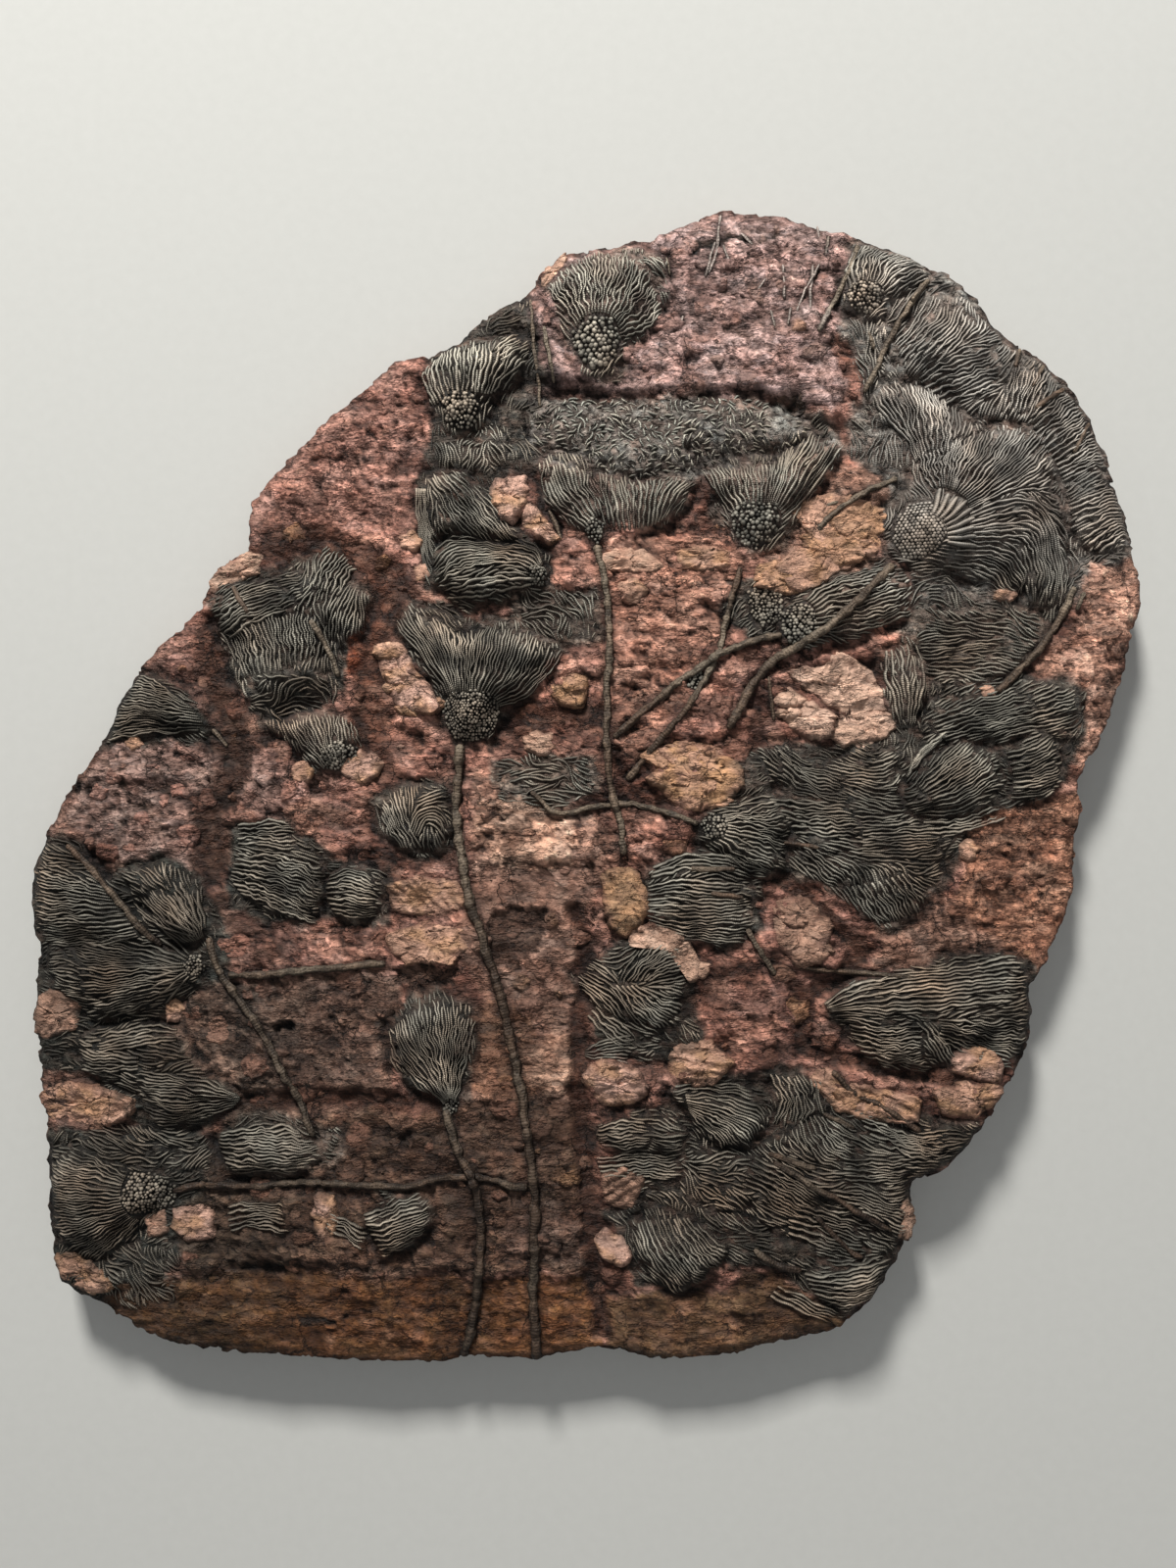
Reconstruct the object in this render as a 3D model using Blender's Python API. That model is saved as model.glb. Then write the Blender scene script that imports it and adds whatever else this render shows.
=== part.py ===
"""Crinoid slab: a broken sheet of red limestone with sea-lily crowns and stems fixed on its face.

The slab lies on its flat back. +Z is up out of the fossil face, +X and +Y run across it, and the
origin is the middle of the back. Plan shapes are sketched in drawing units (x to the right, y down
from the sheet's top left corner) and turned into metres by UNIT and SHEET_MIDDLE.
"""

import math

import bpy
from mathutils import Vector
from mathutils.geometry import delaunay_2d_cdt

# ---------------------------------------------------------------- driving dimensions (metres)
UNIT = 0.000928  # one drawing unit
SHEET_MIDDLE = (598.5, 804.5)  # the drawing point that is the origin
SLAB_THICKNESS = 0.050  # back to the level of the plain rock face
EDGE_ROLL = 0.007  # how far the face drops towards the broken rim
EDGE_ROLL_UNITS = 11.0
LEDGE_HEIGHT = 0.007  # the upper bed stands over the one below it
LOWER_BAND_DROP = 0.004  # the bare bed along the lower edge
SEAM_DEPTH = 0.0045  # cracks filled with red mud
WAVE_HEIGHT = 0.0022
SKIN_GAP = 0.0003  # between a fossil and what it lies on
CROWN_RIM = 0.0020  # thickness of a crown at its outline
CROWN_SHOULDER_UNITS = 24.0
STEM_RIM_SHARE = 0.30  # rim thickness of a stem over its width
STEM_TOP_SHARE = 0.62
REST_INSET = 0.006  # how far the back's outline lies inside the face's
GRID_UNITS = 42.0  # spacing of the plain surface points

# ---------------------------------------------------------------- plan sketches (drawing units)
# Broken outline of the slab, clockwise from its highest point.
OUTLINE = [
    (740, 211), (768, 214), (800, 216), (836, 230), (869, 236), (881, 239), (909, 249), (933, 258),
    (954, 270), (978, 282), (1001, 302), (1014, 322), (1031, 338), (1055, 352), (1077, 372), (1092, 388),
    (1105, 405), (1118, 430), (1133, 463), (1147, 503), (1158, 536), (1164, 570), (1170, 600), (1168, 618),
    (1158, 655), (1144, 711), (1122, 768), (1104, 796), (1109, 829), (1101, 863), (1102, 907), (1090, 940),
    (1071, 984), (1056, 1009), (1057, 1035), (1052, 1068), (1038, 1099), (1029, 1108), (1015, 1141), (993, 1169),
    (969, 1196), (935, 1209), (930, 1225), (935, 1259), (921, 1280), (908, 1308), (892, 1331), (878, 1346),
    (853, 1366), (802, 1374), (760, 1386), (715, 1392), (664, 1392), (632, 1384), (616, 1382), (584, 1386),
    (549, 1394), (519, 1393), (487, 1391), (468, 1392), (444, 1398), (402, 1398), (362, 1396), (320, 1392),
    (281, 1389), (228, 1387), (161, 1375), (129, 1360), (99, 1338), (74, 1325), (58, 1309), (50, 1287),
    (45, 1248), (43, 1206), (39, 1136), (35, 1087), (32, 1028), (35, 970), (29, 948), (27, 920),
    (29, 888), (42, 857), (67, 804), (92, 773), (102, 751), (118, 714), (139, 682), (166, 650),
    (182, 640), (200, 620), (209, 597), (222, 576), (250, 562), (252, 540), (254, 510), (290, 470),
    (325, 434), (367, 398), (405, 363), (434, 362), (468, 346), (495, 320), (519, 306), (538, 299),
    (553, 278), (578, 258), (610, 250), (632, 248), (669, 240), (688, 231), (716, 219),
]

# Lower edge of the upper bed: the face is higher on its upper side.
LEDGE = [(556, 384), (600, 396), (650, 401), (700, 396), (760, 396), (800, 404), (832, 424), (868, 428)]

# Lower edge bed: the face is lower below this line.
BAND = [(120, 1318), (200, 1296), (300, 1292), (400, 1300), (520, 1304), (604, 1302), (650, 1330), (720, 1322),
        (760, 1296), (800, 1300), (840, 1345)]

# Cracks filled with red mud: points along the crack and its half width.
SEAMS = [
    ([(588, 930), (602, 990), (592, 1050), (590, 1110), (598, 1180), (600, 1240), (606, 1300), (616, 1376)], 13),
    ([(206, 632), (214, 690), (236, 735), (238, 790), (210, 830), (214, 880)], 22),
    ([(268, 552), (330, 548), (400, 590), (384, 650), (376, 720), (384, 780)], 26),
    ([(512, 712), (560, 730), (606, 728)], 18),
    ([(800, 898), (842, 934), (884, 972), (850, 1006), (812, 1022)], 12),
    ([(796, 990), (826, 1024), (818, 1070), (880, 1086), (960, 1100), (1040, 1100)], 12),
    ([(206, 1128), (270, 1126), (330, 1122), (400, 1124), (450, 1124)], 14),
]

# Crowns and arm mats in the order they were laid down: name, greatest thickness in metres, outline.
CROWNS = [
    ("arm_mat_upper_middle", 0.0040, [(552, 414), (580, 406), (640, 408), (700, 404), (770, 406), (806, 424),
                                      (832, 440), (812, 456), (760, 462), (712, 466), (700, 482), (650, 486),
                                      (606, 476), (600, 458), (560, 456), (544, 440)]),
    ("arm_mat_upper_right", 0.0050, [(914, 352), (950, 304), (984, 300), (1024, 344), (1062, 366), (1100, 420),
                                     (1124, 470), (1142, 516), (1150, 552), (1116, 560), (1096, 536), (1090, 496),
                                     (1084, 452), (1040, 426), (990, 424), (958, 386), (924, 378)]),
    ("arm_mat_right", 0.0050, [(930, 736), (956, 718), (1010, 706), (1060, 694), (1100, 704), (1102, 730),
                               (1080, 746), (1040, 748), (1020, 758), (990, 750), (950, 760)]),
    ("arm_mat_middle_right", 0.0060, [(776, 764), (804, 764), (836, 784), (882, 764), (918, 772), (920, 812),
                                      (936, 838), (984, 846), (962, 872), (962, 900), (940, 930), (906, 948),
                                      (872, 926), (842, 902), (806, 884), (816, 850), (812, 806), (790, 792)]),
    ("arm_mat_lower_right", 0.0050, [(796, 1098), (838, 1104), (836, 1136), (880, 1160), (940, 1154), (1006, 1146),
                                     (990, 1166), (964, 1192), (928, 1206), (926, 1262), (880, 1266), (840, 1240),
                                     (800, 1256), (760, 1240), (726, 1226), (718, 1186), (760, 1180), (792, 1166)]),
    ("crown_top", 0.0080, [(560, 290), (572, 272), (606, 260), (650, 254), (680, 266), (678, 300), (662, 336),
                           (636, 354), (626, 380), (600, 382), (584, 354), (570, 322)]),
    ("crown_top_right", 0.0070, [(864, 272), (878, 250), (908, 256), (944, 270), (950, 282), (908, 304), (900, 320),
                                 (876, 322), (862, 308)]),
    ("crown_top_left", 0.0090, [(432, 382), (446, 360), (480, 350), (512, 342), (540, 346), (532, 376), (506, 398),
                                (492, 430), (468, 442), (450, 428), (440, 408)]),
    ("crown_comb_left", 0.0080, [(552, 474), (566, 464), (592, 462), (606, 486), (616, 520), (612, 546),
                                 (580, 536), (560, 512)]),
    ("crown_comb_middle", 0.0070, [(612, 484), (646, 492), (686, 486), (712, 488), (696, 516), (676, 534),
                                   (644, 540), (622, 530)]),
    ("crown_comb_right", 0.0100, [(718, 478), (746, 470), (800, 462), (850, 444), (862, 454), (838, 490), (806, 532),
                                  (794, 556), (764, 560), (744, 540), (734, 506)]),
    ("arm_mat_left_of_comb", 0.0070, [(428, 500), (444, 482), (474, 484), (500, 508), (528, 548), (500, 550),
                                      (456, 546), (434, 538)]),
    ("crown_lying_left", 0.0110, [(442, 566), (456, 554), (500, 554), (548, 564), (558, 582), (544, 602), (504, 612),
                                  (464, 608), (442, 592)]),
    ("crown_left_main", 0.0120, [(404, 628), (418, 614), (450, 628), (480, 640), (530, 636), (572, 664), (546, 698),
                                 (512, 722), (500, 752), (478, 758), (458, 746), (452, 716), (430, 672)]),
    ("crown_big_right", 0.0130, [(904, 536), (912, 514), (934, 496), (930, 450), (896, 420), (894, 392), (936, 388),
                                 (966, 402), (996, 436), (1040, 434), (1076, 460), (1072, 500), (1090, 540),
                                 (1088, 606), (1066, 618), (1030, 594), (980, 580), (940, 584), (912, 568)]),
    ("crown_beaded_middle", 0.0080, [(796, 630), (814, 608), (850, 588), (912, 576), (930, 594), (920, 630),
                                     (876, 650), (826, 660), (800, 650)]),
    ("crown_fan_red", 0.0060, [(900, 670), (926, 662), (946, 682), (944, 712), (930, 742), (914, 732), (904, 704)]),
    ("crown_right_branching", 0.0070, [(926, 812), (946, 778), (982, 756), (1014, 768), (1026, 794), (1010, 818),
                                       (972, 834), (936, 830)]),
    ("crown_right_rim", 0.0060, [(1038, 764), (1064, 746), (1084, 762), (1084, 796), (1062, 816), (1040, 806)]),
    ("crown_middle_right", 0.0100, [(712, 838), (738, 822), (786, 812), (806, 826), (802, 884), (776, 896),
                                    (736, 876), (716, 856)]),
    ("crown_swept_middle", 0.0060, [(662, 888), (700, 872), (750, 880), (768, 904), (768, 944), (742, 964),
                                    (694, 958), (664, 936)]),
    ("crown_curled_middle", 0.0070, [(590, 1002), (612, 978), (660, 958), (694, 966), (698, 1004), (694, 1044),
                                     (664, 1060), (634, 1042), (606, 1022)]),
    ("crown_swept_lower", 0.0080, [(686, 1114), (730, 1114), (770, 1122), (786, 1146), (768, 1170), (738, 1172),
                                   (710, 1146)]),
    ("crown_ringed_lower", 0.0070, [(606, 1156), (634, 1142), (680, 1142), (704, 1156), (692, 1176), (640, 1178),
                                    (614, 1170)]),
    ("crown_domed_bottom", 0.0110, [(648, 1250), (668, 1236), (704, 1248), (740, 1276), (722, 1304), (692, 1320),
                                    (664, 1302), (648, 1274)]),
    ("crown_bottom_right", 0.0060, [(824, 1302), (856, 1286), (906, 1290), (892, 1324), (868, 1340), (842, 1322)]),
    ("crown_long_right", 0.0110, [(844, 1026), (876, 1004), (940, 988), (1000, 974), (1044, 984), (1050, 1036),
                                  (1032, 1090), (1004, 1066), (968, 1072), (950, 1096), (906, 1090), (866, 1054)]),
    ("crown_lower_middle", 0.0090, [(396, 1054), (416, 1022), (448, 1012), (480, 1032), (482, 1068), (468, 1120),
                                    (454, 1130), (424, 1106), (402, 1086)]),
    ("crown_left_upper", 0.0110, [(212, 622), (226, 602), (276, 590), (334, 560), (350, 594), (372, 606), (366, 642),
                                  (338, 660), (344, 700), (316, 712), (276, 732), (246, 708), (234, 664)]),
    ("crown_left_small", 0.0080, [(270, 738), (314, 724), (356, 736), (368, 762), (346, 786), (318, 778)]),
    ("crown_left_rim_upper", 0.0070, [(118, 722), (142, 688), (172, 696), (204, 720), (206, 744), (160, 744),
                                      (112, 752)]),
    ("crown_left_wavy", 0.0070, [(240, 852), (280, 838), (310, 862), (326, 886), (322, 930), (300, 936), (254, 916),
                                 (238, 884)]),
    ("crown_left_oval", 0.0080, [(336, 896), (364, 884), (388, 900), (386, 928), (362, 940), (340, 928)]),
    ("crown_arched_left", 0.0070, [(384, 822), (408, 804), (450, 804), (460, 836), (448, 866), (412, 866),
                                   (390, 848)]),
    ("crown_left_rim", 0.0080, [(34, 888), (48, 864), (72, 866), (112, 908), (156, 964), (110, 960), (46, 952),
                                (34, 930)]),
    ("crown_left_twin_upper", 0.0080, [(124, 892), (170, 882), (204, 908), (212, 948), (192, 964), (162, 944)]),
    ("crown_left_twin_lower", 0.0090, [(48, 972), (104, 966), (170, 972), (202, 980), (200, 1002), (160, 1026),
                                       (96, 1040), (54, 1006)]),
    ("crown_left_flat", 0.0070, [(80, 1060), (128, 1046), (178, 1054), (196, 1088), (246, 1122), (214, 1140),
                                 (162, 1150), (142, 1110), (90, 1096)]),
    ("crown_left_lower_fan", 0.0110, [(50, 1178), (84, 1174), (124, 1192), (170, 1204), (166, 1228), (136, 1254),
                                      (108, 1280), (62, 1270), (50, 1230)]),
    ("crown_small_arched", 0.0060, [(222, 1162), (256, 1148), (310, 1154), (328, 1178), (300, 1198), (236, 1196)]),
    ("crown_lower_wavy", 0.0070, [(376, 1242), (400, 1226), (434, 1224), (438, 1248), (414, 1274), (390, 1282)]),
]

# Stems, lower ones first: name, width in units, centre line.
STEMS = [
    ("stem_left_diagonal", 9, [(68, 862), (98, 893), (130, 932), (162, 966)]),
    ("stem_left_long", 10, [(211, 958), (224, 994), (258, 1040), (280, 1078), (302, 1120), (320, 1160)]),
    ("stem_left_branch", 10, [(232, 996), (281, 993), (335, 987), (392, 984)]),
    ("stem_low_cross", 9, [(176, 1216), (204, 1210), (262, 1212), (330, 1208), (410, 1211), (456, 1202), (500, 1203),
                           (522, 1211), (538, 1212)]),
    ("stem_low_short", 12, [(454, 1134), (468, 1176), (486, 1216), (491, 1270), (486, 1330), (472, 1390)]),
    ("stem_left_main", 13, [(470, 760), (465, 830), (478, 910), (496, 970), (516, 1040), (534, 1140), (545, 1230),
                            (543, 1310), (547, 1392)]),
    ("stem_arch_middle", 8, [(542, 808), (568, 830), (604, 824), (646, 820), (684, 830), (712, 841)]),
    ("stem_upright_middle", 10, [(608, 556), (618, 600), (622, 650), (618, 730), (621, 796), (632, 838), (637, 872)]),
    ("stem_crossing_upper", 9, [(756, 578), (742, 630), (728, 678), (696, 728), (662, 768), (640, 796)]),
    ("stem_crossing_lower", 10, [(798, 648), (752, 660), (706, 686), (664, 718), (626, 752)]),
    ("stem_of_big_crown", 12, [(910, 576), (874, 612), (836, 646), (790, 674), (766, 702), (744, 744)]),
    ("stem_thin_upper", 8, [(916, 487), (878, 504), (848, 526), (834, 542)]),
    ("stem_ridge_upper", 8, [(948, 284), (924, 318), (900, 362), (882, 400)]),
    ("stem_ridge_top", 7, [(876, 250), (862, 286), (844, 320), (834, 340)]),
    ("stem_right_curved", 10, [(1098, 598), (1078, 640), (1050, 676), (1018, 706)]),
    ("stem_low_right_b", 8, [(790, 1186), (848, 1220), (910, 1256)]),
    ("stem_low_right_c", 10, [(770, 1276), (790, 1290), (818, 1298)]),
]

COLOURS = {
    "rock": (0.165, 0.075, 0.056),
    "fossil": (0.085, 0.085, 0.075),
    "stem": (0.150, 0.135, 0.112),
}


# ---------------------------------------------------------------- plan geometry helpers
def segment_distance(p, a, b):
    """Distance from p to segment ab, and the signed side of p (positive to the right of a->b on the sheet)."""
    ax, ay = a
    dx, dy = b[0] - ax, b[1] - ay
    px, py = p[0] - ax, p[1] - ay
    length2 = dx * dx + dy * dy
    t = 0.0 if length2 == 0 else max(0.0, min(1.0, (px * dx + py * dy) / length2))
    ex, ey = px - t * dx, py - t * dy
    return math.hypot(ex, ey), dx * py - dy * px


def line_distance(p, points):
    best, side = 1e9, 0.0
    for a, b in zip(points, points[1:]):
        d, s = segment_distance(p, a, b)
        if d < best:
            best, side = d, s
    return best, side


def ring_distance(p, ring):
    return line_distance(p, ring + ring[:1])[0]


def inside(p, ring):
    x, y = p
    hit = False
    for (x0, y0), (x1, y1) in zip(ring, ring[1:] + ring[:1]):
        if (y0 > y) != (y1 > y) and x < (x1 - x0) * (y - y0) / (y1 - y0) + x0:
            hit = not hit
    return hit


def ease(t):
    t = max(0.0, min(1.0, t))
    return t * t * (3.0 - 2.0 * t)


def metres(p, z):
    return Vector(((p[0] - SHEET_MIDDLE[0]) * UNIT, (SHEET_MIDDLE[1] - p[1]) * UNIT, z))


# ---------------------------------------------------------------- height of the rock face
def face_height(p):
    x, y = p
    z = SLAB_THICKNESS
    z += WAVE_HEIGHT * (math.sin(x / 97 + 0.6) * math.cos(y / 121 - 0.4) + 0.6 * math.sin((x + 1.3 * y) / 63))
    d, side = line_distance(p, LEDGE)
    if 520 < x < 900 and y < 460:
        above = 0.5 - 0.5 * math.copysign(min(1.0, d / 7.0), side)
        fade = ease((x - 530) / 40) * ease((890 - x) / 40) * ease((y - 215) / 90 + 0.35)
        z += LEDGE_HEIGHT * above * fade
    d, side = line_distance(p, BAND)
    if y > 1270:
        z -= LOWER_BAND_DROP * (0.5 + 0.5 * math.copysign(min(1.0, d / 12.0), side))
    cut = 0.0
    for points, half in SEAMS:
        d, _ = line_distance(p, points)
        if d < 1.6 * half:
            cut = max(cut, 1.0 - ease(d / (1.6 * half)))
    z -= SEAM_DEPTH * cut
    rim = ring_distance(p, OUTLINE)
    z -= EDGE_ROLL * math.exp(-rim / EDGE_ROLL_UNITS)
    return z


# ---------------------------------------------------------------- one shared plan triangulation
def stem_ring(width, points):
    """Outline of a stem: its centre line moved half a width to each side."""
    left, right = [], []
    for i, p in enumerate(points):
        a, b = points[max(0, i - 1)], points[min(len(points) - 1, i + 1)]
        dx, dy = b[0] - a[0], b[1] - a[1]
        n = math.hypot(dx, dy)
        ox, oy = -dy / n * width / 2, dx / n * width / 2
        left.append((p[0] + ox, p[1] + oy))
        right.append((p[0] - ox, p[1] - oy))
    return left + right[::-1]


def build_plan():
    verts, edges = [], []

    def add_ring(ring):
        start = len(verts)
        verts.extend(Vector(p) for p in ring)
        edges.extend((start + i, start + (i + 1) % len(ring)) for i in range(len(ring)))

    add_ring(OUTLINE)
    for _, _, ring in CROWNS:
        add_ring(ring)
    for _, width, points in STEMS:
        add_ring(stem_ring(width, points))
        start = len(verts)
        verts.extend(Vector(p) for p in points)
        edges.extend((start + i, start + i + 1) for i in range(len(points) - 1))
    lines = [OUTLINE + OUTLINE[:1]] + [r + r[:1] for _, _, r in CROWNS]
    lines += [(lambda r: r + r[:1])(stem_ring(w, p)) for _, w, p in STEMS]
    row = 0
    y = GRID_UNITS * 4.4
    while y < 1400:
        x = GRID_UNITS * (0.6 + 0.5 * (row % 2))
        while x < 1175:
            p = (x + 9 * math.sin(0.13 * y + x), y + 9 * math.sin(0.11 * x + 2 * y))
            if inside(p, OUTLINE) and min(line_distance(p, line)[0] for line in lines) > GRID_UNITS * 0.27:
                verts.append(Vector(p))
            x += GRID_UNITS
        y += GRID_UNITS * 0.866
        row += 1
    out_v, _, out_f, _, _, _ = delaunay_2d_cdt(verts, edges, [], 0, 0.35)
    points = [(v.x, v.y) for v in out_v]
    tris = []
    for f in out_f:
        for k in range(1, len(f) - 1):
            tri = (f[0], f[k], f[k + 1])
            a, b, c = (points[i] for i in tri)
            area = (b[0] - a[0]) * (c[1] - a[1]) - (b[1] - a[1]) * (c[0] - a[0])
            if abs(area) < 1e-6:
                continue
            if area > 0:  # the sheet's y runs down, so turn each one to face up
                tri = (tri[0], tri[2], tri[1])
            middle = ((a[0] + b[0] + c[0]) / 3, (a[1] + b[1] + c[1]) / 3)
            if inside(middle, OUTLINE):
                tris.append((tri, middle))
    return points, tris


def largest_patch(tris):
    """The largest set of triangles joined edge to edge, with no corner that only touches."""
    tris = list(tris)
    while True:
        owner = {}
        for n, t in enumerate(tris):
            for i in range(3):
                owner.setdefault(frozenset((t[i], t[(i + 1) % 3])), []).append(n)
        seen, best = set(), []
        for n in range(len(tris)):
            if n in seen:
                continue
            patch, queue = [], [n]
            seen.add(n)
            while queue:
                m = queue.pop()
                patch.append(m)
                t = tris[m]
                for i in range(3):
                    for k in owner[frozenset((t[i], t[(i + 1) % 3]))]:
                        if k not in seen:
                            seen.add(k)
                            queue.append(k)
            if len(patch) > len(best):
                best = patch
        tris = [tris[n] for n in best]
        count = {}
        for t in tris:
            for i in range(3):
                a, b = t[i], t[(i + 1) % 3]
                count[(a, b)] = 1
        ends = {}
        for a, b in count:
            if (b, a) not in count:
                ends.setdefault(a, []).append(b)
        pinched = {a for a, b in ends.items() if len(b) > 1}
        if not pinched:
            return tris
        fans = {}
        for n, t in enumerate(tris):
            for v in t:
                if v in pinched:
                    fans.setdefault(v, []).append(n)
        drop = set(min(fans.values(), key=len)[:1])
        tris = [t for n, t in enumerate(tris) if n not in drop]


def boundary_loop(tris):
    half = {}
    for t in tris:
        for i in range(3):
            half[(t[i], t[(i + 1) % 3])] = True
    after = {a: b for a, b in half if (b, a) not in half}
    first = min(after)
    loop, v = [first], after[first]
    while v != first:
        loop.append(v)
        v = after[v]
    return loop


# ---------------------------------------------------------------- solids
def make_material(name, colour, roughness):
    material = bpy.data.materials.new(name)
    material.use_nodes = True
    shader = material.node_tree.nodes["Principled BSDF"]
    shader.inputs["Base Color"].default_value = (*colour, 1.0)
    shader.inputs["Roughness"].default_value = roughness
    shader.inputs["Metallic"].default_value = 0.0
    material.diffuse_color = (*colour, 1.0)
    return material


def make_object(name, verts, faces, colour, roughness, parent):
    mesh = bpy.data.meshes.new(name)
    mesh.from_pydata(verts, [], faces)
    mesh.validate()
    mesh.update()
    obj = bpy.data.objects.new(name, mesh)
    bpy.context.scene.collection.objects.link(obj)
    mesh.materials.append(make_material(name, colour, roughness))
    mesh.shade_smooth()
    mesh.set_sharp_from_angle(angle=math.radians(40))
    obj.parent = parent
    return obj


def skin_solid(tris, loop, points, low, high):
    """Closed solid over a patch of the plan: its underside at low, its upper side at high, walls between."""
    used = sorted({v for t in tris for v in t})
    index = {v: i for i, v in enumerate(used)}
    n = len(used)
    verts = [metres(points[v], high[v]) for v in used] + [metres(points[v], low[v]) for v in used]
    faces = [tuple(index[v] for v in t) for t in tris]
    faces += [tuple(n + index[v] for v in reversed(t)) for t in tris]
    for a, b in zip(loop, loop[1:] + loop[:1]):
        i, j = index[a], index[b]
        faces.append((i, n + i, n + j))
        faces.append((i, n + j, j))
    return verts, faces


def slab_solid(tris, loop, points, height):
    """The rock: its face, a broken rim in two steps and a flat back."""
    used = sorted({v for t in tris for v in t})
    index = {v: i for i, v in enumerate(used)}
    verts = [metres(points[v], height[v]) for v in used]
    faces = [tuple(index[v] for v in t) for t in tris]
    middle = Vector((0.0, 0.0))
    ring = [index[v] for v in loop]
    for step, (share, inset, rough) in enumerate([(0.55, 0.0012, 0.0022), (0.0, REST_INSET, 0.0030)]):
        new = []
        for k, v in enumerate(loop):
            top = metres(points[v], 0.0)
            flat = Vector((top.x, top.y))
            reach = inset + rough * (0.5 + 0.5 * math.sin(1.7 * k + 2.1 * step) * math.cos(0.45 * k + step))
            flat = flat + (middle - flat).normalized() * reach
            new.append(len(verts))
            verts.append(Vector((flat.x, flat.y, share * SLAB_THICKNESS)))
        count = len(loop)
        for k in range(count):
            a, b = ring[k], ring[(k + 1) % count]
            c, d = new[k], new[(k + 1) % count]
            faces.append((a, c, d))
            faces.append((a, d, b))
        ring = new
    back = [Vector((verts[i].x, verts[i].y)) for i in ring]
    _, _, back_faces, orig, _, _ = delaunay_2d_cdt(back, [(i, (i + 1) % len(back)) for i in range(len(back))], [], 1, 1e-7)
    for f in back_faces:
        for k in range(1, len(f) - 1):
            a, b, c = (ring[orig[i][0]] for i in (f[0], f[k], f[k + 1]))
            pa, pb, pc = verts[a], verts[b], verts[c]
            turn = (pb.x - pa.x) * (pc.y - pa.y) - (pb.y - pa.y) * (pc.x - pa.x)
            faces.append((a, c, b) if turn > 0 else (a, b, c))
    return verts, faces


def main():
    for old in list(bpy.data.objects):
        bpy.data.objects.remove(old, do_unlink=True)
    slab = bpy.data.objects.new("crinoid_slab", None)
    bpy.context.scene.collection.objects.link(slab)

    points, tris = build_plan()
    face = [face_height(p) for p in points]
    rock = [t for t, _ in tris]
    verts, faces = slab_solid(rock, boundary_loop(rock), points, face)
    make_object("matrix_slab", verts, faces, COLOURS["rock"], 0.9, slab)

    level = list(face)

    def lay(name, patch, thickness, colour, roughness):
        patch = largest_patch(patch)
        used = {v for t in patch for v in t}
        low, high = {}, {}
        for v in used:
            low[v] = level[v] + SKIN_GAP
            high[v] = low[v] + thickness(points[v])
        made = skin_solid(patch, boundary_loop(patch), points, low, high)
        make_object(name, *made, colour, roughness, slab)
        for v in used:
            level[v] = high[v]

    for name, top, ring in CROWNS:
        patch = [t for t, m in tris if inside(m, ring)]

        def thickness(p, top=top, ring=ring):
            rise = ease(ring_distance(p, ring) / CROWN_SHOULDER_UNITS) if inside(p, ring) else 0.0
            return CROWN_RIM + (top - CROWN_RIM) * rise

        lay(name, patch, thickness, COLOURS["fossil"], 0.8)

    for name, width, line in STEMS:
        ring = stem_ring(width, line)
        patch = [t for t, m in tris if inside(m, ring)]

        def thickness(p, width=width, line=line):
            across = min(1.0, line_distance(p, line)[0] / (width / 2))
            arch = math.sqrt(max(0.0, 1.0 - across * across))
            return width * UNIT * (STEM_RIM_SHARE + (STEM_TOP_SHARE - STEM_RIM_SHARE) * arch)

        lay(name, patch, thickness, COLOURS["stem"], 0.75)


main()
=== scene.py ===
"""The looks of the crinoid slab: broken red limestone, grey crowns arm by arm, ringed stems."""
import math

import bpy
import numpy as np
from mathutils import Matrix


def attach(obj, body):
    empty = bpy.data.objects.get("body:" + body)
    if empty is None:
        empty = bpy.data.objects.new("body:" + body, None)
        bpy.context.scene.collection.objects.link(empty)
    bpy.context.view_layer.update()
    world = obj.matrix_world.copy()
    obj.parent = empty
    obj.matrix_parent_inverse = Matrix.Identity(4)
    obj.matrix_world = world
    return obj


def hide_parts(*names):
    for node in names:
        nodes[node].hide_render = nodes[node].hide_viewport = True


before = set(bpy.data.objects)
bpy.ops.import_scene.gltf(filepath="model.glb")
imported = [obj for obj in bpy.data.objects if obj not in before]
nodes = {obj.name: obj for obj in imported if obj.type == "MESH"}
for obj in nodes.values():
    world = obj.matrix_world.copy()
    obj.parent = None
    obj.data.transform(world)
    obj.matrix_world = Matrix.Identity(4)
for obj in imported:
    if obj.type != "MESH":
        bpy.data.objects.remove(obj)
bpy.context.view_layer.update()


# ------------------------------------------------------------------ the same plan as the CAD
UNIT = 0.000928
MID = (598.5, 804.5)
SLAB_THICKNESS = 0.050
EDGE_ROLL, EDGE_ROLL_UNITS = 0.007, 11.0
LEDGE_HEIGHT, LOWER_BAND_DROP, SEAM_DEPTH, WAVE_HEIGHT = 0.007, 0.004, 0.0045, 0.0022
CROWN_RIM, CROWN_SHOULDER_UNITS = 0.0020, 24.0

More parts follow.
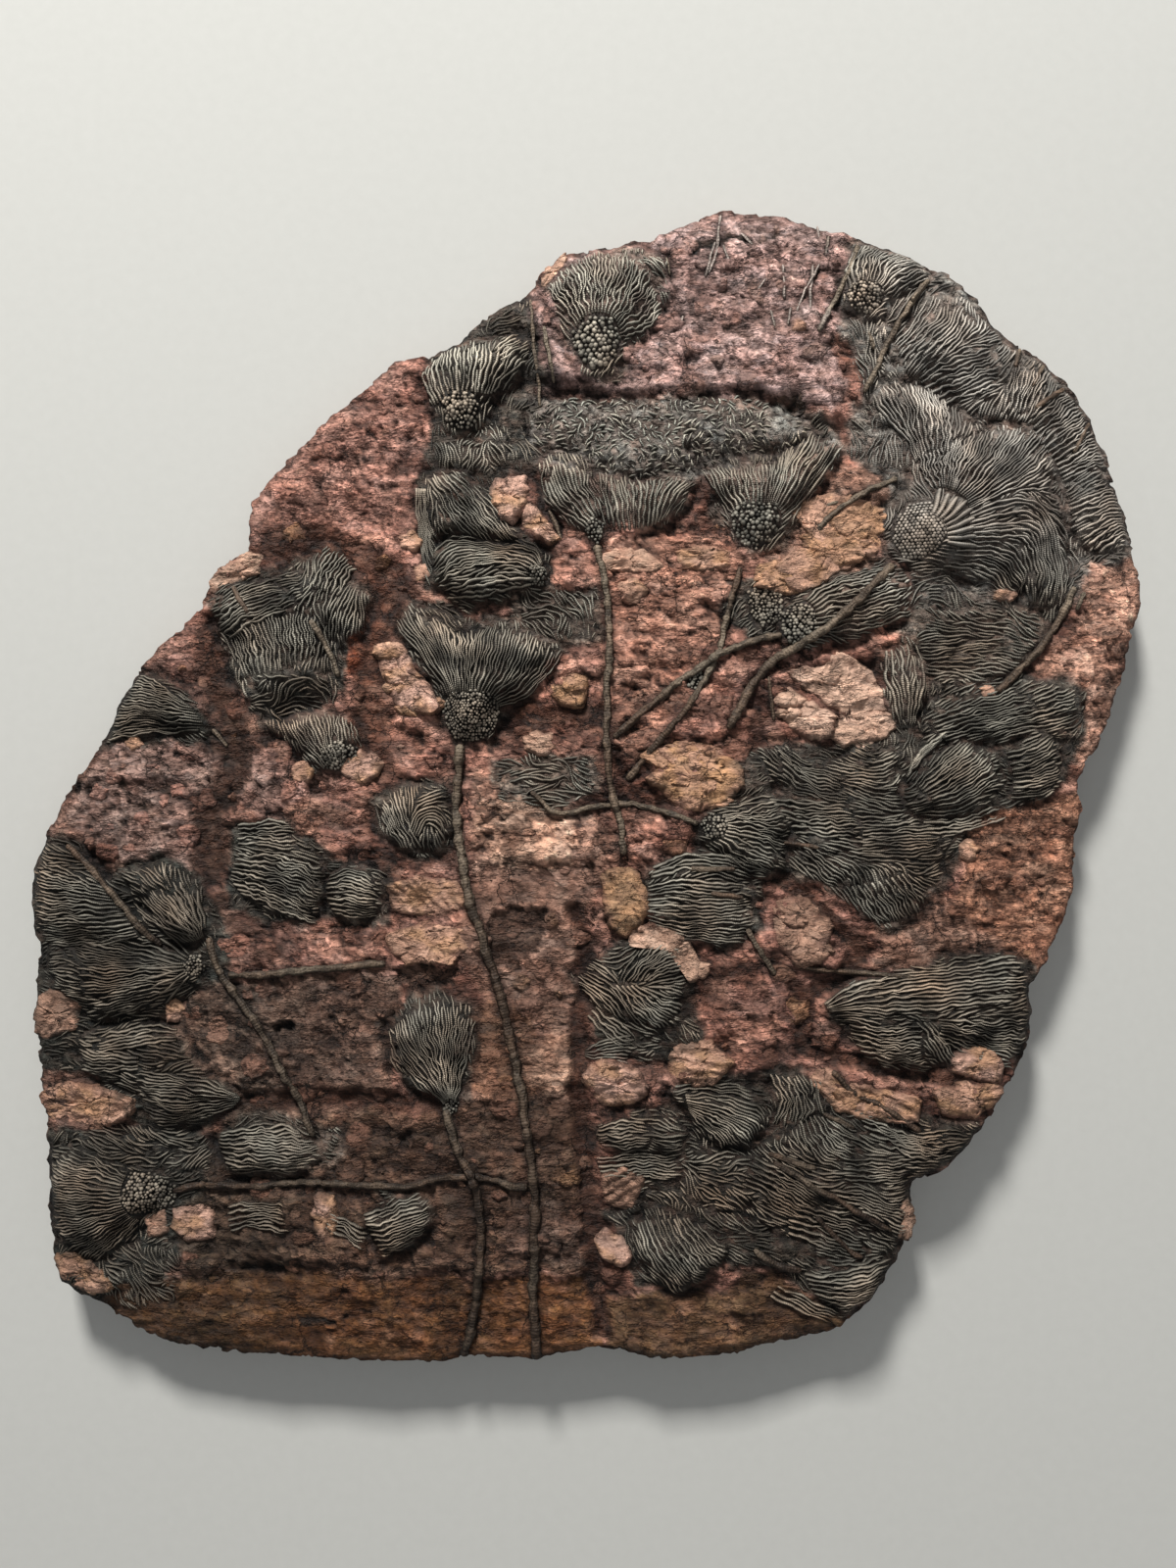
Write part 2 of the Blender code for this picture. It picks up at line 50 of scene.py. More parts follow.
# Broken outline of the slab, clockwise from its highest point.
OUTLINE = [
    (740, 211), (768, 214), (800, 216), (836, 230), (869, 236), (881, 239), (909, 249), (933, 258),
    (954, 270), (978, 282), (1001, 302), (1014, 322), (1031, 338), (1055, 352), (1077, 372), (1092, 388),
    (1105, 405), (1118, 430), (1133, 463), (1147, 503), (1158, 536), (1164, 570), (1170, 600), (1168, 618),
    (1158, 655), (1144, 711), (1122, 768), (1104, 796), (1109, 829), (1101, 863), (1102, 907), (1090, 940),
    (1071, 984), (1056, 1009), (1057, 1035), (1052, 1068), (1038, 1099), (1029, 1108), (1015, 1141), (993, 1169),
    (969, 1196), (935, 1209), (930, 1225), (935, 1259), (921, 1280), (908, 1308), (892, 1331), (878, 1346),
    (853, 1366), (802, 1374), (760, 1386), (715, 1392), (664, 1392), (632, 1384), (616, 1382), (584, 1386),
    (549, 1394), (519, 1393), (487, 1391), (468, 1392), (444, 1398), (402, 1398), (362, 1396), (320, 1392),
    (281, 1389), (228, 1387), (161, 1375), (129, 1360), (99, 1338), (74, 1325), (58, 1309), (50, 1287),
    (45, 1248), (43, 1206), (39, 1136), (35, 1087), (32, 1028), (35, 970), (29, 948), (27, 920),
    (29, 888), (42, 857), (67, 804), (92, 773), (102, 751), (118, 714), (139, 682), (166, 650),
    (182, 640), (200, 620), (209, 597), (222, 576), (250, 562), (252, 540), (254, 510), (290, 470),
    (325, 434), (367, 398), (405, 363), (434, 362), (468, 346), (495, 320), (519, 306), (538, 299),
    (553, 278), (578, 258), (610, 250), (632, 248), (669, 240), (688, 231), (716, 219),
]

LEDGE = [(556, 384), (600, 396), (650, 401), (700, 396), (760, 396), (800, 404), (832, 424), (868, 428)]

BAND = [(120, 1318), (200, 1296), (300, 1292), (400, 1300), (520, 1304), (604, 1302), (650, 1330), (720, 1322),
        (760, 1296), (800, 1300), (840, 1345)]

# Cracks filled with red mud: points and half width.
SEAMS = [
    ([(588, 930), (602, 990), (592, 1050), (590, 1110), (598, 1180), (600, 1240), (606, 1300), (616, 1376)], 13),
    ([(206, 632), (214, 690), (236, 735), (238, 790), (210, 830), (214, 880)], 22),
    ([(268, 552), (330, 548), (400, 590), (384, 650), (376, 720), (384, 780)], 26),
    ([(512, 712), (560, 730), (606, 728)], 18),
    ([(800, 898), (842, 934), (884, 972), (850, 1006), (812, 1022)], 12),
    ([(796, 990), (826, 1024), (818, 1070), (880, 1086), (960, 1100), (1040, 1100)], 12),
    ([(206, 1128), (270, 1126), (330, 1122), (400, 1124), (450, 1124)], 14),
]

# Crowns: name, greatest thickness in metres, outline.
CROWNS = [
    ("arm_mat_upper_middle", 0.0040, [(552, 414), (580, 406), (640, 408), (700, 404), (770, 406), (806, 424),
                                      (832, 440), (812, 456), (760, 462), (712, 466), (700, 482), (650, 486),
                                      (606, 476), (600, 458), (560, 456), (544, 440)]),
    ("arm_mat_upper_right", 0.0050, [(914, 352), (950, 304), (984, 300), (1024, 344), (1062, 366), (1100, 420),
                                     (1124, 470), (1142, 516), (1150, 552), (1116, 560), (1096, 536), (1090, 496),
                                     (1084, 452), (1040, 426), (990, 424), (958, 386), (924, 378)]),
    ("arm_mat_right", 0.0050, [(930, 736), (956, 718), (1010, 706), (1060, 694), (1100, 704), (1102, 730),
                               (1080, 746), (1040, 748), (1020, 758), (990, 750), (950, 760)]),
    ("arm_mat_middle_right", 0.0060, [(776, 764), (804, 764), (836, 784), (882, 764), (918, 772), (920, 812),
                                      (936, 838), (984, 846), (962, 872), (962, 900), (940, 930), (906, 948),
                                      (872, 926), (842, 902), (806, 884), (816, 850), (812, 806), (790, 792)]),
    ("arm_mat_lower_right", 0.0050, [(796, 1098), (838, 1104), (836, 1136), (880, 1160), (940, 1154), (1006, 1146),
                                     (990, 1166), (964, 1192), (928, 1206), (926, 1262), (880, 1266), (840, 1240),
                                     (800, 1256), (760, 1240), (726, 1226), (718, 1186), (760, 1180), (792, 1166)]),
    ("crown_top", 0.0080, [(560, 290), (572, 272), (606, 260), (650, 254), (680, 266), (678, 300), (662, 336),
                           (636, 354), (626, 380), (600, 382), (584, 354), (570, 322)]),
    ("crown_top_right", 0.0070, [(864, 272), (878, 250), (908, 256), (944, 270), (950, 282), (908, 304), (900, 320),
                                 (876, 322), (862, 308)]),
    ("crown_top_left", 0.0090, [(432, 382), (446, 360), (480, 350), (512, 342), (540, 346), (532, 376), (506, 398),
                                (492, 430), (468, 442), (450, 428), (440, 408)]),
    ("crown_comb_left", 0.0080, [(552, 474), (566, 464), (592, 462), (606, 486), (616, 520), (612, 546),
                                 (580, 536), (560, 512)]),
    ("crown_comb_middle", 0.0070, [(612, 484), (646, 492), (686, 486), (712, 488), (696, 516), (676, 534),
                                   (644, 540), (622, 530)]),
    ("crown_comb_right", 0.0100, [(718, 478), (746, 470), (800, 462), (850, 444), (862, 454), (838, 490), (806, 532),
                                  (794, 556), (764, 560), (744, 540), (734, 506)]),
    ("arm_mat_left_of_comb", 0.0070, [(428, 500), (444, 482), (474, 484), (500, 508), (528, 548), (500, 550),
                                      (456, 546), (434, 538)]),
    ("crown_lying_left", 0.0110, [(442, 566), (456, 554), (500, 554), (548, 564), (558, 582), (544, 602), (504, 612),
                                  (464, 608), (442, 592)]),
    ("crown_left_main", 0.0120, [(404, 628), (418, 614), (450, 628), (480, 640), (530, 636), (572, 664), (546, 698),
                                 (512, 722), (500, 752), (478, 758), (458, 746), (452, 716), (430, 672)]),
    ("crown_big_right", 0.0130, [(904, 536), (912, 514), (934, 496), (930, 450), (896, 420), (894, 392), (936, 388),
                                 (966, 402), (996, 436), (1040, 434), (1076, 460), (1072, 500), (1090, 540),
                                 (1088, 606), (1066, 618), (1030, 594), (980, 580), (940, 584), (912, 568)]),
    ("crown_beaded_middle", 0.0080, [(796, 630), (814, 608), (850, 588), (912, 576), (930, 594), (920, 630),
                                     (876, 650), (826, 660), (800, 650)]),
    ("crown_fan_red", 0.0060, [(900, 670), (926, 662), (946, 682), (944, 712), (930, 742), (914, 732), (904, 704)]),
    ("crown_right_branching", 0.0070, [(926, 812), (946, 778), (982, 756), (1014, 768), (1026, 794), (1010, 818),
                                       (972, 834), (936, 830)]),
    ("crown_right_rim", 0.0060, [(1038, 764), (1064, 746), (1084, 762), (1084, 796), (1062, 816), (1040, 806)]),
    ("crown_middle_right", 0.0100, [(712, 838), (738, 822), (786, 812), (806, 826), (802, 884), (776, 896),
                                    (736, 876), (716, 856)]),
    ("crown_swept_middle", 0.0060, [(662, 888), (700, 872), (750, 880), (768, 904), (768, 944), (742, 964),
                                    (694, 958), (664, 936)]),
    ("crown_curled_middle", 0.0070, [(590, 1002), (612, 978), (660, 958), (694, 966), (698, 1004), (694, 1044),
                                     (664, 1060), (634, 1042), (606, 1022)]),
    ("crown_swept_lower", 0.0080, [(686, 1114), (730, 1114), (770, 1122), (786, 1146), (768, 1170), (738, 1172),
                                   (710, 1146)]),
    ("crown_ringed_lower", 0.0070, [(606, 1156), (634, 1142), (680, 1142), (704, 1156), (692, 1176), (640, 1178),
                                    (614, 1170)]),
    ("crown_domed_bottom", 0.0110, [(648, 1250), (668, 1236), (704, 1248), (740, 1276), (722, 1304), (692, 1320),
                                    (664, 1302), (648, 1274)]),
    ("crown_bottom_right", 0.0060, [(824, 1302), (856, 1286), (906, 1290), (892, 1324), (868, 1340), (842, 1322)]),
    ("crown_long_right", 0.0110, [(844, 1026), (876, 1004), (940, 988), (1000, 974), (1044, 984), (1050, 1036),
                                  (1032, 1090), (1004, 1066), (968, 1072), (950, 1096), (906, 1090), (866, 1054)]),
    ("crown_lower_middle", 0.0090, [(396, 1054), (416, 1022), (448, 1012), (480, 1032), (482, 1068), (468, 1120),
                                    (454, 1130), (424, 1106), (402, 1086)]),
    ("crown_left_upper", 0.0110, [(212, 622), (226, 602), (276, 590), (334, 560), (350, 594), (372, 606), (366, 642),
                                  (338, 660), (344, 700), (316, 712), (276, 732), (246, 708), (234, 664)]),
    ("crown_left_small", 0.0080, [(270, 738), (314, 724), (356, 736), (368, 762), (346, 786), (318, 778)]),
    ("crown_left_rim_upper", 0.0070, [(118, 722), (142, 688), (172, 696), (204, 720), (206, 744), (160, 744),
                                      (112, 752)]),
    ("crown_left_wavy", 0.0070, [(240, 852), (280, 838), (310, 862), (326, 886), (322, 930), (300, 936), (254, 916),
                                 (238, 884)]),
    ("crown_left_oval", 0.0080, [(336, 896), (364, 884), (388, 900), (386, 928), (362, 940), (340, 928)]),
    ("crown_arched_left", 0.0070, [(384, 822), (408, 804), (450, 804), (460, 836), (448, 866), (412, 866),
                                   (390, 848)]),
    ("crown_left_rim", 0.0080, [(34, 888), (48, 864), (72, 866), (112, 908), (156, 964), (110, 960), (46, 952),
                                (34, 930)]),
    ("crown_left_twin_upper", 0.0080, [(124, 892), (170, 882), (204, 908), (212, 948), (192, 964), (162, 944)]),
    ("crown_left_twin_lower", 0.0090, [(48, 972), (104, 966), (170, 972), (202, 980), (200, 1002), (160, 1026),
                                       (96, 1040), (54, 1006)]),
    ("crown_left_flat", 0.0070, [(80, 1060), (128, 1046), (178, 1054), (196, 1088), (246, 1122), (214, 1140),
                                 (162, 1150), (142, 1110), (90, 1096)]),
    ("crown_left_lower_fan", 0.0110, [(50, 1178), (84, 1174), (124, 1192), (170, 1204), (166, 1228), (136, 1254),
                                      (108, 1280), (62, 1270), (50, 1230)]),
    ("crown_small_arched", 0.0060, [(222, 1162), (256, 1148), (310, 1154), (328, 1178), (300, 1198), (236, 1196)]),
    ("crown_lower_wavy", 0.0070, [(376, 1242), (400, 1226), (434, 1224), (438, 1248), (414, 1274), (390, 1282)]),
]

# Stems: name, width in units, centre line.
STEMS = [
    ("stem_left_diagonal", 9, [(68, 862), (98, 893), (130, 932), (162, 966)]),
    ("stem_left_long", 10, [(211, 958), (224, 994), (258, 1040), (280, 1078), (302, 1120), (320, 1160)]),
    ("stem_left_branch", 10, [(232, 996), (281, 993), (335, 987), (392, 984)]),
    ("stem_low_cross", 9, [(176, 1216), (204, 1210), (262, 1212), (330, 1208), (410, 1211), (456, 1202), (500, 1203),
                           (522, 1211), (538, 1212)]),
    ("stem_low_short", 12, [(454, 1134), (468, 1176), (486, 1216), (491, 1270), (486, 1330), (472, 1390)]),
    ("stem_left_main", 13, [(470, 760), (465, 830), (478, 910), (496, 970), (516, 1040), (534, 1140), (545, 1230),
                            (543, 1310), (547, 1392)]),
    ("stem_arch_middle", 8, [(542, 808), (568, 830), (604, 824), (646, 820), (684, 830), (712, 841)]),
    ("stem_upright_middle", 10, [(608, 556), (618, 600), (622, 650), (618, 730), (621, 796), (632, 838), (637, 872)]),
    ("stem_crossing_upper", 9, [(756, 578), (742, 630), (728, 678), (696, 728), (662, 768), (640, 796)]),
    ("stem_crossing_lower", 10, [(798, 648), (752, 660), (706, 686), (664, 718), (626, 752)]),
    ("stem_of_big_crown", 12, [(910, 576), (874, 612), (836, 646), (790, 674), (766, 702), (744, 744)]),
    ("stem_thin_upper", 8, [(916, 487), (878, 504), (848, 526), (834, 542)]),
    ("stem_ridge_upper", 8, [(948, 284), (924, 318), (900, 362), (882, 400)]),
    ("stem_ridge_top", 7, [(876, 250), (862, 286), (844, 320), (834, 340)]),
    ("stem_right_curved", 10, [(1098, 598), (1078, 640), (1050, 676), (1018, 706)]),
    ("stem_low_right_b", 8, [(790, 1186), (848, 1220), (910, 1256)]),
    ("stem_low_right_c", 10, [(770, 1276), (790, 1290), (818, 1298)]),
]


# ------------------------------------------------------------------ noise
def hash2(ix, iy, seed):
    h = (ix * 374761393 + iy * 668265263 + seed * 974634777) & 0xFFFFFFFF
    h = ((h ^ (h >> 13)) * 1274126177) & 0xFFFFFFFF
    h = ((h ^ (h >> 15)) * 2246822519) & 0xFFFFFFFF
    return (h ^ (h >> 16)) & 0xFFFFFFFF


def perlin(x, y, seed=0):
    x, y = np.asarray(x, float), np.asarray(y, float)
    fx, fy = np.floor(x), np.floor(y)
    ix, iy = fx.astype(np.int64), fy.astype(np.int64)
    dx, dy = x - fx, y - fy
    u = dx * dx * dx * (dx * (dx * 6 - 15) + 10)
    v = dy * dy * dy * (dy * (dy * 6 - 15) + 10)

    def grad(ox, oy):
        a = hash2(ix + ox, iy + oy, seed) * (2 * math.pi / 4294967296.0)
        return np.cos(a) * (dx - ox) + np.sin(a) * (dy - oy)

    top = grad(0, 0) * (1 - u) + grad(1, 0) * u
    bottom = grad(0, 1) * (1 - u) + grad(1, 1) * u
    return (top * (1 - v) + bottom * v) * 1.5


def fbm(x, y, octaves=4, seed=0, gain=0.5):
    total, amp, norm = 0.0, 1.0, 0.0
    for k in range(octaves):
        total = total + amp * perlin(x, y, seed + 17 * k)
        norm += amp
        amp *= gain
        x, y = x * 2.03 + 5.1, y * 2.03 - 3.7
    return total / norm


def ridged(x, y, octaves=4, seed=0, gain=0.5):
    total, amp, norm = 0.0, 1.0, 0.0
    for k in range(octaves):
        total = total + amp * (1 - 2 * np.abs(perlin(x, y, seed + 29 * k)))
        norm += amp
        amp *= gain
        x, y = x * 2.07 + 1.7, y * 2.07 + 9.2
    return total / norm


def cells(x, y, seed=0, jitter=0.9):
    """Distance to the nearest and second nearest scattered point, and the nearest one's own number in 0..1."""
    fx, fy = np.floor(x), np.floor(y)
    ix, iy = fx.astype(np.int64), fy.astype(np.int64)
    best = np.full(x.shape, 9.0)
    second = np.full(x.shape, 9.0)
    ident = np.zeros(x.shape)
    for ox in (-1, 0, 1):
        for oy in (-1, 0, 1):
            h = hash2(ix + ox, iy + oy, seed)
            h2 = hash2(ix + ox, iy + oy, seed + 101)
            px = fx + ox + 0.5 + jitter * (h / 4294967296.0 - 0.5)
            py = fy + oy + 0.5 + jitter * (h2 / 4294967296.0 - 0.5)
            d = np.hypot(px - x, py - y)
            closer = d < best
            second = np.where(closer, best, np.minimum(second, d))
            ident = np.where(closer, (hash2(ix + ox, iy + oy, seed + 7) & 0xFFFF) / 65535.0, ident)
            best = np.where(closer, d, best)
    return best, second, ident


def ease(t):
    t = np.clip(t, 0.0, 1.0)
    return t * t * (3 - 2 * t)


# ------------------------------------------------------------------ plan geometry, in drawing units
def line_distance(x, y, points):
    """Distance to a polyline, the signed side of the nearest stretch, and how far along it (0..1)."""
    best = np.full(np.shape(x), 1e9)
    side = np.zeros(np.shape(x))
    along = np.zeros(np.shape(x))
    pts = np.asarray(points, float)
    seg = np.hypot(*(pts[1:] - pts[:-1]).T)
    total = seg.sum()
    run = 0.0
    for (ax, ay), (bx, by), length in zip(pts[:-1], pts[1:], seg):
        dx, dy = bx - ax, by - ay
        px, py = x - ax, y - ay
        t = np.clip((px * dx + py * dy) / max(length * length, 1e-9), 0, 1)
        d = np.hypot(px - t * dx, py - t * dy)
        near = d < best
        best = np.where(near, d, best)
        side = np.where(near, dx * py - dy * px, side)
        along = np.where(near, (run + t * length) / total, along)
        run += length
    return best, side, along


def inside(x, y, ring):
    hit = np.zeros(np.shape(x), bool)
    for (x0, y0), (x1, y1) in zip(ring, ring[1:] + ring[:1]):
        if y0 == y1:
            continue
        hit ^= ((y0 > y) != (y1 > y)) & (x < (x1 - x0) * (y - y0) / (y1 - y0) + x0)
    return hit


def depth_in(x, y, ring):
    """Signed distance to a ring: positive inside."""
    d = line_distance(x, y, ring + ring[:1])[0]
    return np.where(inside(x, y, ring), d, -d)


def smooth_path(points, step=3.0):
    """A Catmull-Rom curve through the points, sampled about every step units."""
    p = np.asarray(points, float)
    if len(p) == 2:
        n = max(2, int(np.hypot(*(p[1] - p[0])) / step) + 1)
        return p[0] + np.linspace(0, 1, n)[:, None] * (p[1] - p[0])
    q = np.vstack([2 * p[0] - p[1], p, 2 * p[-1] - p[-2]])
    out = []
    for i in range(1, len(q) - 2):
        n = max(2, int(np.hypot(*(q[i + 1] - q[i])) / step) + 1)
        t = np.linspace(0, 1, n, endpoint=False)[:, None]
        out.append(0.5 * (2 * q[i] + (q[i + 1] - q[i - 1]) * t
                          + (2 * q[i - 1] - 5 * q[i] + 4 * q[i + 1] - q[i + 2]) * t ** 2
                          + (3 * q[i] - q[i - 1] - 3 * q[i + 1] + q[i + 2]) * t ** 3))
    return np.vstack(out + [p[-1:]])


def resample(path, n):
    s = np.concatenate([[0], np.cumsum(np.hypot(*np.diff(path, axis=0).T))])
    t = np.linspace(0, s[-1], n)
    return np.column_stack([np.interp(t, s, path[:, 0]), np.interp(t, s, path[:, 1])])


# ------------------------------------------------------------------ a raster of the plan, one unit a cell
W, H = 1200, 1412
GX, GY = np.meshgrid(np.arange(0, W, 1.0), np.arange(196, H, 1.0))
Y0 = 196.0


def sample(field, x, y):
    x = np.clip(np.asarray(x, float), 0, GX.shape[1] - 1.001)
    y = np.clip(np.asarray(y, float) - Y0, 0, GX.shape[0] - 1.001)
    ix, iy = x.astype(int), y.astype(int)
    fx, fy = x - ix, y - iy
    if field.ndim == 3:
        fx, fy = fx[..., None], fy[..., None]
    return ((field[iy, ix] * (1 - fx) + field[iy, ix + 1] * fx) * (1 - fy)
            + (field[iy + 1, ix] * (1 - fx) + field[iy + 1, ix + 1] * fx) * fy)


def box_blur(field, r, times=2):
    r = int(round(r))
    if r < 1:
        return field
    out = field
    for _ in range(times):
        for axis in (0, 1):
            pad = [(0, 0)] * out.ndim
            pad[axis] = (r + 1, r)
            c = np.cumsum(np.pad(out, pad, mode="edge"), axis=axis)
            n = out.shape[axis]
            hi = np.take(c, np.arange(2 * r + 1, 2 * r + 1 + n), axis=axis)
            lo = np.take(c, np.arange(0, n), axis=axis)
            out = (hi - lo) / (2 * r + 1)
    return out


def window(points, margin):
    """The slice of the raster around some points, so that only it is worked on."""
    p = np.asarray(points, float)
    x0, y0 = np.floor(p.min(0)) - margin
    x1, y1 = np.ceil(p.max(0)) + margin
    return (slice(int(np.clip(y0 - Y0, 0, GX.shape[0] - 2)), int(np.clip(y1 - Y0, 2, GX.shape[0]))),
            slice(int(np.clip(x0, 0, GX.shape[1] - 2)), int(np.clip(x1, 2, GX.shape[1]))))


RIM = line_distance(GX, GY, OUTLINE + OUTLINE[:1])[0]
IN_SLAB = inside(GX, GY, OUTLINE)
RIM = np.where(IN_SLAB, RIM, -RIM)
WARP_X = 7.0 * fbm(GX / 26, GY / 26, 3, 11) + 2.5 * fbm(GX / 7, GY / 7, 2, 12)
WARP_Y = 7.0 * fbm(GX / 26, GY / 26, 3, 21) + 2.5 * fbm(GX / 7, GY / 7, 2, 22)


WARP_X2 = WARP_X + 13.0 * fbm(GX / 72, GY / 72, 3, 13)  # for the edges of patches, not of the fossils
WARP_Y2 = WARP_Y + 13.0 * fbm(GX / 72, GY / 72, 3, 23)


def base_height():
    x, y = GX, GY
    z = np.full(x.shape, SLAB_THICKNESS)
    z += WAVE_HEIGHT * (np.sin(x / 97 + 0.6) * np.cos(y / 121 - 0.4) + 0.6 * np.sin((x + 1.3 * y) / 63))
    w = window([(520, 200), (900, 460)], 2)
    d, side, _ = line_distance(x[w] + 0.5 * WARP_X[w], y[w] + 0.4 * WARP_Y[w], LEDGE)
    above = 0.5 - 0.5 * np.sign(side) * np.minimum(1.0, d / 5.0)
    fade = ease((x[w] - 530) / 40) * ease((890 - x[w]) / 40) * ease((y[w] - 215) / 90 + 0.35)
    z[w] += LEDGE_HEIGHT * above * fade
    w = window([(20, 1270), (1180, 1410)], 2)
    d, side, _ = line_distance(x[w] + WARP_X[w] * 0.6, y[w] + WARP_Y[w] * 0.6, BAND)
    z[w] -= LOWER_BAND_DROP * (0.5 + 0.5 * np.sign(side) * np.minimum(1.0, d / 9.0))
    cut = np.zeros(x.shape)
    for points, half in SEAMS:
        w = window(points, 2 * half + 10)
        d = line_distance(x[w] + 0.8 * WARP_X[w], y[w] + 0.8 * WARP_Y[w], points)[0]
        cut[w] = np.maximum(cut[w], 1 - ease((d - 0.30 * half) / (0.85 * half)))
    cut *= ease((RIM - 5) / 14)
    z -= 1.05 * SEAM_DEPTH * cut
    z -= EDGE_ROLL * np.exp(-np.maximum(RIM, 0) / EDGE_ROLL_UNITS)
    return z, cut


GROUND, SEAM = base_height()


def crown_domes():
    """Swelling of the crowns over the plain face, and the hollow worked out along their edges."""
    dome, moat = np.zeros(GX.shape), np.zeros(GX.shape)
    for _, top, ring in CROWNS:
        w = window(ring, 24)
        d = depth_in(GX[w] + 0.8 * WARP_X[w], GY[w] + 0.8 * WARP_Y[w], ring)
        rise = ease((d + 6) / max(24.0, min(52.0, 0.78 * float(d.max()))))
        roll = 0.0030 * fbm(GX[w] / 42 + 3, GY[w] / 34, 3, 15) + 0.0012 * ridged(GX[w] / 30, GY[w] / 30, 2, 16)
        dome[w] = dome[w] * (1 - 0.6 * rise) + (1.25 * (top - 0.0008) + roll) * rise
        moat[w] = np.maximum(moat[w] * (1 - rise), np.exp(-((d + 8) / 5.0) ** 2))
    return dome, moat


DOME, MOAT = crown_domes()
SMOOTH = GROUND + DOME  # what the arms lie on


def srgb(r, g, b):
    c = np.array([r, g, b], float) / 255.0
    return np.where(c <= 0.04045, c / 12.92, ((c + 0.055) / 1.055) ** 2.4)


def place(x, y, z):
    return np.column_stack([(np.asarray(x) - MID[0]) * UNIT, (MID[1] - np.asarray(y)) * UNIT, z])

# ------------------------------------------------------------------ colours of the stone (sRGB)
PALETTE = {
    "filler": (120, 86, 76), "filler_dark": (88, 56, 45), "maroon_top": (137, 113, 108), "red_rock": (134, 98, 87),
    "red_mid": (158, 116, 99), "pink": (206, 167, 149), "pink_light": (218, 182, 160), "pink_tan": (192, 152, 130),
    "pink_brown": (156, 124, 106), "ochre": (186, 144, 108), "tan": (160, 128, 100), "pale": (198, 164, 142),
    "centre_brown": (120, 88, 70), "brown": (128, 98, 84), "brown_dark": (92, 72, 62), "grey_brown": (104, 93, 84),
    "dark": (56, 52, 46), "dark_grey": (70, 66, 60), "grey": (112, 107, 101), "right_brown": (160, 123, 106),
    "red_brown": (144, 104, 84), "centre": (126, 97, 84), "centre_low": (80, 60, 48), "band": (100, 66, 40),
    "band_brown": (90, 66, 46), "left_pink": (146, 112, 102), "black": (26, 23, 19), "rust": (104, 54, 34),
    "seam": (74, 46, 34),
}

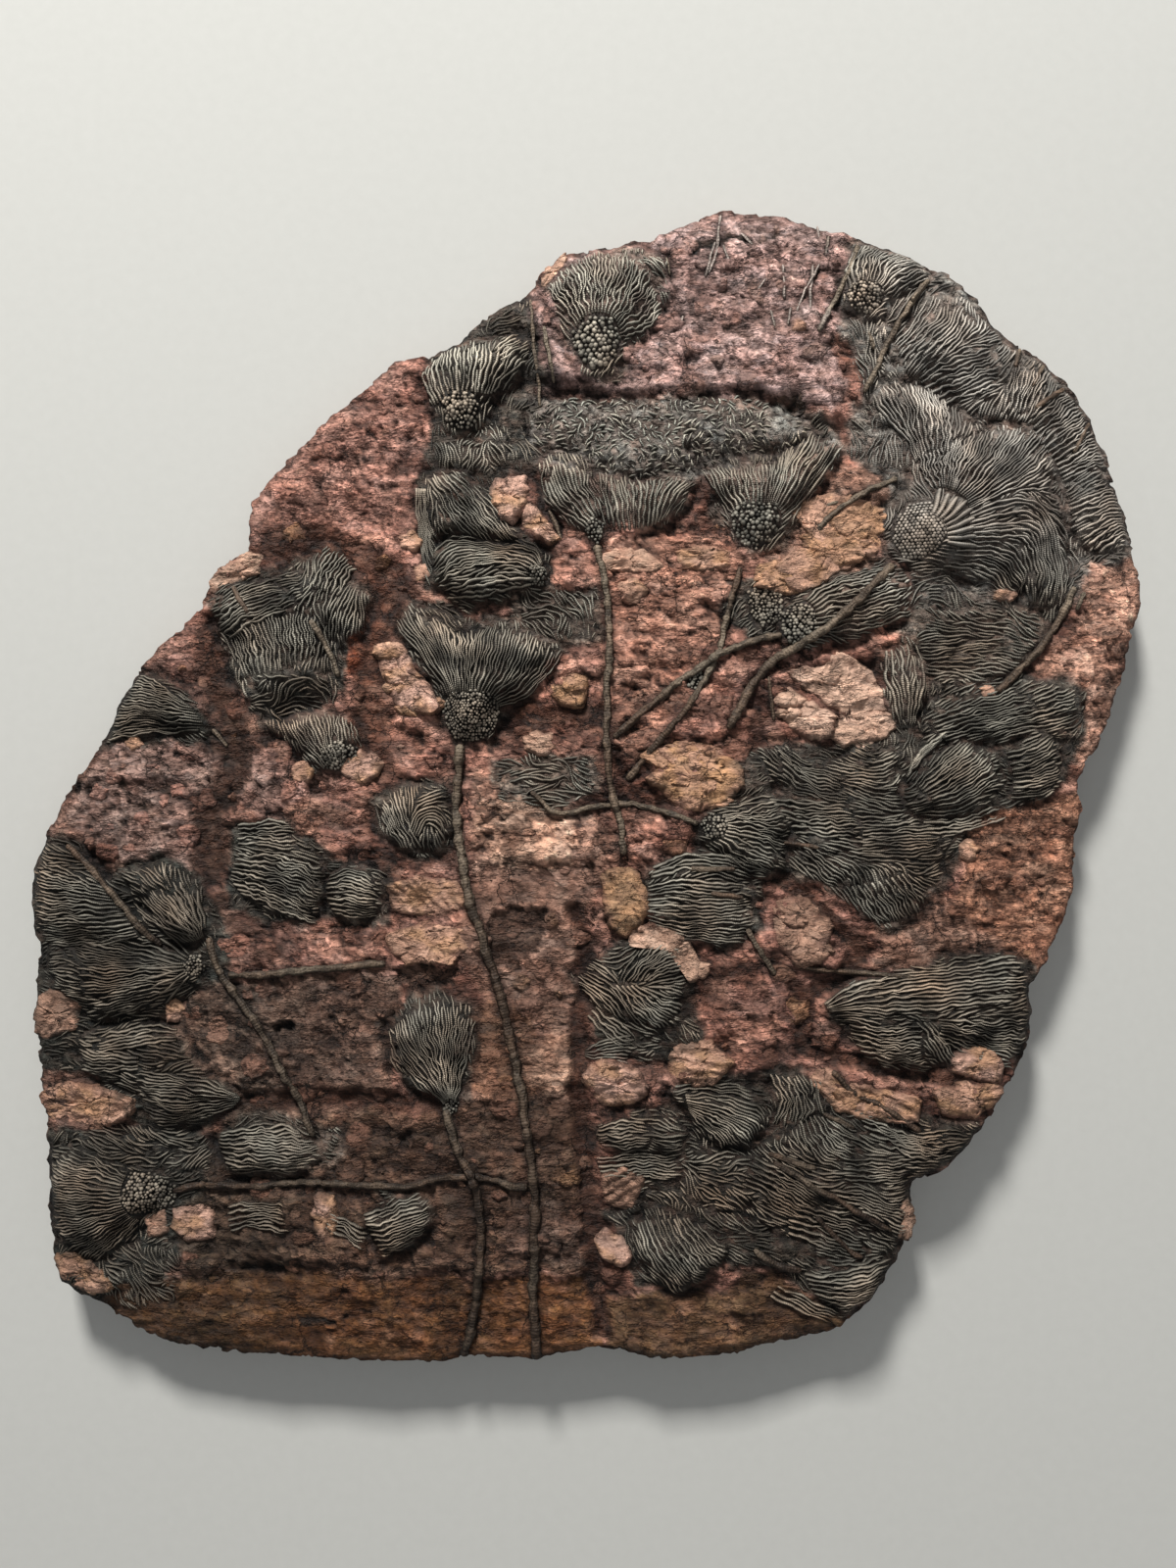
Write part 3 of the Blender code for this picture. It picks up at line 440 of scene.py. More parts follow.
# Patches of stone, lower ones first: colour, finish, height in mm, softness of the edge in units, outline.
ZONES = [
    ("maroon_top", "rough", 0.0, 7, [(598, 250), (640, 243), (700, 222), (740, 206), (830, 222), (890, 238), (878, 300),
                                     (842, 345), (860, 400), (846, 428), (800, 406), (700, 398), (640, 402), (575, 396),
                                     (540, 398), (540, 300), (572, 262)]),
    ("red_rock", "rough", 0.0, 6, [(246, 562), (246, 505), (290, 460), (325, 424), (367, 388), (405, 354), (434, 358),
                                   (436, 400), (442, 440), (434, 480), (428, 520), (404, 546), (360, 552), (320, 548),
                                   (280, 556)]),
    ("dark_grey", "rough", 0.0, 8, [(434, 352), (468, 336), (495, 312), (519, 298), (542, 294), (552, 340), (548, 400),
                                    (538, 440), (552, 470), (520, 484), (495, 490), (470, 482), (436, 472), (438, 400)]),
    ("grey", "rubble", 0.0, 7, [(542, 400), (580, 406), (700, 402), (800, 412), (856, 432), (864, 450), (810, 470),
                                (716, 480), (700, 490), (612, 486), (560, 470), (536, 450)]),
    ("grey", "rough", 0.0, 10, [(862, 250), (884, 236), (950, 258), (1006, 294), (1060, 344), (1112, 398), (1152, 500),
                                (1170, 568), (1122, 584), (1096, 604), (1060, 640), (1010, 660), (950, 656), (930, 620),
                                (930, 590), (905, 560), (905, 500), (880, 470), (866, 430), (886, 380), (868, 350),
                                (850, 335), (862, 290)]),
    ("grey_brown", "rough", 0.0, 10, [(930, 610), (1000, 620), (1060, 610), (1096, 600), (1070, 660), (1040, 690),
                                      (1000, 706), (950, 712), (926, 680), (918, 640)]),
    ("brown", "rough", 0.0, 6, [(790, 470), (850, 462), (905, 480), (905, 540), (880, 590), (830, 610), (780, 600),
                                (776, 560), (800, 530)]),
    ("pink_tan", "chalk", 3.4, 4, [(806, 520), (842, 504), (872, 500), (904, 508), (914, 534), (906, 560), (880, 574),
                                   (850, 590), (820, 604), (792, 600), (782, 584), (800, 566), (830, 552)]),
    ("red_mid", "smooth", 0.0, 6, [(610, 560), (680, 548), (756, 560), (764, 600), (742, 640), (700, 700), (650, 770),
                                   (622, 760), (616, 640)]),
    ("right_brown", "rough", 0.0, 8, [(1112, 584), (1172, 566), (1178, 600), (1164, 655), (1150, 711), (1128, 768),
                                      (1106, 796), (1092, 760), (1100, 710), (1062, 690), (1088, 650)]),
    ("dark_grey", "rough", 0.0, 8, [(744, 766), (800, 756), (850, 770), (900, 752), (960, 700), (1060, 692), (1104, 700),
                                    (1098, 780), (1070, 820), (1010, 832), (992, 860), (970, 900), (930, 948), (900, 940),
                                    (850, 906), (780, 900), (720, 880), (704, 842), (740, 810)]),
    ("red_brown", "rough", 0.0, 6, [(996, 836), (1056, 820), (1112, 816), (1110, 863), (1108, 907), (1096, 940),
                                    (1077, 984), (1052, 990), (1010, 970), (972, 942), (984, 880)]),
    ("brown", "ribbed", 0.0, 8, [(896, 930), (960, 900), (1000, 950), (1050, 980), (1000, 990), (930, 992), (880, 980)]),
    ("filler", "smooth", 0.0, 6, [(770, 896), (840, 930), (900, 960), (880, 1000), (830, 1030), (840, 1080), (800, 1090),
                                  (790, 1020), (780, 960), (760, 930)]),
    ("pink_brown", "chalk", 3.0, 4, [(786, 908), (826, 916), (852, 946), (842, 984), (812, 990), (792, 960)]),
    ("centre", "smooth", 0.0, 8, [(486, 790), (540, 800), (600, 830), (640, 860), (612, 900), (592, 950), (588, 1100),
                                  (600, 1300), (484, 1300), (440, 1230), (470, 1150), (500, 1060), (472, 960), (480, 880)]),
    ("left_pink", "chalk", 1.0, 7, [(100, 762), (150, 742), (228, 770), (240, 806), (208, 850), (196, 890), (150, 880),
                                    (104, 864), (70, 846), (88, 790)]),
    ("left_pink", "chalk", 1.6, 6, [(240, 776), (276, 766), (312, 790), (306, 826), (262, 834), (238, 812)]),
    ("dark", "rough", 0.0, 8, [(20, 880), (60, 856), (112, 898), (150, 930), (215, 958), (204, 1010), (150, 1050),
                               (80, 1096), (30, 1096), (26, 960)]),
    ("brown_dark", "rough", 0.0, 8, [(216, 1004), (300, 994), (400, 1000), (412, 1060), (402, 1116), (300, 1132),
                                     (200, 1120), (186, 1062)]),
    ("dark_grey", "rough", 0.0, 8, [(36, 1156), (200, 1150), (222, 1206), (184, 1262), (150, 1340), (100, 1344),
                                    (54, 1320), (40, 1250)]),
    ("dark_grey", "rough", 0.0, 8, [(82, 1056), (176, 1048), (250, 1124), (214, 1146), (140, 1152), (84, 1100)]),
    ("brown_dark", "rough", 0.0, 8, [(226, 1140), (330, 1128), (440, 1140), (470, 1200), (484, 1296), (300, 1292),
                                     (190, 1296), (170, 1260), (222, 1220)]),
    ("band", "bed", 0.0, 6, [(104, 1322), (200, 1300), (300, 1297), (400, 1304), (520, 1308), (606, 1306), (614, 1400),
                             (549, 1404), (444, 1408), (320, 1404), (161, 1390), (92, 1350)]),
    ("band_brown", "bed", 0.0, 6, [(616, 1322), (720, 1324), (762, 1300), (800, 1304), (848, 1346), (900, 1336),
                                   (870, 1376), (760, 1400), (664, 1404), (618, 1400)]),
    ("dark", "rough", 0.0, 8, [(606, 1146), (690, 1130), (720, 1100), (800, 1088), (850, 1110), (1012, 1150), (990, 1184),
                               (942, 1212), (938, 1262), (910, 1316), (850, 1350), (800, 1300), (740, 1290), (716, 1310),
                               (690, 1326), (650, 1316), (640, 1250), (640, 1200)]),
    ("dark", "rough", 0.0, 7, [(592, 1000), (614, 972), (666, 950), (700, 962), (706, 1004), (704, 1050), (664, 1066),
                               (620, 1050), (596, 1030)]),
    ("dark_grey", "rough", 0.0, 7, [(662, 884), (700, 868), (764, 876), (776, 904), (778, 944), (748, 968), (694, 962),
                                    (660, 936)]),
    ("dark", "rough", 0.0, 7, [(842, 1026), (876, 1000), (940, 984), (1010, 968), (1054, 980), (1060, 1036), (1040, 1094),
                               (1004, 1070), (968, 1078), (950, 1100), (900, 1094), (862, 1056)]),
    ("dark_grey", "rough", 0.0, 7, [(394, 1056), (412, 1018), (448, 1006), (484, 1028), (488, 1068), (474, 1124),
                                    (452, 1136), (420, 1110)]),
    ("dark_grey", "rough", 0.0, 8, [(206, 606), (232, 592), (290, 574), (346, 552), (376, 600), (372, 644), (348, 704),
                                    (320, 724), (270, 740), (238, 704), (214, 652)]),
    ("dark", "rough", 0.0, 6, [(100, 724), (136, 684), (176, 688), (210, 720), (210, 750), (150, 756), (94, 760)]),
    ("red_rock", "rough", 0.0, 6, [(160, 652), (196, 618), (208, 650), (226, 700), (232, 734), (214, 736), (184, 700),
                                   (140, 684)]),
    ("dark_grey", "rough", 0.0, 7, [(230, 842), (300, 830), (338, 878), (390, 880), (394, 942), (300, 952), (236, 922)]),
    ("dark_grey", "rough", 0.0, 7, [(380, 812), (404, 796), (456, 796), (466, 836), (454, 872), (412, 874), (386, 852)]),
    ("dark", "rough", 0.0, 6, [(424, 484), (444, 474), (500, 486), (534, 548), (560, 566), (566, 600), (520, 618),
                               (460, 614), (436, 596), (428, 540)]),
    ("dark_grey", "rough", 0.0, 6, [(400, 628), (416, 608), (450, 618), (530, 628), (580, 664), (550, 700), (516, 726),
                                    (506, 756), (478, 764), (450, 750), (440, 700)]),
    ("grey_brown", "rubble", 0.0, 6, [(520, 600), (560, 596), (610, 604), (612, 652), (560, 662), (530, 640)]),
    ("grey_brown", "rubble", 0.0, 6, [(498, 774), (540, 762), (606, 774), (612, 816), (560, 828), (506, 818)]),
    ("dark_grey", "rubble", 0.0, 6, [(744, 590), (800, 580), (806, 650), (764, 654), (742, 620)]),
    ("centre_low", "smooth", 0.0, 16, [(446, 1136), (520, 1120), (598, 1134), (604, 1304), (440, 1304), (200, 1300),
                                       (176, 1262), (226, 1150), (330, 1132)]),
    ("dark_grey", "rough", 0.0, 9, [(110, 880), (160, 866), (206, 898), (234, 944), (226, 1012), (150, 1000),
                                    (100, 930)]),
    ("grey_brown", "rough", 0.0, 9, [(238, 1128), (300, 1136), (346, 1150), (350, 1184), (300, 1200), (238, 1190)]),
    ("brown", "rough", 0.0, 10, [(150, 1040), (226, 1000), (240, 1060), (252, 1120), (200, 1124), (160, 1090)]),
    ("dark_grey", "rough", 0.0, 8, [(616, 1240), (660, 1226), (700, 1240), (712, 1290), (690, 1318), (650, 1310)]),
    ("dark", "rough", 0.0, 8, [(604, 1010), (640, 1000), (700, 1010), (712, 1060), (690, 1080), (640, 1082),
                               (606, 1060)]),
    # loose and broken pieces of light limestone
    ("pink", "chalk", 4.5, 2.5, [(496, 490), (515, 485), (537, 484), (540, 502), (533, 520), (526, 537), (511, 529),
                                 (500, 512)]),
    ("pink", "chalk", 3.0, 2.5, [(528, 524), (541, 512), (556, 528), (576, 552), (560, 556), (540, 544)]),
    ("ochre", "chalk", 3.6, 2.5, [(563, 696), (578, 684), (600, 686), (604, 708), (594, 724), (572, 724), (561, 712)]),
    ("pale", "chalk", 3.0, 2.5, [(534, 752), (548, 746), (564, 748), (566, 766), (550, 772), (535, 766)]),
    ("pink", "ribbed", 4.2, 3, [(382, 652), (392, 640), (404, 648), (420, 676), (440, 700), (449, 722), (438, 735),
                                (414, 730), (392, 706), (382, 680)]),
    ("ochre", "chalk", 3.0, 3.5, [(662, 772), (690, 758), (722, 764), (748, 776), (764, 792), (750, 812), (722, 828),
                                  (694, 832), (672, 816), (660, 796)]),
    ("pink_tan", "chalk", 1.4, 3, [(664, 764), (700, 756), (738, 762), (752, 778), (720, 782), (684, 780)]),
    ("tan", "chalk", 3.6, 3, [(614, 892), (628, 882), (648, 886), (662, 910), (658, 946), (640, 962), (622, 950),
                              (614, 920)]),
    ("pale", "chalk", 2.6, 3, [(640, 950), (664, 942), (690, 950), (716, 974), (722, 1000), (704, 1004), (690, 976),
                               (660, 964), (642, 966)]),
    ("pale", "chalk", 2.2, 2.5, [(604, 566), (632, 558), (660, 560), (682, 570), (676, 582), (640, 584), (608, 582)]),
    ("pink_tan", "chalk", 2.0, 2.5, [(690, 562), (716, 554), (748, 558), (752, 574), (728, 582), (696, 580)]),
    ("pink_tan", "chalk", 2.0, 2.5, [(632, 594), (650, 588), (662, 602), (650, 616), (634, 612)]),
    ("pink_light", "chalk", 2.4, 3.5, [(800, 684), (816, 677), (838, 680), (854, 663), (882, 668), (893, 684), (907, 701),
                                       (913, 722), (904, 738), (905, 757), (880, 767), (862, 758), (859, 730),
                                       (838, 712), (817, 702)]),
    ("brown", "rough", -3.4, 3, [(850, 672), (880, 680), (884, 700), (866, 712), (846, 700)]),
    ("pink_light", "chalk", 4.4, 2.5, [(800, 693), (816, 710), (838, 722), (857, 727), (852, 741), (850, 754), (836, 757),
                                       (815, 750), (801, 742), (797, 716)]),
    ("pink", "chalk", 3.6, 3, [(594, 1090), (614, 1082), (642, 1086), (660, 1098), (664, 1116), (646, 1130), (612, 1132),
                               (596, 1114)]),
    ("pink_tan", "ribbed", 3.2, 3, [(678, 1076), (700, 1062), (728, 1064), (748, 1084), (742, 1104), (712, 1112),
                                    (686, 1102)]),
    ("pink", "chalk", 3.2, 3, [(604, 1266), (618, 1258), (640, 1268), (648, 1286), (636, 1298), (612, 1288)]),
    ("pink_brown", "ribbed", 2.6, 3, [(610, 1198), (632, 1190), (658, 1202), (660, 1226), (636, 1240), (614, 1228)]),
    ("pink_tan", "chalk", 3.0, 3.5, [(36, 1112), (60, 1104), (110, 1112), (142, 1126), (134, 1142), (96, 1156), (44, 1146)]),
    ("pink_brown", "chalk", 2.6, 3.5, [(32, 1016), (62, 1010), (80, 1026), (78, 1050), (52, 1062), (32, 1058)]),
    ("pink", "chalk", 2.0, 2.5, [(166, 1026), (178, 1018), (188, 1030), (182, 1044), (168, 1044)]),
    ("pink_tan", "chalk", 2.6, 3, [(48, 1284), (74, 1280), (104, 1300), (116, 1318), (90, 1326), (58, 1308)]),
    ("pink", "chalk", 2.8, 3, [(176, 1236), (206, 1226), (222, 1240), (216, 1266), (184, 1272), (172, 1254)]),
    ("pink_brown", "chalk", 2.4, 3, [(142, 1240), (166, 1236), (172, 1262), (150, 1268)]),
    ("pink", "chalk", 2.6, 2.5, [(320, 1222), (338, 1216), (348, 1240), (342, 1262), (326, 1268), (316, 1244)]),
    ("pink", "chalk", 3.4, 3, [(970, 1078), (990, 1066), (1014, 1068), (1030, 1084), (1026, 1104), (1000, 1104),
                               (974, 1096)]),
    ("pink_tan", "ribbed", 2.8, 3.5, [(826, 1100), (846, 1090), (868, 1104), (900, 1112), (942, 1120), (946, 1146),
                                      (910, 1150), (870, 1144), (842, 1128)]),
    ("pink_tan", "chalk", 2.4, 3, [(950, 1112), (984, 1106), (1026, 1108), (1022, 1130), (990, 1142), (956, 1138)]),
    ("pale", "chalk", 1.6, 3, [(208, 592), (222, 576), (250, 562), (272, 566), (262, 584), (236, 592), (212, 606)]),
    ("pale", "chalk", 1.4, 3, [(914, 1228), (930, 1224), (938, 1250), (930, 1272), (916, 1264)]),
    ("pale", "chalk", 1.4, 3, [(550, 282), (576, 256), (582, 264), (566, 284), (552, 294)]),
    ("pink_tan", "chalk", 2.4, 2.5, [(406, 546), (422, 540), (432, 550), (424, 562), (408, 560)]),
    ("pink_tan", "chalk", 2.0, 2.5, [(420, 576), (438, 574), (442, 588), (426, 594)]),
    ("pink", "chalk", 3.0, 3, [(346, 772), (366, 764), (390, 774), (386, 794), (364, 802), (348, 792)]),
    ("pink_tan", "chalk", 2.2, 2.5, [(296, 778), (312, 774), (322, 788), (310, 800), (297, 796)]),
    ("pink_tan", "chalk", 2.0, 2.5, [(124, 756), (138, 750), (146, 760), (134, 768)]),
    ("pink_tan", "chalk", 2.4, 2.5, [(980, 860), (994, 854), (1002, 868), (992, 882), (980, 876)]),
    ("pink_tan", "chalk", 2.4, 2.5, [(1014, 602), (1030, 599), (1042, 606), (1032, 614), (1016, 612)]),
    ("pink_tan", "chalk", 2.0, 2.5, [(1000, 700), (1016, 698), (1020, 708), (1006, 712)]),
    ("pink_tan", "chalk", 2.8, 3.5, [(394, 950), (430, 940), (470, 944), (482, 966), (460, 984), (412, 984), (394, 970)]),
    ("pink_tan", "ribbed", 2.4, 3.5, [(392, 904), (430, 894), (474, 900), (480, 924), (440, 936), (398, 930)]),
    ("brown_dark", "rough", -4.0, 4, [(498, 932), (528, 924), (562, 934), (556, 968), (524, 990), (500, 970)]),
    ("brown_dark", "rough", -3.4, 4, [(396, 990), (430, 984), (470, 990), (466, 1008), (420, 1014), (396, 1006)]),
    ("centre_brown", "smooth", 0.8, 7, [(462, 1064), (500, 1020), (530, 1030), (560, 1080), (552, 1120), (520, 1130),
                                  (480, 1116)]),
    ("pink_brown", "smooth", 0.8, 5, [(536, 1072), (560, 1050), (590, 1060), (592, 1110), (560, 1126), (540, 1110)]),
    ("pink_brown", "smooth", 0.6, 5, [(486, 824), (530, 812), (580, 836), (586, 880), (540, 900), (496, 880)]),
    ("brown_dark", "smooth", 0.4, 8, [(508, 1240), (560, 1232), (596, 1250), (596, 1290), (540, 1298), (506, 1280)]),
    ("rust", "rough", -1.0, 4, [(346, 650), (372, 640), (386, 668), (376, 700), (352, 694)]),
    ("red_mid", "rough", -0.4, 9, [(294, 822), (326, 816), (342, 836), (322, 850), (298, 844)]),
    ("black", "rough", -4.0, 2.5, [(800, 412), (812, 404), (824, 412), (818, 424), (804, 422)]),
    ("black", "rough", -4.0, 2.5, [(276, 1050), (288, 1048), (292, 1056), (282, 1060)]),
    ("black", "rough", -3.0, 2.0, [(700, 256), (720, 248), (760, 240), (800, 233), (802, 238), (760, 248), (722, 256),
                                   (702, 264)]),
    ("black", "bed", -2.6, 2.0, [(300, 1350), (318, 1348), (338, 1350), (336, 1356), (316, 1356)]),
    ("black", "bed", -3.2, 2.0, [(346, 1341), (356, 1339), (360, 1346), (350, 1350)]),
]

# Ground made only of broken arms: piece, outline, lie of the arms in degrees (0 to the right, 90 down), spread, pitch.
MATS = [
    ("arm_mat_upper_middle", [(552, 414), (580, 406), (640, 408), (700, 404), (770, 406), (806, 424), (832, 440),
                              (812, 456), (760, 462), (712, 466), (700, 482), (650, 486), (606, 476), (600, 458),
                              (560, 456), (544, 440)], 20, 80, 5.4),
    ("arm_mat_beside_main", [(500, 776), (540, 764), (604, 776), (608, 814), (560, 826), (508, 816)], 10, 60, 5.2),
    ("arm_mat_beside_stem", [(522, 602), (560, 598), (606, 606), (608, 650), (560, 658), (532, 640)], 60, 70, 5.4),
    ("arm_mat_lower_left", [(45, 1156), (120, 1150), (214, 1156), (216, 1196), (130, 1192), (84, 1172), (50, 1176)],
     8, 40, 4.8),
    ("arm_mat_corner", [(94, 1278), (140, 1270), (186, 1280), (176, 1336), (120, 1344), (92, 1320)], 70, 60, 5.2),
    ("arm_mat_left_hollow", [(246, 690), (300, 684), (344, 690), (340, 722), (290, 736), (250, 722)], 40, 70, 5.2),
    ("arm_mat_grain_right", [(934, 616), (1000, 624), (1060, 620), (1076, 640), (1040, 686), (980, 700), (938, 690)],
     2, 16, 5.6),
    ("arm_mat_top_left_low", [(440, 450), (470, 446), (520, 452), (536, 470), (496, 484), (446, 478)], 70, 60, 5.4),
    ("arm_mat_beside_crown_top", [(640, 262), (676, 262), (684, 300), (664, 340), (636, 360), (650, 320)], 60, 50, 5.4),
    ("arm_mat_low_middle_right", [(700, 1180), (756, 1176), (800, 1196), (760, 1240), (720, 1236), (690, 1216)],
     45, 60, 5.0),
    ("arm_mat_low_right_end", [(838, 1262), (900, 1258), (920, 1270), (906, 1300), (860, 1296), (830, 1286)], 10, 50, 5.0),
    ("arm_mat_ridge", [(864, 322), (900, 322), (912, 352), (896, 400), (872, 420), (866, 380)], 65, 40, 5.2),
]

# Cups at the base of the crowns: piece, bead or plate, pitch in units, height in mm, outline.
CUPS = [
    ("crown_left_main", "bead", 4.4, 2.4, [(452, 712), (462, 706), (480, 704), (498, 706), (508, 714), (510, 728),
                                           (505, 742), (497, 752), (480, 758), (464, 754), (455, 740), (451, 726)]),
    ("crown_top_left", "bead", 5.4, 2.2, [(450, 412), (458, 404), (470, 402), (484, 404), (491, 414), (488, 428),
                                          (478, 438), (466, 438), (455, 430)]),
    ("crown_top", "bead", 6.6, 1.8, [(584, 340), (596, 330), (612, 326), (626, 330), (634, 344), (632, 360), (620, 374),
                                      (606, 378), (592, 370), (584, 356)]),
    ("crown_top_right", "bead", 5.0, 2.0, [(862, 297), (872, 290), (890, 290), (902, 298), (900, 312), (888, 320),
                                           (870, 318), (862, 308)]),
    ("crown_comb_left", "bead", 5.0, 2.2, [(596, 534), (606, 528), (616, 532), (618, 546), (609, 556), (599, 548)]),
    ("crown_comb_right", "bead", 6.2, 1.8, [(746, 522), (758, 514), (776, 512), (792, 516), (797, 532), (788, 550),
                                             (770, 562), (756, 554), (747, 540)]),
    ("crown_big_right", "plate", 6.2, 2.6, [(914, 528), (928, 514), (946, 513), (960, 524), (964, 542), (956, 560),
                                            (940, 572), (922, 570), (910, 552)]),
    ("crown_beaded_middle", "bead", 5.2, 2.4, [(797, 626), (812, 614), (828, 618), (833, 636), (826, 654), (808, 660),
                                               (797, 646)]),
    ("crown_beaded_stub", "bead", 5.0, 2.2, [(764, 602), (784, 590), (800, 604), (799, 632), (778, 641), (765, 626)]),
    ("crown_middle_right", "bead", 4.8, 2.2, [(714, 838), (726, 829), (740, 832), (743, 846), (734, 857), (720, 854)]),
    ("crown_lying_left", "bead", 4.4, 2.2, [(540, 579), (552, 577), (559, 586), (554, 599), (542, 598)]),
    ("crown_left_small", "bead", 5.0, 2.2, [(326, 764), (345, 755), (364, 762), (365, 778), (346, 787), (328, 784)]),
    ("crown_left_twin_lower", "bead", 4.2, 1.2, [(191, 976), (202, 974), (209, 986), (202, 998), (191, 997),
                                                 (187, 986)]),
    ("crown_left_lower_fan", "bead", 4.8, 2.4, [(132, 1196), (158, 1198), (180, 1212), (178, 1230), (150, 1240),
                                                (134, 1236), (126, 1218)]),
    ("crown_lower_middle", "bead", 4.6, 2.0, [(450, 1122), (460, 1118), (468, 1124), (466, 1136), (456, 1140),
                                              (449, 1132)]),
    ("crown_middle_right_stub", "bead", 4.8, 2.0, [(700, 690), (716, 684), (724, 694), (714, 704), (702, 702)]),
]

# Small stem pieces that lie about: width in units, centre line.
TWIGS = [
    (3.8, [(798, 272), (800, 306)]), (3.8, [(829, 272), (826, 318)]), (3.8, [(736, 217), (731, 258), (723, 279)]),
    (3.4, [(730, 246), (720, 282)]), (3.4, [(738, 250), (744, 270)]), (3.4, [(835, 228), (836, 246)]), (3.4, [(697, 322), (692, 338)]),
    (3.4, [(812, 320), (822, 296), (836, 270)]), (3.4, [(770, 300), (781, 286)]), (3.4, [(756, 238), (768, 250)]),
    (3.4, [(846, 240), (842, 262)]), (3.4, [(786, 318), (790, 336)]), (3.4, [(806, 316), (803, 334)]), (3.4, [(680, 262), (684, 280)]),
    (6, [(1114, 430), (1094, 463)]), (7, [(1087, 396), (1055, 418)]), (6, [(1043, 354), (1035, 376)]),
    (7, [(704, 886), (750, 887)]), (7, [(725, 911), (758, 916)]), (8, [(763, 948), (776, 972), (792, 996)]),
    (8, [(850, 1094), (872, 1116), (900, 1130), (940, 1155)]), (7, [(841, 1138), (872, 1152)]),
    (7, [(785, 1178), (833, 1192)]), (7, [(833, 1242), (867, 1276), (881, 1284)]),
    (7, [(816, 987), (867, 993), (886, 995), (930, 998)]), (7, [(237, 598), (245, 612), (257, 628)]),
    (8, [(319, 634), (334, 664), (345, 690)]), (6, [(214, 744), (230, 762)]), (5, [(541, 304), (546, 360), (551, 413)]),
    (6, [(555, 333), (565, 389)]), (6, [(560, 520), (573, 550)]), (7, [(843, 515), (858, 509)]),
    (5, [(785, 690), (790, 735)]), (6, [(800, 860), (835, 865)]), (6, [(886, 338), (892, 356)]),
    (7, [(942, 290), (930, 308)]), (6, [(1066, 372), (1052, 396)]), (7, [(1108, 604), (1100, 622)]),
]

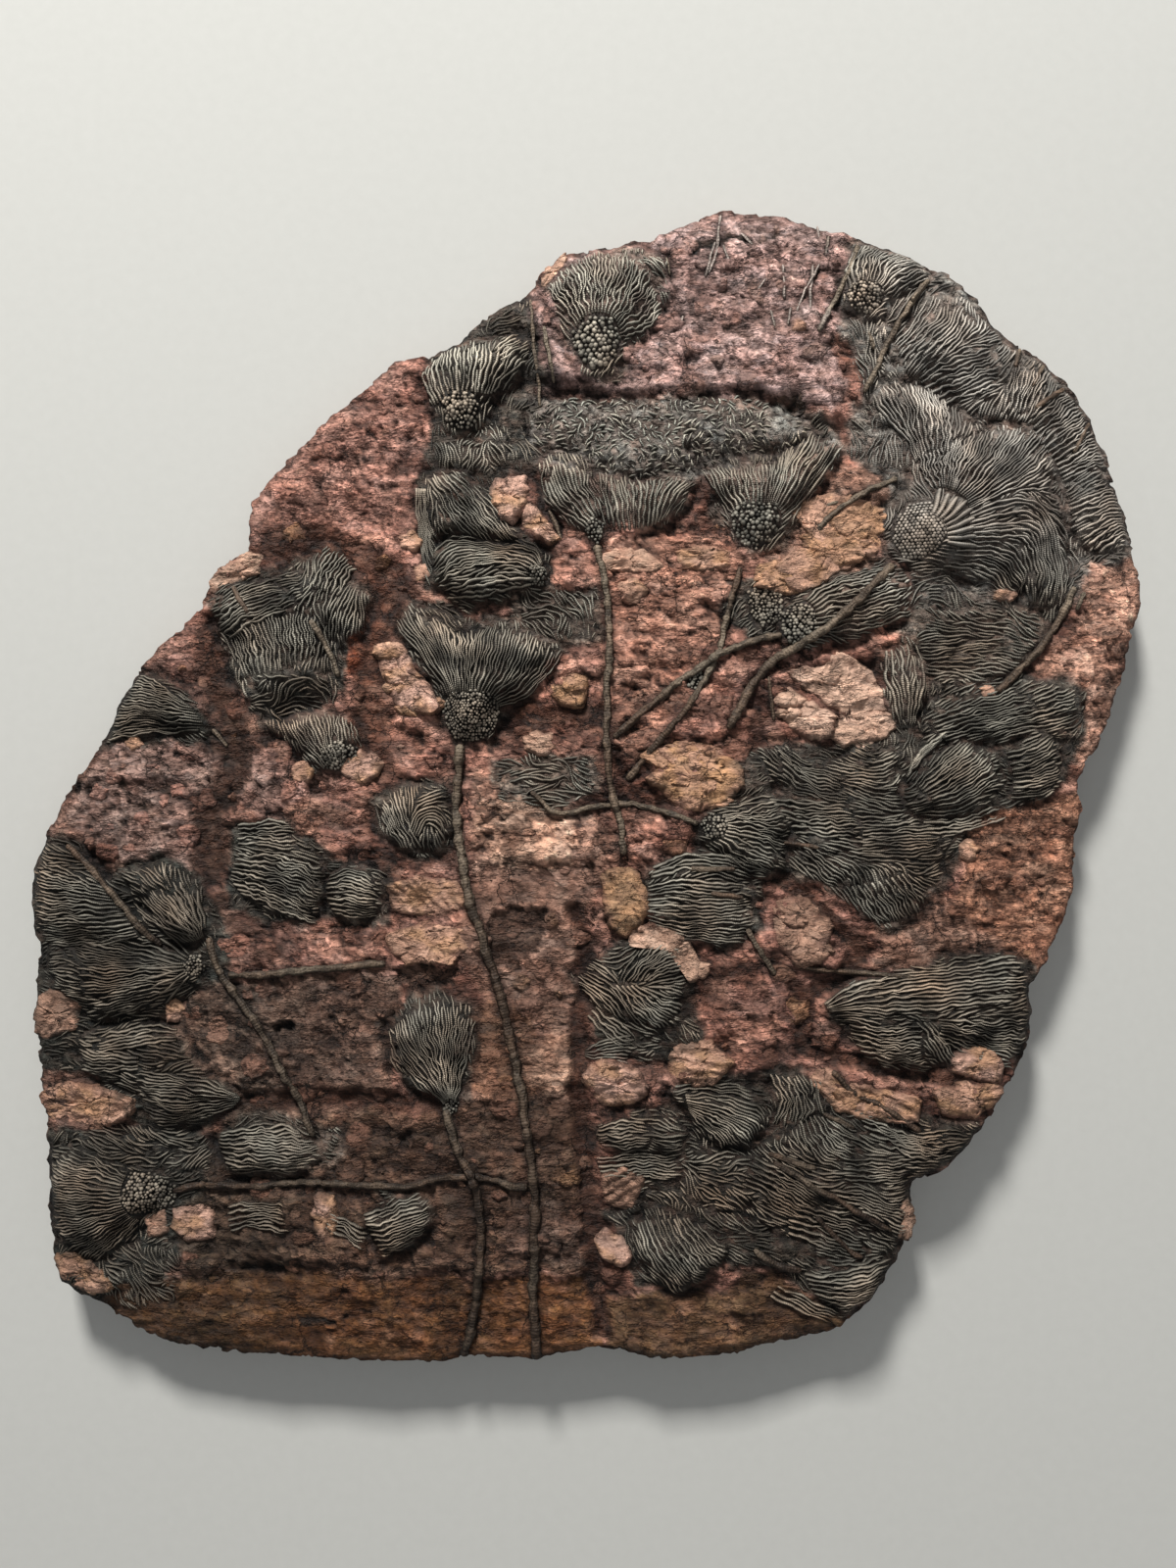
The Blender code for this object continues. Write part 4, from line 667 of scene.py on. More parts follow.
# Arms of the crowns: piece, pitch, where they fork, waviness, lift, and the lines that the arms run between.
FANS = [
    ("crown_left_main", 4.6, 0.30, 1.0, 1.0, [[(457, 710), (447, 693), (432, 672), (415, 652), (402, 634)], [(462,
     708), (456, 690), (446, 668), (432, 645), (418, 622)], [(468, 706), (466, 690), (462, 668), (456, 648), (448,
     632)], [(476, 706), (476, 685), (474, 665), (472, 645)], [(484, 705), (486, 690), (490, 670), (494, 650), (498,
     636)], [(492, 706), (500, 688), (506, 668), (510, 650), (512, 636)], [(500, 708), (514, 692), (524, 672), (529,
     655), (532, 640)], [(507, 714), (528, 702), (544, 685), (552, 668), (556, 654)], [(509, 720), (532, 712), (552,
     696), (566, 678), (574, 664)]]),
    ("crown_lying_left", 5.4, 0.30, 1.3, 0.9, [[(553, 575), (546, 562), (530, 558), (505, 556), (480, 552), (460,
     552), (445, 562), (440, 575)], [(550, 580), (540, 570), (525, 568), (503, 567), (482, 566), (464, 572), (452,
     582), (443, 588)], [(545, 584), (535, 580), (520, 577), (500, 577), (480, 582), (460, 590), (445, 598)]]),
    ("crown_lying_left", 5.4, 0.25, 1.2, 0.9, [[(548, 590), (532, 590), (505, 592), (485, 596), (465, 600), (450,
     603)], [(540, 598), (525, 603), (500, 606), (478, 610), (462, 610), (448, 609)]]),
    ("arm_mat_left_of_comb", 5.2, 0.2, 1.3, 0.9, [[(436, 490), (450, 512), (466, 534), (486, 552)], [(448, 487), (464,
     508), (482, 530), (502, 552)], [(462, 484), (484, 506), (503, 530), (524, 552)]]),
    ("arm_mat_left_of_comb", 5.0, 0.2, 1.0, 0.7, [[(424, 498), (424, 520), (428, 545), (432, 575), (440, 600)], [(434,
     500), (436, 522), (440, 540), (446, 552)]]),
    ("crown_top_left", 5.2, 0.50, 1.0, 1.0, [[(443, 412), (436, 400), (431, 390), (432, 378)], [(450, 410), (444,
     396), (440, 380), (446, 366)], [(458, 404), (455, 388), (452, 370), (452, 354)], [(468, 404), (467, 385), (466,
     368), (464, 350)], [(478, 402), (480, 385), (482, 368), (482, 350)], [(490, 402), (494, 385), (497, 368), (499,
     348)], [(498, 402), (506, 386), (515, 370), (522, 352)], [(505, 398), (518, 384), (530, 372), (540, 362)]]),
    ("crown_top_left", 5.0, 0.2, 1.0, 0.5, [[(505, 360), (515, 350), (528, 338)], [(512, 370), (526, 360), (540,
     350)]]),
    ("crown_top", 5.2, 0.34, 1.7, 1.0, [[(588, 335), (578, 320), (566, 306), (558, 290)], [(594, 328), (586, 310),
     (578, 292), (572, 274)], [(603, 324), (600, 305), (597, 285), (592, 262)], [(613, 323), (616, 305), (618, 285),
     (618, 260)], [(624, 326), (632, 308), (640, 290), (645, 264)], [(631, 334), (645, 322), (657, 308), (668, 288)],
     [(634, 345), (650, 340), (662, 330), (674, 316)]]),
    ("crown_top_right", 4.8, 0.30, 1.3, 1.0, [[(866, 300), (862, 285), (866, 268), (878, 250)], [(874, 292), (873,
     275), (880, 258), (892, 246)], [(884, 290), (887, 272), (897, 256), (908, 250)], [(893, 291), (902, 272), (918,
     260), (930, 255)], [(898, 294), (912, 278), (930, 270), (948, 266)], [(902, 300), (920, 288), (938, 280), (956,
     276)]]),
    ("crown_comb_left", 6.2, 0.35, 0.9, 1.0, [[(600, 540), (585, 528), (570, 520), (560, 505), (556, 488)], [(603,
     532), (590, 518), (578, 504), (570, 488), (566, 470)], [(608, 526), (598, 510), (590, 494), (584, 476)], [(612,
     524), (606, 508), (600, 492), (598, 472)]]),
    ("crown_comb_middle", 5.2, 0.60, 0.9, 1.0, [[(622, 532), (618, 515), (614, 498), (612, 480)], [(635, 540), (632,
     520), (628, 500), (626, 482)], [(650, 538), (650, 518), (650, 500), (648, 486)], [(665, 534), (668, 515), (672,
     500), (678, 486)], [(680, 526), (690, 510), (700, 500), (714, 490)]]),
    ("crown_comb_right", 4.7, 0.42, 0.9, 1.1, [[(748, 525), (738, 510), (728, 495), (716, 478)], [(752, 520), (744,
     505), (738, 490), (732, 474)], [(760, 515), (755, 500), (752, 488), (750, 474)], [(770, 515), (768, 500), (767,
     488), (766, 472)], [(780, 515), (782, 500), (784, 488), (785, 472)], [(790, 517), (797, 502), (802, 490), (806,
     476), (815, 460), (825, 440)], [(796, 522), (808, 508), (816, 495), (822, 482), (835, 465), (845, 445)], [(798,
     530), (812, 518), (826, 504), (838, 488), (850, 470), (864, 450)]]),
    ("crown_big_right", 4.8, 0.35, 1.2, 1.1, [[(935, 470), (925, 445), (905, 425), (890, 398)], [(940, 465), (932,
     440), (922, 415), (915, 390)], [(947, 462), (943, 438), (938, 412), (935, 386)], [(955, 462), (955, 438), (953,
     415), (950, 393)], [(963, 465), (966, 445), (966, 425), (962, 403)]]),
    ("crown_big_right", 4.7, 0.30, 1.0, 1.2, [[(950, 500), (940, 480), (938, 462)], [(958, 498), (955, 478), (957,
     458)], [(965, 500), (968, 480), (975, 462), (985, 445)], [(970, 503), (982, 482), (996, 462), (1010, 438)],
     [(976, 508), (995, 487), (1015, 462), (1035, 438)], [(982, 512), (1005, 494), (1032, 466), (1058, 440)], [(984,
     518), (1012, 500), (1042, 478), (1068, 450)], [(986, 523), (1015, 510), (1048, 492), (1077, 468)]]),
    ("crown_big_right", 4.6, 0.30, 0.9, 1.1, [[(985, 528), (1015, 516), (1045, 515), (1068, 528), (1080, 555), (1085,
     590), (1082, 622)], [(985, 535), (1015, 526), (1042, 523), (1060, 535), (1070, 560), (1077, 590), (1077, 620)],
     [(988, 543), (1015, 540), (1040, 538), (1055, 548), (1062, 570), (1069, 590), (1069, 617)], [(990, 552), (1015,
     552), (1035, 553), (1048, 565), (1055, 585), (1059, 604)]]),
    ("crown_big_right", 4.6, 0.30, 0.9, 1.0, [[(975, 560), (1005, 560), (1030, 568), (1045, 585), (1040, 604)], [(970,
     572), (1000, 575), (1020, 582), (1030, 596), (1050, 606)], [(962, 578), (990, 582), (1010, 590), (1022, 602),
     (1040, 612)]]),
    ("arm_mat_upper_right", 4.8, 0.25, 1.3, 1.0, [[(1052, 425), (1070, 408), (1090, 394)], [(1058, 445), (1082, 425),
     (1107, 406)], [(1068, 460), (1092, 442), (1118, 424)], [(1080, 475), (1100, 462), (1131, 446)], [(1086, 490),
     (1108, 480), (1138, 470)]]),
    ("arm_mat_upper_right", 5.0, 0.2, 1.0, 0.7, [[(925, 352), (940, 340), (955, 325), (964, 308)], [(940, 362), (958,
     346), (972, 330), (980, 312)], [(956, 372), (974, 356), (988, 338), (996, 320)]]),
    ("arm_mat_upper_right", 5.4, 0.2, 1.6, 0.7, [[(940, 384), (960, 372), (984, 366), (1010, 352)], [(948, 400), (970,
     390), (992, 384), (1018, 372)], [(962, 414), (984, 406), (1004, 398), (1026, 390)]]),
    ("arm_mat_upper_right", 5.0, 0.2, 1.2, 0.8, [[(1022, 418), (1026, 400), (1030, 384), (1034, 366)], [(1036, 420),
     (1040, 402), (1046, 386), (1052, 372)], [(1050, 418), (1058, 400), (1066, 388), (1076, 376)]]),
    ("crown_edge_right", 4.9, 0.25, 1.0, 1.0, [[(1092, 515), (1110, 508), (1128, 500), (1146, 500)], [(1098, 530),
     (1118, 522), (1138, 515), (1153, 512)], [(1105, 548), (1125, 535), (1142, 527), (1158, 528)], [(1125, 562),
     (1140, 550), (1150, 545), (1163, 548)]]),
    ("crown_beaded_middle", 4.9, 0.30, 1.4, 1.0, [[(822, 612), (835, 600), (855, 590), (880, 582), (905, 576)], [(828,
     618), (848, 605), (868, 600), (890, 596), (917, 588)], [(832, 625), (850, 618), (872, 614), (895, 608), (924,
     598)], [(832, 635), (852, 632), (875, 628), (900, 622), (928, 611)], [(830, 645), (855, 645), (880, 642), (905,
     636), (932, 625)]]),
    ("crown_fan_red", 5.0, 0.2, 0.8, 0.9, [[(905, 665), (905, 690), (912, 712), (920, 740)], [(912, 664), (914, 690),
     (920, 715), (925, 741)], [(920, 665), (922, 690), (926, 715), (928, 741)], [(930, 668), (932, 692), (932, 716),
     (931, 741)], [(942, 678), (942, 698), (938, 720), (934, 741)]]),
    ("crown_right_branching", 4.4, 0.25, 0.9, 0.9, [[(938, 800), (950, 785), (965, 772), (982, 756)], [(942, 808),
     (960, 795), (980, 780), (1004, 763)], [(950, 815), (970, 808), (990, 795), (1012, 780)], [(955, 825), (978, 820),
     (1000, 808), (1022, 796)]]),
    ("crown_right_branching", 5.2, 0.25, 1.5, 0.8, [[(934, 776), (944, 764), (958, 752), (972, 744)], [(928, 792),
     (936, 780), (944, 772), (952, 764)]]),
    ("crown_right_branching", 5.0, 0.2, 1.3, 0.8, [[(944, 838), (966, 838), (990, 834), (1020, 822)], [(950, 850),
     (972, 850), (998, 844), (1030, 832)]]),
    ("crown_right_rim", 4.6, 0.2, 0.8, 0.9, [[(1030, 768), (1050, 762), (1074, 748)], [(1036, 785), (1056, 778),
     (1080, 764)], [(1038, 798), (1060, 794), (1084, 785)], [(1034, 814), (1056, 812), (1084, 804)]]),
    ("crown_middle_right", 4.8, 0.30, 1.6, 1.1, [[(738, 832), (755, 828), (775, 822), (803, 813)], [(742, 838), (760,
     836), (780, 838), (804, 840)], [(742, 846), (760, 850), (780, 856), (804, 863)], [(736, 855), (752, 864), (770,
     872), (794, 882)], [(725, 860), (742, 875), (762, 885), (786, 895)]]),
    ("arm_mat_middle_right", 5.0, 0.25, 1.3, 0.9, [[(793, 762), (810, 776), (834, 786), (862, 790)], [(798, 774),
     (816, 790), (842, 800), (866, 806)], [(800, 790), (818, 804), (846, 816), (868, 822)]]),
    ("arm_mat_middle_right", 4.6, 0.25, 0.9, 0.9, [[(880, 848), (905, 846), (935, 844), (962, 842)], [(880, 860),
     (905, 858), (935, 858), (960, 856)], [(878, 872), (905, 874), (935, 872), (960, 866)]]),
    ("arm_mat_middle_right", 5.0, 0.25, 1.3, 0.9, [[(868, 905), (880, 925), (898, 946)], [(884, 902), (898, 922),
     (914, 944)], [(902, 898), (916, 918), (930, 938)], [(920, 892), (934, 910), (946, 926)]]),
    ("arm_mat_middle_right", 5.0, 0.2, 1.3, 0.8, [[(786, 816), (810, 818), (840, 822), (870, 824)], [(800, 832), (826,
     836), (850, 838), (876, 838)], [(812, 850), (834, 852), (856, 852), (874, 852)]]),
    ("arm_mat_middle_right", 5.0, 0.2, 1.3, 0.8, [[(820, 862), (836, 872), (850, 884), (866, 898)], [(812, 876), (828,
     888), (842, 898), (856, 908)]]),
    ("crown_swept_middle", 4.8, 0.25, 0.9, 0.9, [[(663, 905), (690, 898), (720, 900), (762, 905)], [(662, 920), (690,
     918), (725, 922), (768, 920)], [(662, 935), (690, 940), (725, 940), (770, 938)], [(668, 948), (700, 955), (730,
     960), (762, 962)]]),
    ("crown_swept_middle", 5.2, 0.25, 0.9, 0.9, [[(668, 884), (700, 872), (740, 874), (766, 884)], [(666, 895), (700,
     886), (740, 888), (768, 896)]]),
    ("crown_curled_middle", 5.0, 0.25, 1.2, 1.0, [[(640, 1000), (650, 985), (662, 972), (675, 958)], [(650, 1000),
     (662, 988), (678, 978), (694, 972)], [(662, 1000), (675, 992), (690, 990), (700, 988)]]),
    ("crown_curled_middle", 5.0, 0.25, 1.2, 1.0, [[(628, 1005), (640, 1020), (655, 1035), (672, 1052)], [(640, 1006),
     (654, 1020), (670, 1032), (688, 1044)], [(650, 1005), (665, 1014), (682, 1022), (700, 1030)]]),
    ("crown_curled_middle", 5.0, 0.25, 1.2, 0.9, [[(610, 1028), (624, 1040), (640, 1052), (652, 1064)], [(600, 1040),
     (616, 1054), (632, 1066), (646, 1074)]]),
    ("crown_leaf_middle", 5.2, 0.2, 0.8, 0.9, [[(598, 1073), (614, 1064), (630, 1060), (648, 1058)], [(598, 1076),
     (616, 1072), (632, 1070), (650, 1070)], [(598, 1080), (616, 1082), (630, 1082), (642, 1088)]]),
    ("crown_swept_lower", 4.7, 0.30, 0.9, 1.0, [[(700, 1118), (725, 1118), (750, 1122), (775, 1132), (784, 1150)],
     [(702, 1125), (722, 1128), (745, 1136), (765, 1146), (774, 1162)], [(704, 1132), (720, 1138), (738, 1148), (752,
     1158), (760, 1170)], [(706, 1138), (716, 1148), (727, 1158), (735, 1168), (740, 1176)]]),
    ("crown_swept_lower", 5.0, 0.30, 0.9, 0.9, [[(690, 1108), (716, 1106), (744, 1108), (770, 1114)], [(688, 1116),
     (714, 1113), (744, 1116), (776, 1124)]]),
    ("crown_ringed_lower", 4.8, 0.2, 1.1, 1.0, [[(612, 1152), (630, 1146), (645, 1144), (662, 1148)], [(610, 1160),
     (630, 1158), (648, 1157), (666, 1158)], [(616, 1170), (635, 1172), (650, 1171), (664, 1168)]]),
    ("crown_ringed_lower", 4.8, 0.2, 1.1, 0.8, [[(610, 1184), (636, 1180), (664, 1180), (698, 1182)], [(612, 1194),
     (640, 1192), (668, 1192), (700, 1196)], [(616, 1204), (642, 1203), (668, 1204), (694, 1208)]]),
    ("crown_domed_bottom", 4.8, 0.35, 1.0, 1.1, [[(652, 1252), (660, 1275), (673, 1298), (693, 1318)], [(662, 1248),
     (674, 1272), (690, 1294), (706, 1312)], [(674, 1246), (688, 1270), (702, 1288), (718, 1304)], [(688, 1246), (700,
     1266), (714, 1282), (730, 1296)], [(702, 1246), (716, 1260), (730, 1272), (744, 1282)]]),
    ("arm_mat_lower_right", 4.9, 0.25, 1.2, 1.0, [[(816, 1145), (824, 1165), (838, 1184), (862, 1194)], [(828, 1140),
     (838, 1160), (852, 1174), (872, 1182)], [(840, 1142), (852, 1156), (866, 1166), (884, 1174)]]),
    ("arm_mat_lower_right", 4.8, 0.25, 1.0, 0.9, [[(862, 1182), (884, 1182), (906, 1183), (934, 1182)], [(860, 1192),
     (882, 1193), (904, 1194), (930, 1194)], [(862, 1202), (880, 1203), (898, 1203), (922, 1204)]]),
    ("arm_mat_lower_right", 5.0, 0.25, 1.4, 0.9, [[(786, 1098), (796, 1116), (796, 1134), (790, 1152)], [(800, 1100),
     (810, 1118), (812, 1134), (806, 1152)], [(816, 1104), (824, 1120), (828, 1132), (824, 1144)]]),
    ("arm_mat_lower_right", 5.0, 0.25, 1.2, 0.9, [[(772, 1182), (796, 1192), (820, 1204), (842, 1218)], [(766, 1196),
     (788, 1206), (812, 1220), (834, 1234)], [(758, 1210), (778, 1220), (800, 1234), (820, 1248)]]),
    ("arm_mat_lower_right", 5.0, 0.25, 1.4, 0.9, [[(880, 1140), (904, 1150), (930, 1156), (962, 1160)], [(884, 1152),
     (908, 1160), (934, 1168), (968, 1172)], [(900, 1170), (924, 1176), (946, 1182), (970, 1182)]]),
    ("arm_mat_lower_right", 5.0, 0.25, 1.2, 0.9, [[(812, 1228), (840, 1236), (868, 1246), (900, 1254)], [(806, 1244),
     (836, 1252), (864, 1262), (892, 1270)], [(806, 1262), (832, 1270), (858, 1278), (884, 1284)]]),
    ("arm_mat_lower_right", 5.0, 0.2, 1.0, 0.9, [[(846, 1212), (872, 1214), (898, 1222), (926, 1232)], [(850, 1224),
     (874, 1228), (898, 1238), (924, 1248)]]),
    ("crown_bottom_right", 4.8, 0.25, 1.0, 0.9, [[(822, 1300), (850, 1299), (880, 1294), (912, 1288)], [(828, 1314),
     (855, 1316), (880, 1313), (908, 1306)], [(838, 1328), (862, 1332), (884, 1328), (898, 1320)]]),
    ("crown_bottom_right", 5.0, 0.2, 1.0, 0.9, [[(796, 1314), (816, 1324), (838, 1334), (858, 1344)], [(788, 1326),
     (808, 1336), (830, 1346), (850, 1354)]]),
    ("crown_long_right", 5.2, 0.25, 0.9, 1.2, [[(842, 1024), (865, 1008), (895, 1000), (930, 993), (965, 990), (1000,
     984), (1030, 978), (1052, 978)], [(845, 1028), (870, 1018), (905, 1010), (945, 1004), (985, 1000), (1020, 997),
     (1053, 998)], [(848, 1032), (880, 1028), (915, 1028), (950, 1028), (985, 1022), (1020, 1020), (1055, 1022)]]),
    ("crown_long_right", 4.6, 0.25, 1.5, 1.0, [[(955, 1038), (985, 1040), (1015, 1040), (1052, 1040)], [(958, 1048),
     (985, 1055), (1015, 1062), (1048, 1066)], [(952, 1060), (978, 1072), (1006, 1082), (1036, 1092)]]),
    ("crown_long_right", 4.6, 0.25, 1.5, 1.0, [[(868, 1045), (890, 1048), (920, 1046), (945, 1044)], [(872, 1060),
     (895, 1064), (918, 1066), (942, 1064)], [(886, 1082), (905, 1084), (925, 1086), (948, 1084)]]),
    ("crown_long_right", 4.4, 0.2, 1.2, 0.8, [[(932, 1042), (944, 1056), (956, 1072), (966, 1090)], [(946, 1042),
     (958, 1056), (968, 1070), (978, 1086)]]),
    ("crown_lower_middle", 4.6, 0.35, 1.2, 1.0, [[(452, 1128), (438, 1112), (420, 1097), (402, 1077), (394, 1055)],
     [(455, 1124), (445, 1100), (432, 1080), (419, 1060), (411, 1036)], [(458, 1120), (452, 1095), (446, 1075), (439,
     1050), (434, 1023)], [(461, 1120), (460, 1098), (459, 1078), (460, 1055), (458, 1020)], [(464, 1124), (470,
     1105), (475, 1085), (480, 1065), (484, 1042)]]),
    ("crown_left_upper", 4.6, 0.30, 1.3, 1.0, [[(250, 690), (242, 672), (236, 655), (228, 643)], [(262, 690), (256,
     670), (252, 652), (247, 638)], [(275, 688), (272, 668), (266, 650), (261, 634)], [(288, 685), (285, 665), (280,
     648), (276, 628)], [(300, 680), (298, 662), (295, 648), (292, 626)], [(312, 675), (312, 660), (310, 645), (309,
     626)], [(322, 668), (323, 655), (323, 642), (322, 628)]]),
    ("crown_left_upper", 5.0, 0.2, 1.6, 1.0, [[(322, 600), (324, 586), (330, 572), (338, 558)], [(334, 604), (338,
     588), (344, 576), (352, 566)], [(346, 608), (352, 594), (356, 584), (362, 576)]]),
    ("crown_left_upper", 5.2, 0.2, 1.2, 0.7, [[(226, 622), (246, 610), (266, 602), (288, 596)], [(224, 640), (248,
     626), (272, 616), (300, 608)], [(236, 652), (258, 640), (282, 628), (306, 620)]]),
    ("crown_left_small", 4.8, 0.30, 1.3, 1.0, [[(328, 782), (313, 768), (302, 754), (294, 738)], [(335, 780), (325,
     764), (316, 748), (309, 730)], [(342, 777), (338, 760), (332, 744), (326, 728)], [(350, 778), (351, 760), (349,
     745), (344, 728)]]),
    ("crown_left_rim_upper", 4.4, 0.25, 1.2, 1.0, [[(185, 715), (165, 700), (145, 690), (130, 688)], [(195, 722),
     (170, 712), (145, 705), (120, 702)], [(200, 730), (172, 725), (145, 720), (113, 722)], [(205, 738), (175, 738),
     (145, 735), (106, 742)], [(200, 745), (175, 747), (150, 748), (120, 752), (100, 758)]]),
    ("crown_left_wavy", 4.6, 0.25, 1.7, 1.0, [[(245, 870), (275, 872), (305, 880), (332, 890)], [(238, 885), (268,
     888), (298, 896), (327, 910)], [(235, 898), (262, 904), (290, 915), (320, 932)], [(245, 912), (270, 920), (295,
     932), (322, 946)]]),
    ("crown_left_wavy", 4.6, 0.25, 1.4, 0.9, [[(243, 842), (268, 838), (298, 840)], [(243, 852), (270, 850), (302,
     852)], [(244, 862), (272, 862), (304, 866)]]),
    ("crown_left_oval", 4.5, 0.2, 1.0, 1.0, [[(335, 895), (350, 888), (365, 890), (382, 898)], [(332, 908), (350,
     905), (368, 908), (387, 915)], [(334, 920), (350, 920), (368, 922), (386, 926)], [(340, 932), (355, 935), (370,
     937), (384, 933)]]),
    ("crown_arched_left", 4.7, 0.25, 1.1, 1.0, [[(408, 864), (397, 847), (387, 832)], [(418, 864), (408, 844), (399,
     824), (392, 810)], [(430, 864), (420, 844), (413, 824), (411, 806)]]),
    ("crown_arched_left", 4.7, 0.0, 0.6, 1.0, [[(417, 850), (424, 832), (440, 823), (453, 831), (460, 848)], [(427,
     852), (433, 840), (442, 836), (449, 842), (452, 854)]]),
    ("crown_left_rim", 4.5, 0.25, 1.0, 1.0, [[(105, 905), (85, 895), (62, 885), (40, 878)], [(115, 920), (88, 915),
     (60, 912), (34, 910)], [(125, 932), (95, 932), (62, 930), (34, 930)], [(135, 945), (100, 948), (65, 948), (34,
     948)], [(140, 955), (110, 962), (75, 965), (44, 964)]]),
    ("crown_left_twin_upper", 4.6, 0.30, 1.0, 1.0, [[(206, 955), (205, 935), (200, 918), (190, 898)], [(200, 958),
     (192, 940), (180, 922), (164, 903)], [(194, 960), (180, 945), (165, 930), (146, 913)], [(185, 962), (168, 950),
     (150, 938), (132, 924)]]),
    ("crown_left_twin_lower", 4.4, 0.30, 0.9, 1.1, [[(185, 978), (165, 970), (140, 962), (110, 955), (78, 948)],
     [(183, 984), (160, 978), (135, 975), (105, 968), (72, 962)], [(183, 992), (160, 990), (135, 992), (110, 995),
     (82, 990)], [(188, 1000), (165, 1003), (140, 1006), (115, 1012), (86, 1015)], [(192, 1006), (170, 1016), (145,
     1024), (120, 1030), (92, 1036)]]),
    ("crown_left_flat", 4.6, 0.25, 1.0, 1.0, [[(240, 1118), (220, 1108), (195, 1100), (165, 1095), (138, 1092)],
     [(242, 1122), (218, 1118), (190, 1112), (160, 1110), (136, 1108)], [(240, 1126), (215, 1130), (190, 1132), (165,
     1130), (143, 1125)], [(235, 1132), (212, 1138), (190, 1142), (165, 1144), (146, 1140)]]),
    ("crown_left_flat", 4.8, 0.2, 1.0, 0.9, [[(178, 1052), (150, 1048), (125, 1052), (100, 1058)], [(178, 1062), (148,
     1064), (122, 1070), (96, 1072)]]),
    ("crown_left_flat", 4.8, 0.2, 1.0, 0.8, [[(142, 1078), (110, 1074), (78, 1070)], [(142, 1090), (110, 1092), (76,
     1094)]]),
    ("crown_left_lower_fan", 4.4, 0.30, 0.9, 1.1, [[(128, 1200), (110, 1190), (90, 1180), (68, 1172)], [(126, 1208),
     (105, 1202), (80, 1198), (48, 1195)], [(126, 1216), (102, 1214), (78, 1212), (45, 1215)], [(127, 1224), (102,
     1226), (75, 1228), (45, 1232)], [(130, 1232), (108, 1238), (80, 1245), (48, 1252)], [(134, 1240), (115, 1252),
     (92, 1265), (66, 1280)], [(140, 1246), (125, 1262), (108, 1278), (93, 1288)]]),
    ("crown_small_arched", 4.8, 0.2, 1.2, 0.9, [[(225, 1158), (255, 1152), (285, 1150), (312, 1158)], [(222, 1172),
     (255, 1170), (290, 1172), (328, 1175)], [(230, 1188), (260, 1190), (290, 1192), (322, 1190)]]),
    ("crown_small_low", 4.8, 0.2, 1.2, 0.9, [[(232, 1232), (250, 1228), (270, 1228), (292, 1232)], [(232, 1245), (250,
     1240), (272, 1240), (294, 1246)], [(236, 1258), (255, 1254), (276, 1256), (294, 1262)]]),
    ("crown_lower_wavy", 4.6, 0.25, 1.2, 1.0, [[(372, 1240), (390, 1235), (410, 1225), (432, 1220)], [(375, 1252),
     (392, 1248), (412, 1238), (438, 1232)], [(380, 1264), (398, 1258), (416, 1250), (440, 1244)], [(388, 1275), (402,
     1270), (418, 1262), (434, 1258)]]),
    ("crown_lower_wavy", 4.8, 0.2, 1.4, 0.8, [[(336, 1238), (350, 1244), (366, 1252), (378, 1264)], [(330, 1252),
     (344, 1258), (358, 1266), (372, 1276)]]),
    ("arm_mat_right", 4.8, 0.25, 1.1, 0.9, [[(952, 732), (985, 718), (1015, 710), (1042, 700)], [(956, 745), (990,
     734), (1024, 726), (1056, 718)], [(968, 756), (1000, 747), (1036, 740), (1078, 730)]]),
    ("arm_mat_right", 5.0, 0.25, 1.0, 0.9, [[(1056, 716), (1072, 710), (1086, 704), (1098, 700)], [(1062, 730), (1078,
     726), (1090, 722), (1100, 720)]]),
]


# ------------------------------------------------------------------ surface finish of the stone
def facets(x, y, seed):
    """Chiselled facets: small tilted flats, each with its own level."""
    fx, fy = np.floor(x), np.floor(y)
    ix, iy = fx.astype(np.int64), fy.astype(np.int64)
    best = np.full(x.shape, 9.0)
    level = np.zeros(x.shape)
    for ox in (-1, 0, 1):
        for oy in (-1, 0, 1):
            h = hash2(ix + ox, iy + oy, seed)
            g = hash2(ix + ox, iy + oy, seed + 101)
            dx = x - (fx + ox + 0.5 + 0.9 * (h / 4294967296.0 - 0.5))
            dy = y - (fy + oy + 0.5 + 0.9 * (g / 4294967296.0 - 0.5))
            d = dx * dx + dy * dy
            tilt = (((h >> 8) & 255) / 127.5 - 1) * dx + (((g >> 8) & 255) / 127.5 - 1) * dy
            near = d < best
            best = np.where(near, d, best)
            level = np.where(near, 0.7 * ((h & 255) / 127.5 - 1) + 1.1 * tilt, level)
    return level


def terrace(q, soft):
    """Level steps with short steep risers, as on stone that flakes off in sheets."""
    base = np.floor(q)
    return base + ease((q - base) / soft)


WX, WY = GX + WARP_X, GY + WARP_Y
FACET_L = facets(WX / 30, WY / 22, 31)
FACET_S = facets(WX / 13, WY / 10, 37)
FACET_T = box_blur(facets(GX / 7.5 + 0.15 * WARP_X, GY / 6.0 + 0.15 * WARP_Y, 38), 1, 1)
RIDGE = ridged(WX / 30, WY / 24, 3, 41)
RIDGE_H = ridged(WX / 30, WY / 11, 3, 43)
CLOUD = fbm(GX / 40, GY / 40, 4, 47)
CLOUD_S = fbm(GX / 8, GY / 8, 2, 53)
PIT_D, PIT_E, PIT_ID = cells(WX / 9.5, WY / 8.5, 59)
PIT = ease((0.40 - PIT_D) / 0.22) * (PIT_ID > 0.62)
LUMP = ease((PIT_E - PIT_D) / 0.5)
BEDDING = perlin(GX / 75 + 3, GY / 8.0 + 0.6 * CLOUD, 61) + 0.5 * perlin(GX / 26, GY / 4.4, 62)
FLAKE = terrace(4.4 * fbm(WX / 74, WY / 36, 4, 63, 0.46) + 0.35 * FACET_L, 0.13) - 0.5
